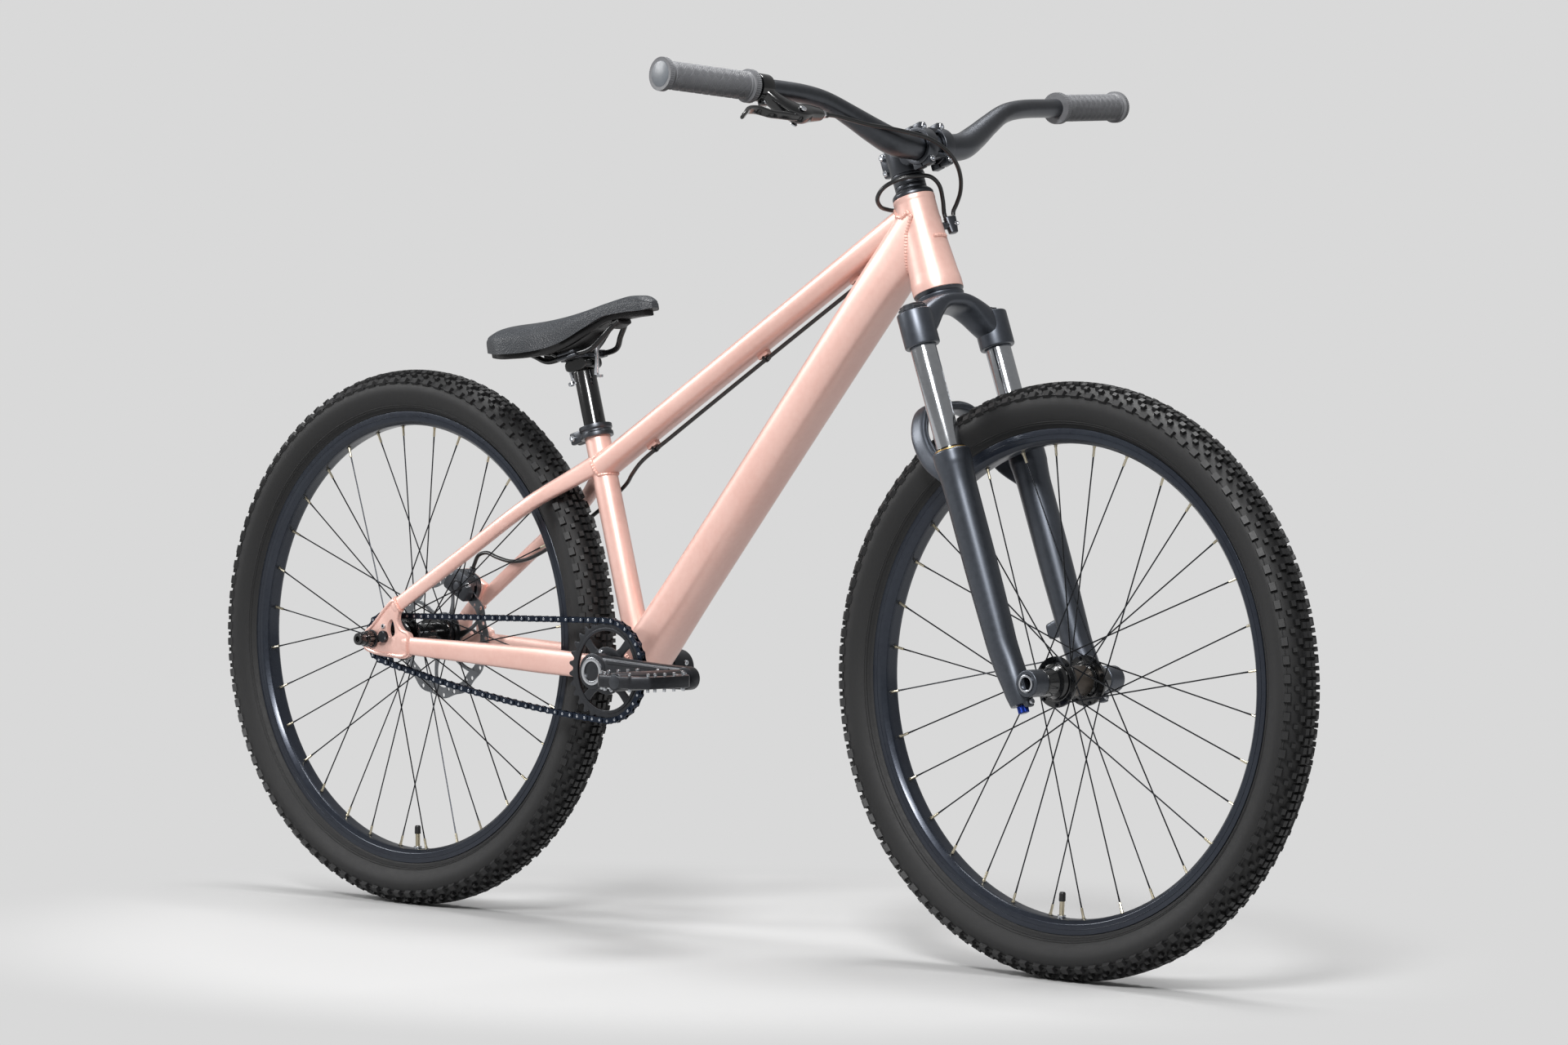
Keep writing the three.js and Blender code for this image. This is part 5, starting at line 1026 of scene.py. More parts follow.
class FrontHub:
    """The front hub's shell and its hollow axle."""

    half_shell: tuple = ((16.4, 0.0), (17.0, 20.0), (19.0, 23.6), (18.8, 28.2), (21.5, 30.0), (19.0, 33.5),
                         (16.2, 40.0), (15.0, 50.7), (14.6, 54.7), (10.4, 54.7))
    axle_radius: float = 10.0
    axle_bore: float = 7.4
    axle_half: float = 80.5

    def build(self) -> None:
        """Builds the shell and the axle."""
        hub = Piece("front_hub_shell", LAYOUT.front)
        outline = [(radius, -y) for radius, y in reversed(self.half_shell[1:])] + list(self.half_shell)
        hub.take(turned(softened(outline, 1.0), 72, along_y=True), GLOSS_BLACK)
        band = softened([(16.5, -19.2), (17.6, -19.2), (17.1, 0.0), (17.6, 19.2), (16.5, 19.2)], 0.3)
        hub.take(turned(band, 72, along_y=True), SHELL_GREY)
        hub.done("front_wheel", ["front_hub"])
        tube = ring_of(self.axle_bore, self.axle_radius, -self.axle_half, self.axle_half, 0.8, 48, True)
        Piece("front_axle_tube", LAYOUT.front).take(tube, BOLT_SILVER).done("lowers", ["front_axle"])


@dataclass
class RearHub:
    """The rear hub's shell, its axle, its cog and its rotor."""

    end: float = 67.2
    axle_tip: float = 100.8
    waves: int = 12
    rotor_faces: tuple = (49.1, 50.9)

    def build(self) -> None:
        """Builds the rear hub's pieces."""
        self._shell()
        self._axle()
        self._cog()
        self._rotor()

    def _shell(self) -> None:
        """The conical black shell between the flanges."""
        outline = [(5.5, -self.end), (12.0, -self.end), (12.0, -62.2), (16.8, -61.8), (16.8, -34.0), (20.5, -30.5),
                   (21.5, -27.0), (18.0, -23.2), (17.0, -18.6), (16.2, -12.0), (16.6, 6.0), (17.0, 30.6),
                   (18.5, 35.2), (24.0, 37.5), (22.0, 41.2), (20.0, 42.0), (20.0, 54.0), (11.0, 54.0),
                   (11.0, self.end), (5.5, self.end)]
        piece = Piece("rear_hub_shell", LAYOUT.rear)
        piece.take(turned(softened(outline, 0.9), 72, along_y=True), GLOSS_BLACK)
        piece.take(ring_of(17.0, 18.6, -50.5, -36.0, 0.5, 48, True), BOLT_SILVER)
        piece.done("rear_wheel", ["rear_hub"])

    def _axle(self) -> None:
        """The axle with its ribbed black bolts outside the dropouts."""
        piece = Piece("rear_axle_bolts", LAYOUT.rear)
        piece.take(disc_of(5.0, -75.0, 75.0, 0.3, 24, True), BOLT_SILVER)
        for side in (BIKE, MIRROR):
            face = side @ about("X", 90)
            piece.take(ring_of(5.0, 11.4, 75.9, 78.4, 0.6, 48), FORGED_BLACK, face)
            piece.take(knurled(10.2, 78.0, 87.4, 16, 0.9), GLOSS_BLACK, face)
            piece.take(ring_of(4.8, 9.4, 87.0, 90.4, 0.7, 48), GLOSS_BLACK, face)
            piece.take(bolt(8.0, self.axle_tip - 89.0, 0.5, 0.35), GLOSS_BLACK, face @ move(0, 0, 89.0))
        piece.done("frame", ["rear_axle"])

    def _cog(self) -> None:
        """The cog with its teeth."""
        piece = Piece("rear_cog_teeth", LAYOUT.rear)
        piece.take(plate(teeth(14, 28.54), -55.1, -52.9, [circle(17.5, 48)], 0.25), CHAIN_STEEL)
        piece.take(ring_of(17.4, 22.5, -56.3, -51.6, 0.5, 48, True), GLOSS_BLACK)
        piece.done("cog", ["rear_cog"])

    def _rotor(self) -> None:
        """The wavy rotor, drilled in its band, on slanted arms."""
        low, high = self.rotor_faces
        spot = lambda base, angle: polar(base - 1.5 * (1 - math.cos(self.waves * angle)), angle)
        outside, inside = ([spot(base, TURN * k / 216) for k in range(216)] for base in (80.0, 66.0))
        pairs = 2 * self.waves
        holes = [circle(size, 12, spot(radius, (index + share) * TURN / pairs))
                 for index in range(pairs) for radius, share, size in ((75.6, 0.0, 2.7), (69.8, 0.5, 2.1))]
        piece = Piece("rotor_disc", LAYOUT.rear)
        piece.take(plate(outside, low, high, [inside, *holes], 0), ROTOR_STEEL)
        rows = [(26, 50, 2, 1.7, 10), (44, 50, 9, 1.7, 5.5), (57, 50, 18, 1.7, 5.0), (66, 50, 27, 1.7, 8)]
        for turn in range(0, 360, 60):
            piece.take(bar(rows, (0, 1, 0), 20, 6, 5.0), ROTOR_STEEL, about("Y", turn))
            piece.take(bolt(4.2, 2.4), BOLT_SILVER, about("Y", turn + 20) @ move(25.5, high) @ about("X", -90))
        piece.take(ring_of(20.3, 30.0, low, high, 0.3, 72, True), ROTOR_STEEL)
        piece.done("rear_wheel", ["brake_rotor"])


def teeth(count: int, pitch_radius: float) -> list[tuple]:
    """The outline of a ring of teeth for a chain that runs at a pitch radius."""
    shape = ((-0.5, -3.7), (-0.4, -3.5), (-0.3, -2.2), (-0.2, 0.6), (-0.11, 2.6), (0.0, 3.0), (0.11, 2.6),
             (0.2, 0.6), (0.3, -2.2), (0.4, -3.5))
    step = TURN / count
    return [polar(pitch_radius + out, (index + 0.5 + share) * step) for index in range(count) for share, out in shape]


# Frame


@dataclass
class Frameset:
    """The welded frame: tubes, stays, dropouts, beads, guides, cups and collar."""

    head_low: float = 12.0
    head_high: float = 128.0
    top_tube_rise: float = 31.6
    top_tube_seat: float = 254.0
    top_tube_power: float = 2.8
    down_tube_power: float = 2.9
    down_tube_drop: float = 36.0
    seat_tube_length: float = 301.0
    seat_tube_radius: float = 15.7
    shell_radius: float = 21.5
    shell_half: float = 36.5
    dropout_length: float = 86.0
    dropout_inside: float = 67.5
    dropout_thickness: float = 8.0
    bead: float = 2.3
    bead_step: float = 1.15
    ripple_length: float = 3.6
    guide_shares: tuple = (0.14, 0.5, 0.79)

    def __post_init__(self) -> None:
        """Works out the places that several tubes share."""
        self.top_foot = LAYOUT.seat @ Vector((0, 0, self.top_tube_seat))
        rise = math.radians(self.top_tube_rise)
        self.top_along = Vector((math.cos(rise), 0, math.sin(rise)))
        forward = (LAYOUT.head.to_3x3() @ Vector((1, 0, 0))).normalized()
        race = LAYOUT.head.translation
        reach = (race - self.top_foot).dot(forward) / self.top_along.dot(forward)
        self.top_head = self.top_foot + self.top_along * reach
        self.down_head = LAYOUT.head @ Vector((0, 0, self.head_high - self.down_tube_drop))
        self.bracket = LAYOUT.bracket.translation.copy()

    def build(self) -> None:
        """Builds the frame's pieces."""
        self._head_tube()
        self._main_tubes(BVHTree.FromBMesh(self._walls()))
        self._seat_tube()
        self._stays()
        self._guides()
        self._cups()
        self._coupler()
        self._collar()

    def _head_tube(self) -> None:
        """The tapered head tube."""
        low, high = self.head_low, self.head_high
        outside = [(29.7, low), (29.7, low + 10), (28.4, low + 22), (25.8, low + 60), (24.2, high - 24),
                   (24.2, high - 7), (24.6, high - 5), (24.6, high)]
        inside = [(20.6, high), (20.6, high - 14), (22.0, high - 20), (22.0, low + 60), (25.7, low + 14), (25.7, low)]
        piece = Piece("head_tube_shell", LAYOUT.head)
        piece.take(turned(softened(outside + inside, 1.2), 96), FRAME_PAINT).done("frame", ["head_tube"])

    def _walls(self) -> Mesh:
        """What the tubes are welded to, in millimetres of the bicycle's frame."""
        bm = bmesh.new()
        low, high = self.head_low, self.head_high
        outside = [(0, low), (29.7, low), (29.7, low + 10), (25.8, low + 60), (24.2, high - 24), (24.6, high),
                   (0, high)]
        merge(bm, turned(outside, 96), LAYOUT.head)
        merge(bm, disc_of(self.seat_tube_radius, 0, self.seat_tube_length, 0.1, 64), LAYOUT.seat)
        merge(bm, self._shell_form(), LAYOUT.bracket)
        return bm

    def _shell_form(self) -> Mesh:
        """The outside of the bracket shell."""
        return disc_of(self.shell_radius, -self.shell_half, self.shell_half, 0.1, 64, True)

    def _joint(self, ring: Sequence[Vector], along: Vector, walls: BVHTree, reach: float = 90.0) -> list[Vector]:
        """Where a tube's lines meet what it is welded to.

        Args:
            ring: A ring of the tube that stands clear of the joint.
            along: The direction towards the joint.
            walls: What the tube meets.
            reach: How far a line may run.

        Returns:
            The points of the joint, one for each point of the ring.
        """
        hits = [walls.ray_cast(point, along, reach) for point in ring]
        far = max([hit[3] for hit in hits if hit[0] is not None], default=reach / 2)
        return [point + along * far if hit[0] is None else hit[0] for hit, point in zip(hits, ring)]

    def _bead(self, piece: Piece, loop: Sequence[Vector], size: float = 0.0) -> None:
        """Lays a rippled weld bead along a joint."""
        line = spaced(loop, lambda length: max(int(length / self.bead_step), 24))
        width, waves = size or self.bead, len(line) * self.bead_step / self.ripple_length
        ripple = lambda share: width * (0.9 + 0.13 * math.sin(share * waves * TURN))
        piece.take(swept(line, ripple, 8, closed=True), WELD_PAINT)

    def _oval_bead(self, piece: Piece, at: Vector, along: Vector, width: float, height: float, size: float) -> None:
        """Lays a bead round a stay that runs along some direction."""
        self._bead(piece, oval_ring(at, along.normalized(), Vector((0, 1, 0)), width, height, 2.4, 36), size)

    def _welded_tube(self, piece: Piece, rings: list[list[Vector]], walls: BVHTree, bead: float) -> None:
        """Adds a tube whose open ends are drawn to the walls that they meet, with beads round them."""
        for _ in range(2):
            along = (sum(rings[0], Vector()) - sum(rings[1], Vector())).normalized()
            loop = self._joint(rings[0], along, walls)
            self._bead(piece, loop, bead)
            rings = [[p + along * 1.5 for p in loop], *rings][::-1]
        piece.take(skinned(rings), FRAME_PAINT)

    def _main_tubes(self, walls: BVHTree) -> None:
        """The top tube and the down tube."""
        foot, head = self.top_foot + self.top_along * 26, self.top_head - self.top_along * 42
        top = [(foot, 37.5, 29), (foot.lerp(head, 0.3), 37.5, 28.6), (foot.lerp(head, 0.75), 36.4, 29.4),
               (head, 36, 30)]
        spot = lambda share: self.bracket.lerp(self.down_head, share)
        down = [(spot(0.07), 63.5, 53), (spot(0.2), 60, 51), (spot(0.45), 59.5, 50.5), (spot(0.7), 59.6, 51),
                (spot(0.86), 57.0, 54), (spot(0.935), 49.5, 58)]
        for name, rows, sides, steps, power, bead in (("top", top, 56, 5, self.top_tube_power, self.bead),
                                                      ("down", down, 64, 6, self.down_tube_power, 2.6)):
            piece = Piece(f"{name}_tube_shell", BIKE)
            rings = bar_rings([(*at, *size) for at, *size in rows], sides=sides, steps=steps, power=power)
            self._welded_tube(piece, rings, walls, bead)
            piece.done("frame", [f"{name}_tube"])

    def _seat_tube(self) -> None:
        """The seat tube and the bracket shell."""
        piece = Piece("seat_tube_shell", BIKE)
        radius, length = self.seat_tube_radius, self.seat_tube_length
        tube = softened([(13.9, 8), (radius, 8), (radius, length), (13.9, length)], 0.6)
        piece.take(turned(tube, 72), FRAME_PAINT, LAYOUT.seat)
        along = LAYOUT.seat.to_3x3() @ Vector((0, 0, 1))
        ring = oval_ring(LAYOUT.seat @ Vector((0, 0, 46)), along, Vector((0, 1, 0)), 31.4, 31.4, 2.0, 48)
        walls = bmesh.new()
        merge(walls, self._shell_form(), LAYOUT.bracket)
        self._bead(piece, self._joint(ring, -along, BVHTree.FromBMesh(walls), 80.0))
        radius, half = self.shell_radius, self.shell_half
        shell = softened([(17.3, -half), (radius, -half), (radius, half), (17.3, half)], 1.2)
        piece.take(turned(shell, 72, along_y=True), FRAME_PAINT, LAYOUT.bracket)
        piece.done("frame", ["seat_tube"])

    def _on_dropout(self, forward: float, up: float) -> Vector:
        """A place on the right dropout's middle plane, from shares of its length."""
        out = self.dropout_inside + self.dropout_thickness / 2
        return LAYOUT.rear.translation + Vector((forward * self.dropout_length, -out, up * self.dropout_length))

    def _stays(self) -> None:
        """The chainstays, seatstays and dropouts of both sides."""
        start = self._on_dropout(0.744, -0.07)
        waist, yoke = start.lerp(self.bracket, 0.62), start.lerp(self.bracket, 0.81)
        waist.y, yoke.y = -41.0, -36.3
        chain_rows = [(*(start + Vector((-14, 0, 1))), 6.5, 17), (*start, 8.5, 22), (*start.lerp(waist, 0.5), 11, 27),
                      (*waist, 12, 31.5), (*yoke, 9.5, 30), (self.bracket.x + 12, -27.0, self.bracket.z, 14.5, 31)]
        shell = Vector((self.bracket.x - 21.0, -29.0, self.bracket.z))
        foot = self._on_dropout(0.5, 0.52)
        top = self.top_foot + Vector((0, 0, 6))
        bend = foot.lerp(top, 0.72)
        bend.y, top.y = -46.0, -8.0
        seat_rows = [(*(foot - (bend - foot).normalized() * 10), 6.5, 14), (*foot, 8.5, 18),
                     (*foot.lerp(bend, 0.5), 14, 18.5), (*bend, 16, 18.5), (*bend.lerp(top, 0.62), 16, 22),
                     (*top, 15.5, 25)]
        for side, flip in (("right", BIKE), ("left", MIRROR)):
            stay = Piece(f"chainstay_{side}_shell", flip)
            stay.take(bar(chain_rows, sides=36, steps=6, power=2.4, soft=2.5), FRAME_PAINT)
            self._dropout(stay, side)
            self._oval_bead(stay, start + Vector((-1, 0, 0)), waist - start, 10.5, 23.5, 1.7)
            self._oval_bead(stay, shell, Vector((1, 0.12, 0)), 14.5, 31.5, 2.0)
            stay.done("frame", [f"chainstay_{side}"])
            upper = Piece(f"seatstay_{side}_shell", flip)
            upper.take(bar(seat_rows, sides=36, steps=6, power=2.4, soft=2.5), FRAME_PAINT)
            self._oval_bead(upper, foot, bend - foot, 10.5, 20.0, 1.7)
            if side == "left":
                tab = block((-21, -71.5, 61), (21, -60.3, 87), 1.6)
                upper.take(tab, FRAME_PAINT, LAYOUT.rear @ about("Y", LAYOUT.caliper_lean))
            upper.done("frame", [f"seatstay_{side}"])

    def _dropout(self, stay: Piece, side: str) -> None:
        """The hooded dropout plate with its raised rim, on the right side of the frame."""
        shares = [(-0.2, -0.15), (-0.06, -0.21), (0.35, -0.255), (0.745, -0.23), (0.765, 0.09), (0.605, 0.16),
                  (0.51, 0.3), (0.54, 0.47), (0.45, 0.62), (0.3, 0.53), (-0.03, 0.2), (-0.2, 0.06)]
        outline = smooth_loop([(a * self.dropout_length, b * self.dropout_length) for a, b in shares], 4)
        slot = [(x + (9 if x > 0 else -9), z) for x, z in circle(5.3, 24)]
        window = smooth_loop([(30, 3), (38, 6), (38.5, 15), (34, 25), (28, 22), (25.5, 10)], 4)
        low, high = -(self.dropout_inside + self.dropout_thickness), -self.dropout_inside
        stay.take(plate(outline, low + 1.2, high, [slot, window], 0.8), FRAME_PAINT, LAYOUT.rear)
        rim = [Vector((x * 0.93 + 1.6, low + 1.4, z * 0.9 + 1.0)) for x, z in outline]
        stay.take(swept(rim, 2.1, 8, closed=True), FRAME_PAINT, LAYOUT.rear)
        face = [Vector((x, low + 1.2, z)) for x, z in slot]
        stay.take(swept(face, 1.0, 6, closed=True), FRAME_PAINT, LAYOUT.rear)
        if side == "right":
            at = LAYOUT.rear @ move(21.5, low, 3.5) @ about("X", 90)
            stay.take(knurled(7.5, -1.0, 5.0, 24), FORGED_BLACK, at)
            stay.take(bolt(3.0, 2.2), BOLT_SILVER, LAYOUT.rear @ move(19.5, low + 1.0, 16.5) @ about("X", 90))

    def _guides(self) -> None:
        """The hose's brackets under the top tube, each with its black tie."""
        piece = Piece("hose_guides", BIKE)
        turn = about("Y", -self.top_tube_rise)
        for share in self.guide_shares:
            at = Matrix.Translation(self.top_foot.lerp(self.top_head, share)) @ turn
            piece.take(block((-8, 1.5, -19), (8, 10.5, -10), 1.2), FRAME_PAINT, at)
            piece.take(ring_of(3.6, 5.1, -1.6, 1.6, 0.4, 20), TIE_BLACK, at @ move(0, 6, -20.6) @ about("Y", 90))
            piece.take(block((-2.2, 9.2, -22.6), (2.2, 13.0, -18.8), 0.6), TIE_BLACK, at)
        piece.done("frame")

    def _cups(self) -> None:
        """The headset's cups."""
        lower = [(20.6, 7.3), (27.1, 7.3), (29.6, 11.7), (25.3, 11.7), (25.3, 20), (20.6, 20)]
        upper = [(15.0, 114.6), (19.7, 114.6), (19.7, 128.3), (24.3, 128.3), (24.3, 131.6), (22.6, 134.0),
                 (19.0, 137.2), (15.0, 137.2)]
        for name, outline, soft in (("lower", lower, 0.5), ("upper", upper, 0.9)):
            piece = Piece(f"headset_cup_{name}_ring", LAYOUT.head)
            piece.take(turned(softened(outline, soft), 72), SATIN_BLACK).done("frame", [f"headset_cup_{name}"])

    def _coupler(self) -> None:
        """The block where the two hose strands meet, with its arm and its bolt."""
        piece = Piece("hose_coupler_block", LAYOUT.head)
        side = Vector((16, 35, 0)).normalized()
        rows = [(16, 35, 80, 10.5, 10), (16, 35, 84, 11.5, 10), (16, 35, 95, 14.5, 10), (16, 35, 100, 15, 10)]
        piece.take(bar(rows, tuple(side), 32, 4, 3.0, 1.2), SATIN_BLACK)
        piece.take(bar([(9, 20, 90, 9, 9), (16, 35, 90, 9, 9)], (0, 0, 1), 24, 2), SATIN_BLACK)
        face = towards((16 + side.x * 5, 35 + side.y * 5, 90), (side.y, -side.x, 0))
        piece.take(bolt(2.6, 1.4), BOLT_SILVER, face @ move(0, 0, 4.2))
        piece.done("frame", ["hose_coupler"])

    def _collar(self) -> None:
        """The seat collar: two bands, ears to the rear and a silver bolt."""
        low, high = self.seat_tube_length - 9.0, self.seat_tube_length + 6.0
        outline = [(16.0, low), (20.4, low), (20.4, low + 5.2), (18.9, low + 6.2), (18.9, high - 6.2),
                   (20.4, high - 5.2), (20.4, high), (14.0, high), (14.0, self.seat_tube_length + 0.4),
                   (16.0, self.seat_tube_length + 0.4)]
        piece = Piece("seat_collar_band", LAYOUT.seat)
        piece.take(turned(softened(outline, 0.7), 72), SATIN_BLACK)
        for near, far in ((-9.0, -1.5), (1.5, 9.0)):
            piece.take(block((-38.0, near, low), (-16.0, far, high), 2.2), SATIN_BLACK)
        piece.take(bolt(4.2, 3.4), BOLT_SILVER, move(-31.5, -9.0, (low + high) / 2) @ about("X", 90))
        piece.done("frame", ["seat_collar"])


def knurled(radius: float, low: float, high: float, ridges: int, depth: float = 0.7) -> Mesh:
    """A knurled knob along Z.

    Args:
        radius: Its radius.
        low: Its lower end.
        high: Its upper end.
        ridges: Ridges round it.
        depth: The depth between them.

    Returns:
        The knob.
    """
    count = ridges * 4
    sizes = [depth * (0.5 - 0.5 * math.cos(TURN * index / 4)) for index in range(count)]
    rings = [[Vector((*polar(radius + grow - size, TURN * index / count), height)) for index, size in enumerate(sizes)]
             for height, grow in ((low, -1.0), (low + 0.6, 0.0), (high - 0.8, 0.0), (high, -1.0))]
    return skinned(rings)


# Fork


@dataclass
class Fork:
    """The suspension fork: crown, stanchions, lowers and knobs."""

    leg_y: float = 66.0
    forward: float = 10.5
    stanchion_radius: float = 15.0
    crown_rise: float = 40.0
    crown_depth: float = 44.0
    foot_forward: float = 5.5

    @property
    def legs(self) -> tuple[Matrix, Matrix]:
        """The middle lines of the right and the left leg."""
        return move(self.forward, -self.leg_y), move(self.forward, self.leg_y)

    def build(self) -> None:
        """Builds the fork's pieces."""
        self._crown()
        self._stanchions()
        self._lowers()
        self._knobs()

    def _crown(self) -> None:
        """The arched crown with its bosses, caps and steerer."""
        piece = Piece("fork_crown_casting", LAYOUT.head)
        rows = ((0, -0.1, 0.5, 1), (0.3, -0.15, 0.5, 0.95), (0.55, -0.36, 0.68, 0.86), (0.8, -0.68, 0.86, 0.8),
                (1, -0.95, 0.9, 0.78))
        rise, depth = self.crown_rise, self.crown_depth
        stations = [(lerp(8.0, self.forward, out), side * self.leg_y * out, rise * up, depth * long, rise * high)
                    for side, half in ((-1, rows[:0:-1]), (1, rows)) for out, up, high, long in half]
        piece.take(bar(stations, (1, 0, 0), 48, 6, 2.6, 4.0), FORK_PAINT)
        boss = softened([(0.0, -17.0), (20.5, -17.0), (20.5, -59.0), (15.3, -59.0), (15.3, -24.0), (0.0, -24.0)], 2.4,
                        closed=False)
        right, left = self.legs
        for at in (right, left):
            piece.take(turned(boss, 72), FORK_PAINT, at)
        piece.take(hex_bar(11.0, -17.2, -12.0, 0.9), SATIN_BLACK, left)
        piece.take(disc_of(6.2, -12.2, -10.4, 0.5), SATIN_BLACK, left)
        steerer = [(0, -9), (22.5, -9), (25.0, -4), (28.4, 5.5), (28.4, 7.0), (19.8, 7.0), (19.8, 25.0), (14.3, 55.0),
                   (14.3, 192.0), (0, 192.0)]
        piece.take(turned(softened(steerer, 1.2, closed=False), 72), FORK_PAINT)
        piece.done("steering", ["fork_crown"])

    def _stanchions(self) -> None:
        """The two polished tubes."""
        for side, at in zip(("right", "left"), self.legs):
            piece = Piece(f"stanchion_{side}_tube", LAYOUT.head)
            piece.take(ring_of(13.0, self.stanchion_radius, -299.5, -24.2, 0.6, 72), CHROME, at)
            piece.done("steering", [f"stanchion_{side}"])

    def _leg(self, y: float) -> Mesh:
        """One leg of the lowers."""
        x = self.forward
        rows = [(x, y, -185.6, 40.5, 41.5), (x, y, -187.5, 42, 43), (x, y, -198, 42, 43), (x, y, -205, 40.4, 41.4),
                (x, y, -226, 37.4, 38.4), (x, y, -320, 37, 38), (x, y, -395, 34.6, 35.6), (x, y, -415, 33.6, 34.8),
                (x + 1.8, y, -440, 31, 35), (x + 4.4, y, -460, 31, 32.5), (x + self.foot_forward, y, -476, 29.5, 30),
                (x + self.foot_forward, y, -488, 25, 25)]
        return bar(rows, (0, 1, 0), 56, 5, 2.2)

    def _lowers(self) -> None:
        """The two legs, the brace behind the wheel, the axle bosses and the brake tabs."""
        piece = Piece("fork_lowers_casting", LAYOUT.head)
        for side, at in zip((-1, 1), self.legs):
            piece.take(self._leg(side * self.leg_y), FORK_PAINT)
            piece.take(ring_of(15.3, 18.6, -186.4, -183.6, 0.6, 72), SEAL_BRASS, at)
            piece.take(ring_of(15.25, 16.9, -184.6, -181.4, 0.5, 72), GLOSS_BLACK, at)
            self._foot(piece, side)
        self._brace(piece)
        for height in (-394, -468):
            tab = [(self.forward - back, 61, height, wide, long)
                   for back, wide, long in ((4, 10, 22), (22, 10, 20), (31, 9.6, 18))]
            piece.take(bar(tab, (0, 1, 0), 32, 4, 4.0, 2.0), FORK_PAINT)
            eye = move(self.forward - 25, 66.1, height) @ about("X", -90)
            piece.take(ring_of(2.9, 6.2, -0.6, 0.6, 0.3, 32), FORK_PAINT, eye)
        piece.done("lowers", ["fork_lowers"], crease=50)

    def _foot(self, piece: Piece, side: int) -> None:
        """The boss for the axle with its pinch bolt, on one leg."""
        inner, outer = sorted((side * 55.0, side * 79.0))
        boss = [(10.3, inner), (14.6, inner), (15.5, inner + 2), (15.5, outer - 2), (14.4, outer), (10.3, outer)]
        piece.take(turned(softened(boss, 0.9), 72, along_y=True), FORK_PAINT, move(40, 0, -470))
        y = side * self.leg_y
        web = [(self.forward + 5.5, y, -470, 22, 30), (27, y, -470, 21.5, 28), (36, y, -470, 21, 27)]
        piece.take(bar(web, (0, 1, 0), 40, 4, 3.0), FORK_PAINT)
        lug = [(26, y, -482, 14, 9), (26, y, -489, 13.4, 8.4), (26, y, -493, 12, 7)]
        piece.take(bar(lug, (0, 1, 0), 32, 4, 3.0, 1.5), FORK_PAINT)
        piece.take(bolt(3.4, 3.0), BOLT_SILVER, towards((29.8, y, -488), (1, 0, 0)))

    def _brace(self, piece: Piece) -> None:
        """The arched strap behind the wheel, with a rib along its outside."""
        shares = ((0, 0.96, 0), (0.75, 0.93, 0.3), (1.08, 0.84, 0.66), (1.06, 0.62, 0.93), (1, 0.3, 1), (1, 0, 1))
        line = [(-33.0 * back, side * self.leg_y * out, lerp(-214, -117, up))
                for side, half in ((-1, shares), (1, shares[-2::-1])) for back, out, up in half]
        piece.take(bar([(*at, 22.5, 11.5) for at in line], (1, 0, 0), 40, 6, 3.2), FORK_PAINT)
        piece.take(bar([(*at, 25.0, 5.0) for at in line[1:-1]], (1, 0, 0), 32, 6, 2.6, 2.0), FORK_PAINT)

    def _knobs(self) -> None:
        """The black knob on the crown and the blue one under the right leg."""
        top = Piece("compression_dial", LAYOUT.head)
        at = self.legs[0]
        top.take(knurled(17.0, -16.6, -12.0, 8, 1.6), SATIN_BLACK, at)
        top.take(knurled(15.2, -12.6, -9.2, 8, 1.5), SATIN_BLACK, at)
        top.take(disc_of(4.6, -9.8, -8.8, 0.4), BOLT_SILVER, at)
        top.done("compression_knob", ["compression_knob"])
        foot = Piece("rebound_dial", LAYOUT.head)
        at = self.legs[0] @ move(self.foot_forward)
        foot.take(knurled(6.5, -497.4, -488.5, 14, 0.6), KNOB_BLUE, at)
        foot.take(disc_of(2.9, -498.2, -497.0, 0.3), BOLT_SILVER, at)
        foot.done("rebound_knob", ["rebound_knob"])


# Stem, bar, grips and brake lever


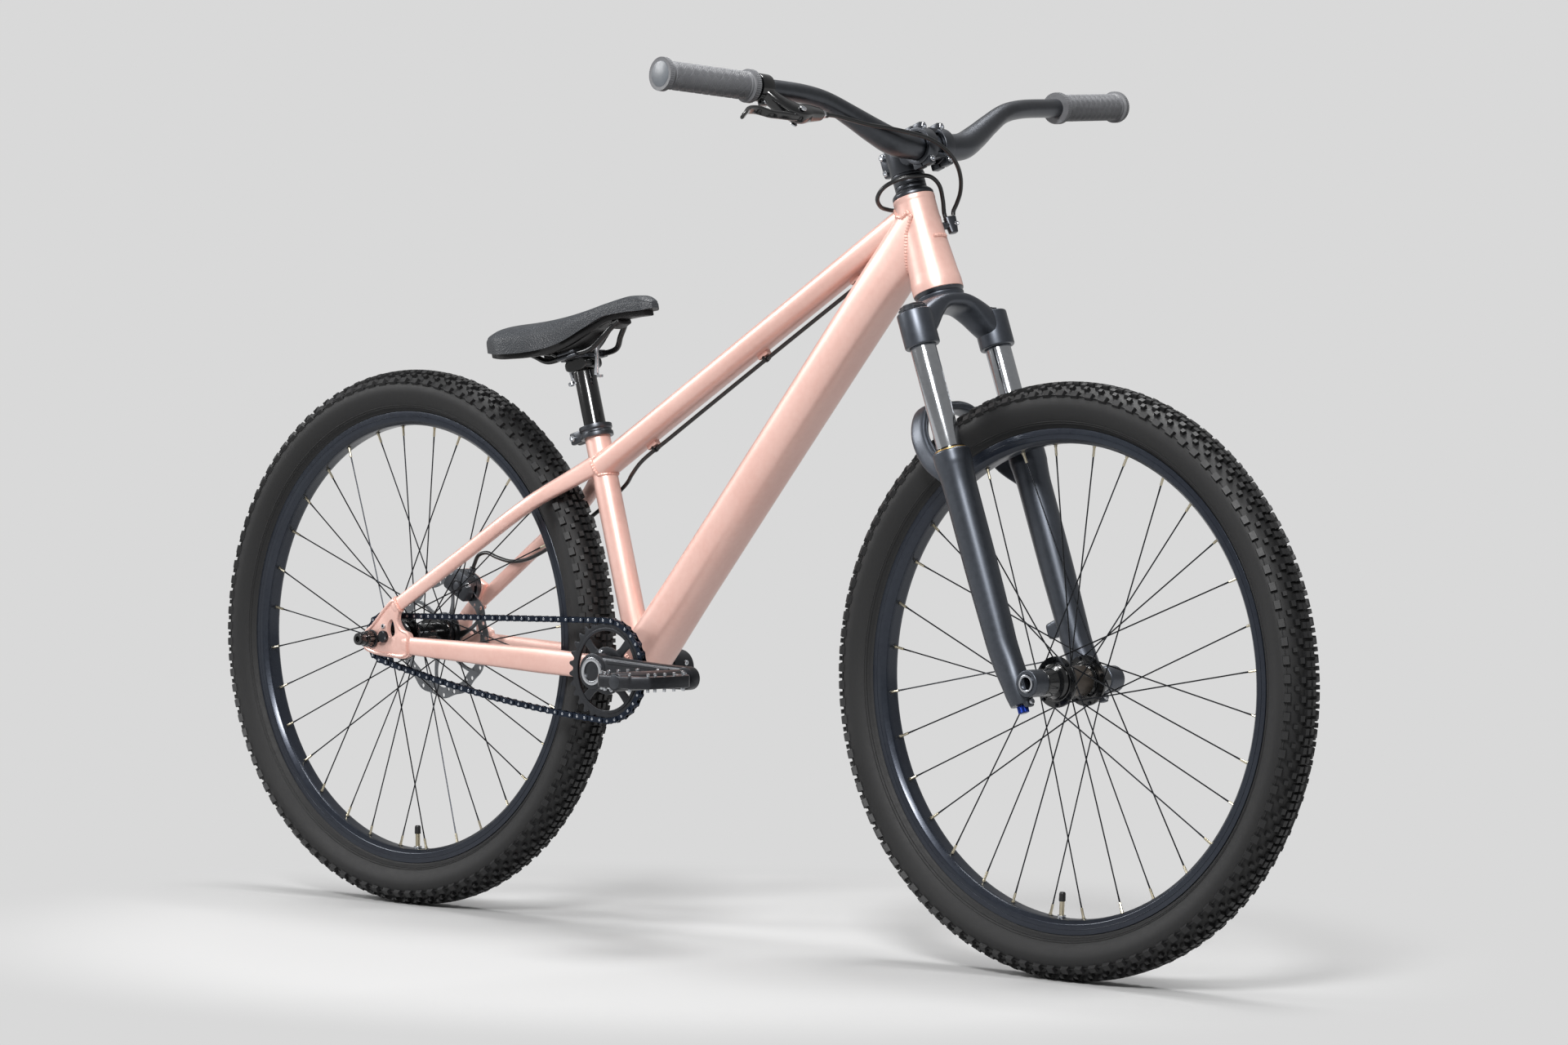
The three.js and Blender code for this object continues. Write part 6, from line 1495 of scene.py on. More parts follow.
@dataclass
class Cockpit:
    """Spacers, stem, bar, grips and the brake lever."""

    stem_low: float = 155.9
    stem_middle: float = 175.9
    stem_high: float = 195.9
    reach: float = 41.2
    half_width: float = 400.0
    rise: float = 77.0
    sweep: float = 20.7
    bar_radius: float = 15.9
    end_radius: float = 11.1
    clamp_radius: float = 21.5
    grip_rows: int = 264
    grip_columns: int = 144
    grip_core: float = 15.2
    flange_radius: float = 18.7
    flange_lengths: tuple = (7.0, 6.0)
    flange_ribs: int = 48
    collar_length: float = 7.0
    collar_pitch: float = 3.5
    diamond_length: float = 11.0
    diamonds_round: int = 8
    ridge_pitch: float = 2.6
    ridge_slope: float = 13.95
    bolt_spots: tuple = ((-15.5, -20), (-15.5, 20), (15.5, -20), (15.5, 20))
    bends: tuple = ((0, 0, 0, 1), (0.085, 0, 0, 1), (0.15, 0.01, 0.04, 1), (0.22, 0.04, 0.2, 0.75),
                    (0.3, 0.08, 0.42, 0.3), (0.385, 0.12, 0.63, 0), (0.47, 0.19, 0.735, 0), (0.66, 0.495, 0.838, 0),
                    (0.83, 0.75, 0.92, 0), (1, 1, 1, 0))

    def build(self) -> None:
        """Builds the cockpit's pieces."""
        self._spacers()
        self._stem()
        self._faceplate()
        self._bar()
        for side, sign in (("right", -1), ("left", 1)):
            self._grip(side, sign)
        self._lever_body()
        self._lever_blade()

    def _on_bar(self, out: float, back: float, up: float, side: float) -> Vector:
        """A place along the bar's middle line."""
        return Vector((self.reach - self.sweep * back, side * self.half_width * out, self.stem_middle + self.rise * up))

    def _spacers(self) -> None:
        """The stack of spacers under the stem."""
        piece = Piece("headset_spacer_stack", LAYOUT.head)
        for low, high, radius in ((137.6, 142.4, 18.5), (142.7, 152.4, 18.5), (152.7, 155.6, 20.0)):
            piece.take(ring_of(14.6, radius, low, high, 0.7, 72), SATIN_BLACK)
        piece.done("steering", ["headset_spacers"])

    def _stem(self) -> None:
        """The stem's clamp, arm, ears, rear half of the bar clamp and top cap."""
        piece = Piece("stem_forging", LAYOUT.head)
        low, middle, high = self.stem_low, self.stem_middle, self.stem_high
        piece.take(ring_of(14.6, 19.5, low, high, 1.6, 72), SATIN_BLACK)
        arm = [(8, 0, middle, 35, 32), (20, 0, middle, 34, 31), (32, 0, middle, 41, 33),
               (self.reach - 8, 0, middle, 44, 34)]
        piece.take(bar(arm, (0, 1, 0), 48, 5, 3.4), SATIN_BLACK)
        for near, far in ((-10.0, -1.2), (1.2, 10.0)):
            piece.take(block((-27, near, low + 5), (-12, far, high - 5), 2.2), SATIN_BLACK)
        for up in (-9.5, 9.5):
            piece.take(bolt(3.6, 3.0), BOLT_SILVER, towards((-21.5, -10, middle + up), (0, -1, 0)))
        at = move(self.reach, 0, middle)
        piece.take(self._half_clamp(90.0, -23.0, 23.0), SATIN_BLACK, at)
        for y, up in self.bolt_spots:
            piece.take(block((-13, y - 5.5, up - 5.5), (-0.4, y + 5.5, up + 5.5), 1.5), SATIN_BLACK, at)
        cap = [(0, high - 0.2), (16.5, high - 0.2), (16.5, high + 2.2), (14.5, high + 3.5), (5.6, high + 3.5),
               (5.0, high + 1.6), (0, high + 1.6)]
        piece.take(turned(softened(cap, 0.6, closed=False), 64), SATIN_BLACK)
        piece.take(bolt(4.4, 2.2), BOLT_SILVER, move(0, 0, high + 1.4))
        piece.done("steering", ["stem"])

    def _half_clamp(self, start: float, low: float, high: float) -> Mesh:
        """Half a ring round the bar, from an angle on."""
        outline = softened([(16.2, low), (self.clamp_radius, low), (self.clamp_radius, high), (16.2, high)], 1.2)
        body = turned(outline, 40, along_y=True, angle=180.0)
        body.transform(about("Y", start))
        return body

    def _faceplate(self) -> None:
        """The faceplate: two bands with a window between them, and four bolts."""
        piece = Piece("faceplate_bands", LAYOUT.head)
        at = move(self.reach + 0.3, 0, self.stem_middle)
        for low, high in ((-23.0, -6.5), (6.5, 23.0)):
            piece.take(self._half_clamp(-90.0, low, high), SATIN_BLACK, at)
        for low, high in ((-18.2, -11.8), (11.8, 18.2)):
            piece.take(block((0.3, -8, low), (13.5, 8, high), 1.2), SATIN_BLACK, at)
        for y, up in self.bolt_spots:
            piece.take(block((0.1, y - 5.5, up - 5.5), (13, y + 5.5, up + 5.5), 1.8), SATIN_BLACK, at)
            piece.take(bolt(3.9, 2.4), BOLT_SILVER, at @ towards((12.0, y, up), (1, 0, 0)))
        piece.done("steering", ["stem_faceplate"])

    def _bar(self) -> None:
        """The handlebar, thicker at its middle."""
        rows = []
        for side, half in ((-1, self.bends[:0:-1]), (1, self.bends)):
            for *shares, thick in half:
                size = lerp(self.end_radius, self.bar_radius, thick) * 2
                rows.append((*self._on_bar(*shares, side), size, size))
        rings = bar_rings(rows, (1, 0, 0), 40, 7, 2.0)
        Piece("handlebar_tube", LAYOUT.head).take(skinned(rings[2:-2]), SATIN_BLACK).done("steering", ["handlebar"])

    def _grip(self, side: str, sign: int) -> None:
        """A grip with raised diamonds between its two ribbed flanges."""
        inner, outer = self.bends[-3], self.bends[-1]
        spot = lambda out: self._on_bar(out, *[lerp(inner[k], outer[k], (out - inner[0]) / (outer[0] - inner[0]))
                                               for k in (1, 2)], sign)
        start, end = spot(0.668), spot(1.0)
        axis, length = (end - start).normalized(), (end - start).length
        across = (Vector((1, 0, 0)) - axis * axis.x).normalized()
        other = axis.cross(across)
        angles = [TURN * column / self.grip_columns for column in range(self.grip_columns)]
        rings = []
        for row in range(self.grip_rows + 1):
            along = length * row / self.grip_rows
            rings.append([start + axis * along + (across * math.cos(angle) + other * math.sin(angle))
                          * self._grip_radius(along, length, angle) for angle in angles])
        bore = [start + (p - start) * 0.92 for p in rings[0]]
        cap = [[end + (p - end) * share - axis * sunk for p in rings[-1]] for share, sunk in ((0.93, 0.4), (0.6, 0.0))]
        piece = Piece(f"grip_{side}_sleeve", LAYOUT.head)
        piece.take(skinned([bore, *rings, *cap]), GRIP_RUBBER)
        piece.take(disc_of(14.6, -1.6, 0.1, 0.5, 56), CAP_GREY, towards(end, axis))
        piece.done("steering", [f"grip_{side}"], crease=60)

    def _grip_radius(self, along: float, length: float, angle: float) -> float:
        """The grip's radius at a place, with its ribs, flanges and diamonds."""
        inner, outer = self.flange_lengths
        edge = min(along - inner, length - outer - along)
        if edge < 0:
            return self.flange_radius + 0.3 * math.cos(angle * self.flange_ribs)
        base = self.grip_core + 3.2 * math.exp(-edge / 1.6)
        if edge < self.collar_length:
            return base + 0.35 + 0.4 * math.cos(edge * TURN / self.collar_pitch)
        across, down = along / self.diamond_length, angle * self.diamonds_round / TURN
        up, fall = across + down, across - down
        lean = 1 if (math.floor(up) + math.floor(fall)) % 2 else -1
        ridge = math.cos((along + lean * angle * self.ridge_slope) * TURN / self.ridge_pitch)
        rim = min(abs(up - round(up)), abs(fall - round(fall)))
        return base + 0.55 + 0.42 * ridge * min(1.0, rim / 0.08) - 0.2 * (rim < 0.04)

    def _lever_body(self) -> None:
        """The lever's clamp, cylinder, reservoir cap and hose nut."""
        piece = Piece("brake_lever_cylinder", LAYOUT.lever)
        rows = [(-38, -28, 3, 17, 15), (-20, -17, 1, 19, 19), (-6, 0, 0, 20, 23), (-7, 20, 0, 18, 19),
                (-7, 42, 0, 13, 14)]
        piece.take(bar(rows, (0, 0, 1), 40, 7, 2.8, 2.0), GLOSS_BLACK)
        nut = towards((-7, 40, 0), (0, 1, 0))
        piece.take(hex_bar(4.8, 0, 7.5, 0.5), BOLT_SILVER, nut)
        piece.take(disc_of(3.7, 6.5, 13.5, 0.8, 24), TIE_BLACK, nut)
        piece.take(bolt(4.2, 1.6), BOLT_SILVER, move(-1, 0, 10.6))
        piece.take(bolt(4.2, 1.6), BOLT_SILVER, move(-1, 0, -10.6) @ about("X", 180))
        piece.done("steering", ["brake_lever_body"])
        ring = Piece("brake_lever_clamp", LAYOUT.head)
        near, far = self.bends[-4], self.bends[-3]
        share = (253.0 / self.half_width - near[0]) / (far[0] - near[0])
        centre = self._on_bar(*[lerp(near[k], far[k], share) for k in range(3)], -1)
        along = (self._on_bar(*far[:3], -1) - centre).normalized()
        at = towards(centre, along)
        ring.take(ring_of(11.4, 16.0, -8.5, 8.5, 1.4, 64), GLOSS_BLACK, at)
        ring.take(block((-3.4, -21.5, -6.0), (3.4, -14.0, 6.0), 1.2), GLOSS_BLACK, at)
        ring.take(bolt(2.6, 1.8), BOLT_SILVER, at @ towards((3.4, -18.2, 0), (1, 0, 0)))
        ring.done("steering")

    def _lever_blade(self) -> None:
        """The polished blade with its hooked tip."""
        piece = Piece("brake_lever_blade", LAYOUT.lever)
        rows = [(0, 5, 0, 10, 9), (0, -10, 0, 10, 8.5), (-1, -30, 0, 10, 7), (-2, -46, 0, 10, 6),
                (-7.5, -63, 0, 11, 5.5), (-5.5, -80, 0, 11, 5), (3.5, -93, 0, 10, 4.5), (6, -98, 0, 8, 4)]
        piece.take(bar(rows, (0, 0, 1), 32, 6, 3.0, 1.6), GLOSS_BLACK)
        piece.done("brake_lever", ["brake_lever"])


# Seatpost and saddle


@dataclass
class Saddle:
    """The seatpost, its head, the rails, the base and the padded cover."""

    length: float = 253.0
    rear: float = 119.0
    width: float = 138.0
    height: float = 76.0
    floor: float = 50.0
    wall: float = 7.0
    seam_rise: float = 0.62
    seam_width: float = 0.045
    seam_depth: float = 0.9
    dip_width: float = 9.0
    dip_depth: float = 1.6
    end_round: float = 0.02
    hem_tuck: float = 0.15
    outline: tuple = ((0, 0.42, 0.93, 0.76), (0.05, 0.8, 0.97, 0.6), (0.17, 1, 0.99, 0.49), (0.32, 0.88, 0.94, 0.42),
                      (0.46, 0.6, 0.92, 0.45), (0.6, 0.39, 0.93, 0.61), (0.73, 0.31, 0.95, 0.72),
                      (0.86, 0.27, 0.96, 0.69), (0.95, 0.23, 0.9, 0.65), (1, 0.12, 0.78, 0.66))

    def build(self) -> None:
        """Builds the saddle's pieces."""
        self._post()
        self._head()
        self._rails()
        self._base()
        self._cover()

    def _post(self) -> None:
        """The gloss seatpost."""
        tube = ring_of(11.2, 13.6, 146, LAYOUT.post_top, 0.6, 64)
        Piece("seatpost_tube", LAYOUT.seat).take(tube, GLOSS_BLACK).done("seat", ["seatpost"])

    def _head(self) -> None:
        """The post's head, both cradles and the silver bolts."""
        piece = Piece("saddle_clamp_head", LAYOUT.saddle)
        rows = [(0, -14.5, 8.6, 37, 15.5), (0, 0, 8.6, 38, 16), (0, 14.5, 8.6, 37, 15.5)]
        piece.take(bar(rows, (1, 0, 0), 48, 4, 3.0, 1.6), GLOSS_BLACK)
        for low, high in ((-28.8, -17.0), (17.0, 28.8)):
            piece.take(block((-17, low, 15.6), (17, high, 20.2), 1.6), SATIN_BLACK)
            piece.take(block((-15, low, 20.8), (15, high, 25.0), 1.8), SATIN_BLACK)
        for end in (-1, 1):
            piece.take(block((end * 12.5 - 4.5, -22, 14.5), (end * 12.5 + 4.5, 22, 20.0), 1.4), SATIN_BLACK)
            piece.take(disc_of(3.0, -12, 24.5, 0.5, 24), BOLT_SILVER, move(end * 22.0, 0, 3.5) @ about("Y", end * 12))
            piece.take(bolt(4.4, 3.6), BOLT_SILVER, move(end * 24.6, 0, -8.8) @ about("Y", 180 + end * 12))
        piece.done("seat", ["saddle_clamp"])

    def _rails(self) -> None:
        """The bent rod that carries the saddle."""
        right = [(-80, -22, 44), (-59, -22, 32.2), (-38, -22, 20.5), (0, -22, 20.5), (38, -22, 20.5),
                 (55, -15, 32.2), (72, -8, 44)]
        route = [Vector(p) for p in (*right, (76, 0, 44), *[(x, -y, z) for x, y, z in reversed(right)])]
        line = [curve_point(route, i / 120) for i in range(121)]
        Piece("saddle_rail_rod", LAYOUT.saddle).take(swept(line, 3.5, 20), RAIL_BLACK).done("seat", ["saddle_rails"])

    def _station(self, share: float) -> tuple[float, float, float, float]:
        """The saddle's place, half width, crest and hem at a share of its length."""
        rows = [Vector(row[1:]) for row in self.outline]
        at = [row[0] for row in self.outline]
        index = max(k for k in range(len(at) - 1) if at[k] <= share)
        local = (share - at[index]) / (at[index + 1] - at[index])
        row = curve_point(rows, (index + local) / (len(rows) - 1))
        half = self.width / 2 * row.x
        return -self.rear + share * self.length, half, row.y * self.height, row.z * self.height

    def _cover(self) -> None:
        """The crowned cover, with a seam along each side and a hem tucked under."""
        rows, columns = 60, 56
        rings = []
        for row in range(rows + 1):
            share = (1 - math.cos(math.pi * row / rows)) / 2
            x, half, crest, hem = self._station(min(share, 0.99999))
            half *= 0.55 + 0.45 * math.sqrt(min(1.0, share / self.end_round, (1 - share) / self.end_round))
            inner, under = max(half - self.wall, half / 2), max(hem, self.floor)
            ring = []
            for column in range(columns + 1):
                angle = math.pi * column / columns
                rise = math.sin(angle) ** (1 / 2.5)
                y = math.cos(angle) * half
                seam = math.exp(-(((rise - self.seam_rise) / self.seam_width) ** 2)) * self.seam_depth
                groove = math.exp(-((y / self.dip_width) ** 2)) * self.dip_depth
                dip = groove * max(0.0, math.sin(math.pi * share)) if rise > 0.9 else 0.0
                ring.append(Vector((x, y - math.copysign(seam, y), lerp(hem, crest, rise) - dip)))
            tucked = lerp(under, hem, self.hem_tuck)
            for inward, z in ((-1.0, tucked), (-0.5, under), (0.5, under), (1.0, tucked)):
                ring.append(Vector((x, inward * inner, z)))
            rings.append(ring)
        piece = Piece("saddle_skin", LAYOUT.saddle)
        piece.take(skinned(rings), SADDLE_VINYL)
        made = piece.done("seat", ["saddle_cover"], crease=50)

    def _base(self) -> None:
        """The plastic base with its ribs, and its edge below the cover's hem."""
        rings = []
        for row in range(41):
            x, half, _, hem = self._station(0.05 + 0.9 * row / 40)
            under, low = max(hem, self.floor) - 0.4, hem - 6
            inner = max(half - self.wall, half / 2) - 0.3
            core = max(inner - 5.5, inner / 2)
            right = [(-inner, under), (-inner, low + 1), (-inner + 1, low), (-core, low), (-core, under - 6)]
            rings.append([Vector((x, y, z)) for y, z in (*right, *[(-y, z) for y, z in reversed(right)])])
        piece = Piece("saddle_shell", LAYOUT.saddle)
        piece.take(skinned(rings), SADDLE_PLASTIC)
        for rib in ([(-84, -22, 44.5, 13, 11), (-72, -22, 40, 11, 9)], [(-84, 22, 44.5, 13, 11), (-72, 22, 40, 11, 9)],
                    [(66, 0, 43, 26, 10), (80, 0, 46, 24, 9)]):
            piece.take(bar(rib, (0, 1, 0), 28, 4, 3.0, 1.5), SADDLE_PLASTIC)
        piece.done("seat", ["saddle_base"], crease=40)


# Cranks, chain and pedals


@dataclass
class Drivetrain:
    """Bearing cups, cranks, chainring, chain and pedals."""

    crank_length: float = 160.0
    chain_line: float = 54.0
    pitch: float = 12.7
    ring_teeth: int = 30
    cog_teeth: int = 14
    sag: float = 8.0
    eye_face: float = 88.0
    plate_thickness: float = 0.85
    roller_radius: float = 3.8
    pin_radius: float = 1.75
    platform_half: float = 43.0
    platform_ends: tuple = (106.0, 206.0)

    @property
    def ring_radius(self) -> float:
        """The chainring's pitch radius."""
        return self.pitch / 2 / math.sin(math.pi / self.ring_teeth)

    def build(self) -> None:
        """Builds the drivetrain's pieces."""
        self._cups()
        self._cranks()
        self._chainring()
        self._chain()
        for side, sign in (("right", -1), ("left", 1)):
            self._pedal(side, sign)

    def _cups(self) -> None:
        """The notched bearing cups."""
        face = about("X", 90)
        for side, flip in (("right", BIKE), ("left", MIRROR)):
            piece = Piece(f"bearing_cup_{side}_ring", flip @ LAYOUT.bracket)
            piece.take(ring_of(15.0, 20.4, 36.9, 41.6, 0.5, 64), SATIN_BLACK, face)
            piece.take(notched(21.5, 15.1, 37.4, 41.0, 16), SATIN_BLACK, face)
            piece.take(ring_of(15.0, 17.0, 26.0, 37.2, 0.3, 48), SATIN_BLACK, face)
            piece.done("frame", [f"bearing_cup_{side}"])

    def _arm(self, piece: Piece, boss_in: float, boss_face: float, flip: Matrix) -> None:
        """A crank arm that points forward, on the right, with a raised rib along each edge."""
        length, end = self.crank_length, self.eye_face
        face = lambda share: -lerp(boss_face, end, share)
        rows = [(2, -boss_face + 8.4, 0, 15.5, 40), (28, -boss_face + 8.2, 0, 15.5, 37.5),
                (length * 0.5, face(0.5) + 7.5, 0, 14.6, 33.0), (length * 0.8, face(0.8) + 7.2, 0, 14.2, 29.0),
                (length, -81, 0, 14, 27.5)]
        piece.take(bar(rows, (0, 1, 0), 48, 7, 3.6), FORGED_BLACK, flip)
        piece.take(disc_of(22, -boss_face, -boss_in, 1.8, 72, True), FORGED_BLACK, flip)
        piece.take(disc_of(13.9, -end, -74, 1.8, 56, True), FORGED_BLACK, flip @ move(length))
        for up in (-1, 1):
            rib = [(24, -boss_face - 0.2, up * 13.0, 2.6, 5.0), (length * 0.5, face(0.5) + 0.1, up * 11.0, 2.6, 4.6),
                   (length * 0.84, face(0.84) + 0.2, up * 8.6, 2.4, 4.0)]
            piece.take(bar(rib, (0, 1, 0), 20, 8, 2.6, 1.2), FORGED_BLACK, flip)
        at = flip @ towards((length, -end, 0), (0, -1, 0))
        piece.take(ring_of(5.2, 8.4, -0.2, 0.9, 0.3, 40), BOLT_SILVER, at)

    def _cranks(self) -> None:
        """Both arms, the hollow spindle and its silver ring."""
        right = Piece("crank_right_forging", LAYOUT.bracket)
        self._arm(right, 61, 80, BIKE)
        right.take(ring_of(12.0, 14.5, -79.6, 75.6, 0.6, 56, True), BOLT_SILVER)
        right.take(ring_of(12.0, 16.8, -81.6, -79.2, 0.6, 56, True), BOLT_SILVER)
        right.take(disc_of(11.8, -70, -66, 0.3, 40, True), SATIN_BLACK)
        right.take(disc_of(20.0, -62, -42.4, 1.0, 56, True), FORGED_BLACK)
        right.done("crank", ["crank_arm_right"])
        left = Piece("crank_left_forging", LAYOUT.bracket)
        turn = about("Y", 180) @ MIRROR
        self._arm(left, 42.4, 76, turn)
        left.take(bolt(9.0, 2.4), SATIN_BLACK, turn @ towards((0, -76, 0), (0, -1, 0)))
        for shift in (-7, 7):
            left.take(bolt(3.2, 2.0), BOLT_SILVER, turn @ towards((-20.5, -62, shift), (-1, 0, 0)))
        left.done("crank", ["crank_arm_left"])

    def _chainring(self) -> None:
        """The thin toothed band on its slim arms."""
        radius, line = self.ring_radius, -self.chain_line
        inside = radius - 12.6
        piece = Piece("chainring_blade", LAYOUT.bracket)
        blade = plate(teeth(self.ring_teeth, radius), line - 1.1, line + 1.1, [circle(inside, 96)], 0.3)
        piece.take(blade, FORGED_BLACK)
        piece.take(ring_of(inside, radius - 8.6, line - 1.9, line + 1.9, 0.6, 96, True), FORGED_BLACK)
        piece.take(ring_of(20.3, 29.0, line - 1.3, line + 1.1, 0.5, 64, True), FORGED_BLACK)
        arm = [(27, line, 0, 2.4, 15), (36, line, 0, 2.4, 10.5), (radius - 11, line, 0, 2.4, 12)]
        for degrees in (-45, -135, -225, -315):
            piece.take(bar(arm, (0, 1, 0), 28, 4, 5.0), FORGED_BLACK, about("Y", degrees))
            at = about("Y", degrees + 22) @ move(24.6, line - 1.3) @ about("X", 90)
            piece.take(bolt(2.9, 1.6), BOLT_SILVER, at)
        piece.done("crank", ["chainring"])

    def _belt(self) -> list[Vector]:
        """The chain's pitch line, from the foot of the chainring round its front and the cog and back."""
        front, back = LAYOUT.bracket.translation, LAYOUT.rear.translation
        ring, cog = self.ring_radius, self.pitch / 2 / math.sin(math.pi / self.cog_teeth)
        lean = math.atan2(front.z - back.z, front.x - back.x)
        wrap = math.acos((cog - ring) / math.hypot(front.x - back.x, front.z - back.z))
        line = []
        for centre, radius, start, end, count in ((front, ring, -wrap, wrap, 60), (back, cog, wrap, TURN - wrap, 40)):
            for index in range(count + 1):
                x, z = polar(radius, lean + lerp(start, end, index / count))
                line.append(Vector((centre.x + x, -self.chain_line, centre.z + z)))
        low, high = line[-1], line[0]
        hang = lambda share: Vector((0, 0, -self.sag * 4 * share * (1 - share)))
        return [*line, *[low.lerp(high, i / 30) + hang(i / 30) for i in range(1, 30)]]

    def _chain(self) -> None:
        """The chain, link by link: inner and outer plates, rollers and bright pins."""
        pins = spaced(self._belt(), lambda length: 2 * round(length / self.pitch / 2))
        piece = Piece("chain_links", BIKE)
        for index, (pin, after) in enumerate(zip(pins, pins[1:] + pins[:1])):
            out = 1.0 if index % 2 else 0.0
            lean = math.atan2(after.z - pin.z, after.x - pin.x)
            at = Matrix.Translation(pin) @ Matrix.Rotation(-lean, 4, "Y")
            for y in (-2.75 - out, 1.95 + out):
                piece.take(link_plate((after - pin).length, y, y + self.plate_thickness), CHAIN_STEEL, at)
            piece.take(disc_of(self.roller_radius, -1.7, 1.7, 0.2, 12, True), CHAIN_STEEL, at)
            piece.take(disc_of(self.pin_radius, -4.2, 4.2, 0.3, 12, True), PIN_STEEL, at)
        piece.done("frame", ["chain"], crease=45)

    def _pedal(self, side: str, sign: int) -> None:
        """A platform pedal with its pins, its axle and its dust cap."""
        place = LAYOUT.bracket @ move(-sign * self.crank_length)
        flip = MIRROR if side == "left" else BIKE
        axle = Piece(f"pedal_axle_{side}_rod", place @ flip)
        axle.take(disc_of(7.0, -102, -86, 0.6, 32, True), BOLT_SILVER)
        axle.take(disc_of(5.6, -196, -74, 0.4, 32, True), BOLT_SILVER)
        axle.take(hex_bar(8.2, 90.5, 97.5, 0.6), BOLT_SILVER, about("X", 90))
        axle.done("crank", [f"pedal_axle_{side}"])
        piece = Piece(f"pedal_{side}_platform", place @ flip)
        self._platform(piece)
        piece.done(f"pedal_{side}", [f"pedal_{side}"], crease=40)

    def _platform(self, piece: Piece) -> None:
        """The platform's frame, core, cross bars and pins, on the right of the bicycle."""
        outlines = []
        for inset, corner in ((0, 17.0), (10.5, 12.5)):
            x, near, far = self.platform_half - inset, self.platform_ends[0] + inset, self.platform_ends[1] - inset
            half = [(-x + corner, near), (-x, near + corner), (-x, far - corner), (-x + corner, far)]
            outlines.append(softened([*half, *[(-a, out) for a, out in reversed(half)]], 3.0))
        piece.take(plate(outlines[0], -7.2, 7.2, outlines[1:], 1.8), FORGED_BLACK, about("X", 90) @ MIRROR)
        piece.take(disc_of(11.0, -205.4, -94.4, 1.6, 48, True), FORGED_BLACK)
        piece.take(disc_of(8.4, -206.2, -204.8, 0.5, 40, True), SATIN_BLACK)
        for x in (-21.5, 21.5):
            piece.take(block((x - 3.2, -200, -5.6), (x + 3.2, -112, 5.6), 1.4), FORGED_BLACK)
        for out in (138.0, 172.0):
            piece.take(block((-36, -out - 3.4, -5.0), (36, -out + 3.4, 5.0), 1.4), FORGED_BLACK)
        spots = [(x, out) for x in (-37.5, 37.5) for out in (128.0, 144.0, 160.0, 176.0, 188.0)]
        spots += [(x, out) for x in (-20.0, 20.0) for out in (111.5, 200.5)]
        for x, out in spots:
            for up, face in ((7.0, BIKE), (-7.0, about("X", 180))):
                piece.take(hex_bar(2.1, -0.5, 4.2, 0.3), BOLT_SILVER, move(x, -out, up) @ face)


def link_plate(reach: float, low: float, high: float) -> Mesh:
    """A chain's side plate, waisted between its two pins."""
    outline = []
    for centre, start, waist in ((reach, -70, 2.9), (0.0, 110, -2.9)):
        ends = [polar(4.1, math.radians(start + 28 * step)) for step in range(6)]
        outline += [*[(centre + x, z) for x, z in ends], (reach / 2, waist)]
    return plate(outline, low, high, soft=0)


def notched(outer: float, inner: float, low: float, high: float, notches: int) -> Mesh:
    """A ring along Z with notches round it for a tool."""
    shape = ((0.0, outer), (0.58, outer), (0.62, outer - 1.6), (0.96, outer - 1.6))
    outline = [polar(size, TURN * (index + share) / notches) for index in range(notches) for share, size in shape]
    body = plate(outline, low, high, [circle(inner, 48)], 0.3)
    body.transform(about("X", -90) @ Matrix.Scale(-1, 4, (0, 0, 1)))
    bmesh.ops.recalc_face_normals(body, faces=body.faces)
    return body


# Rear brake and hoses


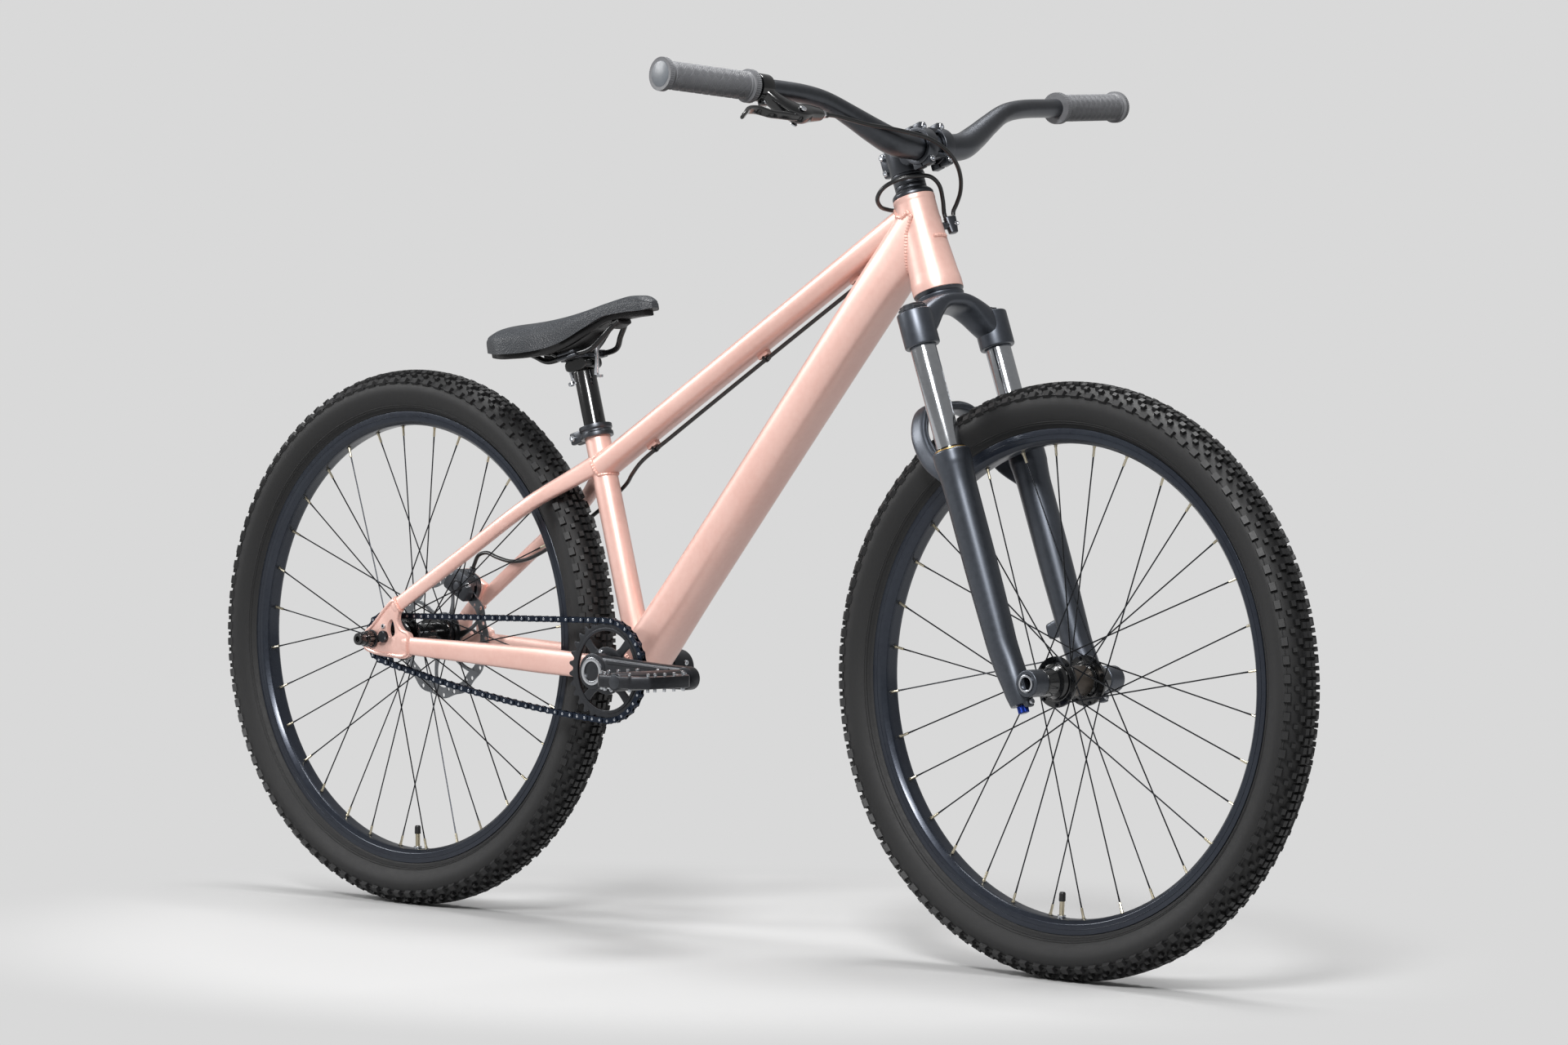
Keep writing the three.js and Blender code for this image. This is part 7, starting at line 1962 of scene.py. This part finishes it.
@dataclass
class RearBrake:
    """The caliper, its pads and the hose that runs from the lever to it."""

    hose_radius: float = 2.5
    bend_point: int = 7
    front_route: tuple = (
        (48.5, -174.7, 204), (49.2, -160, 203.2), (51, -138, 199), (54, -112, 193), (60, -86, 187.5),
        (65.5, -58, 181), (69.5, -30, 173), (70, -8, 161), (65, 11, 147), (54, 26, 133), (40, 36, 121),
        (28, 39.5, 112), (21, 39, 105.5), (19.5, 38.5, 101))
    head_route: tuple = (
        (12.8, 31.6, 100.3), (13.3, 31, 106), (18, 29, 120), (27, 18, 135), (30, 2, 143.5), (24, -18, 145.5),
        (9, -33, 145.5), (-9, -39, 142), (-23, -36, 135), (-31, -24, 128.5), (-34, -8, 126.5), (-36.5, 8, 126),
        (-40, 19.5, 121.5), (-45, 23.5, 112), (-52, 22.5, 99.5))
    frame_route: tuple = (
        (228, 18, 813), (219, 10.5, 800.5), (207, 6.3, 788.6), (190, 6, 778.2), (100, 6, 723.2), (0, 6, 661.7),
        (-100, 6, 599.7), (-150, 8, 569.5), (-172, 14, 553), (-187, 21.5, 542.5), (-206, 26, 530),
        (-232, 32, 515.5), (-262, 38, 499.5), (-300, 41.5, 480), (-345, 44, 456), (-385, 47.5, 441),
        (-418, 51, 437), (-446, 54, 441), (-466, 55, 446), (-480.5, 55, 442), (-487.5, 55, 431), (-489.5, 55, 426.4))

    def build(self) -> None:
        """Builds the brake's pieces."""
        self._hoses()
        self._caliper()
        self._pads()

    def _hoses(self) -> None:
        """Both strands of the hose; the front one runs between the bar and the frame and is left unattached, with its
        place baked into its mesh.
        """
        front = [LAYOUT.head @ Vector(p) for p in self.front_route]
        rear = [LAYOUT.head @ Vector(p) for p in self.head_route] + [Vector(p) for p in self.frame_route]
        across = ("frame", front[self.bend_point] * MM, front[-1] * MM)
        for name, route, steps, body, bend in (("front", front, 90, "steering", across),
                                               ("rear", rear, 320, "frame", None)):
            line = [curve_point(route, i / steps) for i in range(steps + 1)]
            piece = Piece(f"hose_{name}_strand", BIKE)
            piece.take(swept(line, self.hose_radius, 16), HOSE_BLACK)
            piece.done(body, [f"brake_hose_{name}"], bend=bend)

    def _caliper(self) -> None:
        """The two-halved caliper with its bolts, fins and banjo."""
        at = LAYOUT.rear @ about("Y", LAYOUT.caliper_lean)
        piece = Piece("caliper_body", at)
        outline = softened([(-22, 61), (22, 61), (22, 80), (13, 92), (-13, 92), (-22, 80)], 5.0, steps=4)
        piece.take(plate(outline, 52.2, 60.0, soft=1.6), SATIN_BLACK)
        piece.take(plate(outline, 37.5, 47.8, soft=1.6), SATIN_BLACK)
        bridge = softened([(-20, 82.5), (20, 82.5), (12, 91.4), (-12, 91.4)], 3.0)
        piece.take(plate(bridge, 45.0, 55.0, soft=0.6), SATIN_BLACK)
        piece.take(ring_of(6.5, 9.5, 36.2, 38.2, 0.5, 40, True), FORGED_BLACK, move(0, 0, 72))
        piece.take(disc_of(6.0, 36.8, 38.0, 0.4, 40, True), SATIN_BLACK, move(0, 0, 72))
        for x in (-16.5, 16.5):
            piece.take(bolt(3.6, 3.2), BOLT_SILVER, towards((x, 40.5, 83.5), (0, -1, 0)) @ move(0, 0, 0.5))
            piece.take(disc_of(3.4, 57, 60.2, 0.4, 24, True), BOLT_SILVER, move(x, 0, 68))
        piece.take(ring_of(2.7, 4.4, 86, 99, 0.6, 32), SATIN_BLACK, move(0, 55))
        piece.take(hex_bar(4.8, 92.0, 95.5, 0.4), BOLT_SILVER, move(0, 55))
        piece.done("frame", ["brake_caliper"])

    def _pads(self) -> None:
        """Both pads, each a lining on its steel plate."""
        at = LAYOUT.rear @ about("Y", LAYOUT.caliper_lean)
        for name, near, far in (("outer", 51.5, 54.4), ("inner", 48.5, 45.6)):
            piece = Piece(f"brake_pad_{name}_lining", at)
            middle = lerp(near, far, 0.55)
            for ends, x, foot, top in (((near, middle), 12.0, 64.4, 79.0), ((middle, far), 12.4, 64.1, 79.4)):
                piece.take(block((-x, min(ends), foot), (x, max(ends), top), 0.3), PAD_LINING)
            piece.done(f"pad_{name}", [f"brake_pad_{name}"])


# Studio


@dataclass
class Studio:
    """The floor, the backdrop, the lights and the camera."""

    focal_pixels: float = 6395.442
    camera_at: tuple = (4.262656, -4.556053, 0.694)
    azimuth: float = 42.465
    elevation: float = 1.772
    roll: float = 0.875
    image_width: int = 1920
    sensor: float = 36.0
    tone: int = 0xD9D9D9
    paper: int = 0xB8B8B8
    paper_below: int = 0x7C7C7C
    paper_rough: float = 0.9
    floor_half: float = 14.0
    clip_end: float = 60.0
    aim: tuple = (0.0, 0.0, 0.5)
    melt: tuple = (0.62, 1.0)
    air_strength: float = 0.3
    lamps: tuple = (("key_light", (2.4, -3.4, 3.4), 1.1, 235.0), ("fill_light", (-3.2, -2.4, 2.2), 1.2, 80.0),
                    ("top_light", (0.0, 0.4, 3.6), 1.4, 105.0))

    def build(self) -> None:
        """Sets up the whole studio."""
        self._camera()
        self._floor()
        self._air()
        self._lights()
        bpy.context.scene.view_settings.view_transform = "Standard"

    def _camera(self) -> None:
        """The camera at the photograph's viewing angle."""
        az, el, roll = (math.radians(v) for v in (self.azimuth, self.elevation, self.roll))
        right = Vector((math.cos(az), math.sin(az), 0))
        back = Vector((math.sin(az) * math.cos(el), -math.cos(az) * math.cos(el), math.sin(el)))
        up = back.cross(right)
        turned_right = right * math.cos(roll) + up * math.sin(roll)
        turned_up = up * math.cos(roll) - right * math.sin(roll)
        data = bpy.data.cameras.new("camera")
        data.sensor_width = self.sensor
        data.lens = self.focal_pixels * self.sensor / self.image_width
        data.clip_end = self.clip_end
        camera = bpy.data.objects.new("camera", data)
        matrix = Matrix((turned_right, turned_up, back)).transposed().to_4x4()
        matrix.translation = self.camera_at
        camera.matrix_world = matrix
        bpy.context.scene.collection.objects.link(camera)
        bpy.context.scene.camera = camera

    def _floor(self) -> None:
        """A pale floor that melts into the backdrop's tone away from the bicycle."""
        shader = Shader("studio_paper")
        shader.surface.inputs["Roughness"].default_value = self.paper_rough
        ray = lambda kind: shader.node("ShaderNodeLightPath", {}, {}, f"Is {kind} Ray")
        paper = shader.mix(shader.noise(0.7, 1.0), linear(self.paper), linear(self.paper - 0x030303))
        shader.feed(shader.surface.inputs["Base Color"], shader.mix(ray("Diffuse"), paper, linear(self.paper_below)))
        reach = shader.node("ShaderNodeVectorMath", {"operation": "LENGTH"}, {0: shader.place()}, "Value")
        seen = ray("Camera").larger(ray("Glossy")).larger(ray("Transmission"))
        glow = shader.node("ShaderNodeEmission", {}, {"Color": linear(self.tone), "Strength": 1.0})
        mixed = shader.node("ShaderNodeMixShader", {}, {0: reach.above(*self.melt) * seen, 2: glow})
        shader.tree.links.new(shader.surface.outputs[0], mixed.socket.node.inputs[1])
        shader.tree.links.new(mixed.socket, shader.output.inputs["Surface"])
        bm = bmesh.new()
        bmesh.ops.create_grid(bm, x_segments=2, y_segments=2, size=self.floor_half)
        mesh = bpy.data.meshes.new("studio_floor")
        bm.to_mesh(mesh)
        bm.free()
        mesh.materials.append(shader.material)
        floor = bpy.data.objects.new("studio_floor", mesh)
        bpy.context.scene.collection.objects.link(floor)

    def _air(self) -> None:
        """A world that lights softly and is seen in the backdrop's tone."""
        world = bpy.data.worlds.new("studio_air")
        world.use_nodes = True
        tree = world.node_tree
        tree.nodes.clear()
        kinds = ("OutputWorld", "Background", "Background", "MixShader", "LightPath", "Math")
        output, lit, seen, mixer, path, either = (tree.nodes.new(f"ShaderNode{kind}") for kind in kinds)
        either.operation = "MAXIMUM"
        for sky, colour, strength in ((lit, (1, 1, 1, 1), self.air_strength), (seen, linear(self.tone), 1.0)):
            sky.inputs["Color"].default_value = colour
            sky.inputs["Strength"].default_value = strength
        for start, end in ((path.outputs["Is Camera Ray"], either.inputs[0]),
                           (path.outputs["Is Transmission Ray"], either.inputs[1]),
                           (either.outputs[0], mixer.inputs[0]), (lit.outputs[0], mixer.inputs[1]),
                           (seen.outputs[0], mixer.inputs[2]), (mixer.outputs[0], output.inputs["Surface"])):
            tree.links.new(start, end)
        bpy.context.scene.world = world

    def _lights(self) -> None:
        """Soft boxes on both sides of the bicycle and over it."""
        for name, place, size, power in self.lamps:
            data = bpy.data.lights.new(name, "AREA")
            data.size = size
            data.energy = power
            lamp = bpy.data.objects.new(name, data)
            turn = (Vector(self.aim) - Vector(place)).to_track_quat("-Z", "Y")
            lamp.matrix_world = Matrix.Translation(place) @ turn.to_matrix().to_4x4()
            bpy.context.scene.collection.objects.link(lamp)


def main() -> None:
    """Builds the bicycle's looks."""
    logging.basicConfig(level=logging.INFO, format="%(message)s")
    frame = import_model()
    Studio().build()
    front = Wheel("front", LAYOUT.front, -26.0, 26.0, 1.7, 19.3)
    rear = Wheel("rear", LAYOUT.rear, -21.0, 33.0, -1.8, 17.3)
    for part in (front, rear, FrontHub(), RearHub(), Frameset(), Fork(), Cockpit(), Saddle(), Drivetrain(),
                 RearBrake()):
        part.build()
    for name, node in frame["nodes"].items():
        if not node.hide_render:
            node.data.materials.clear()
            node.data.materials.append(SATIN_BLACK.make())
            LOG.info("%s keeps its own shape", name)


if __name__ == "__main__":
    main()
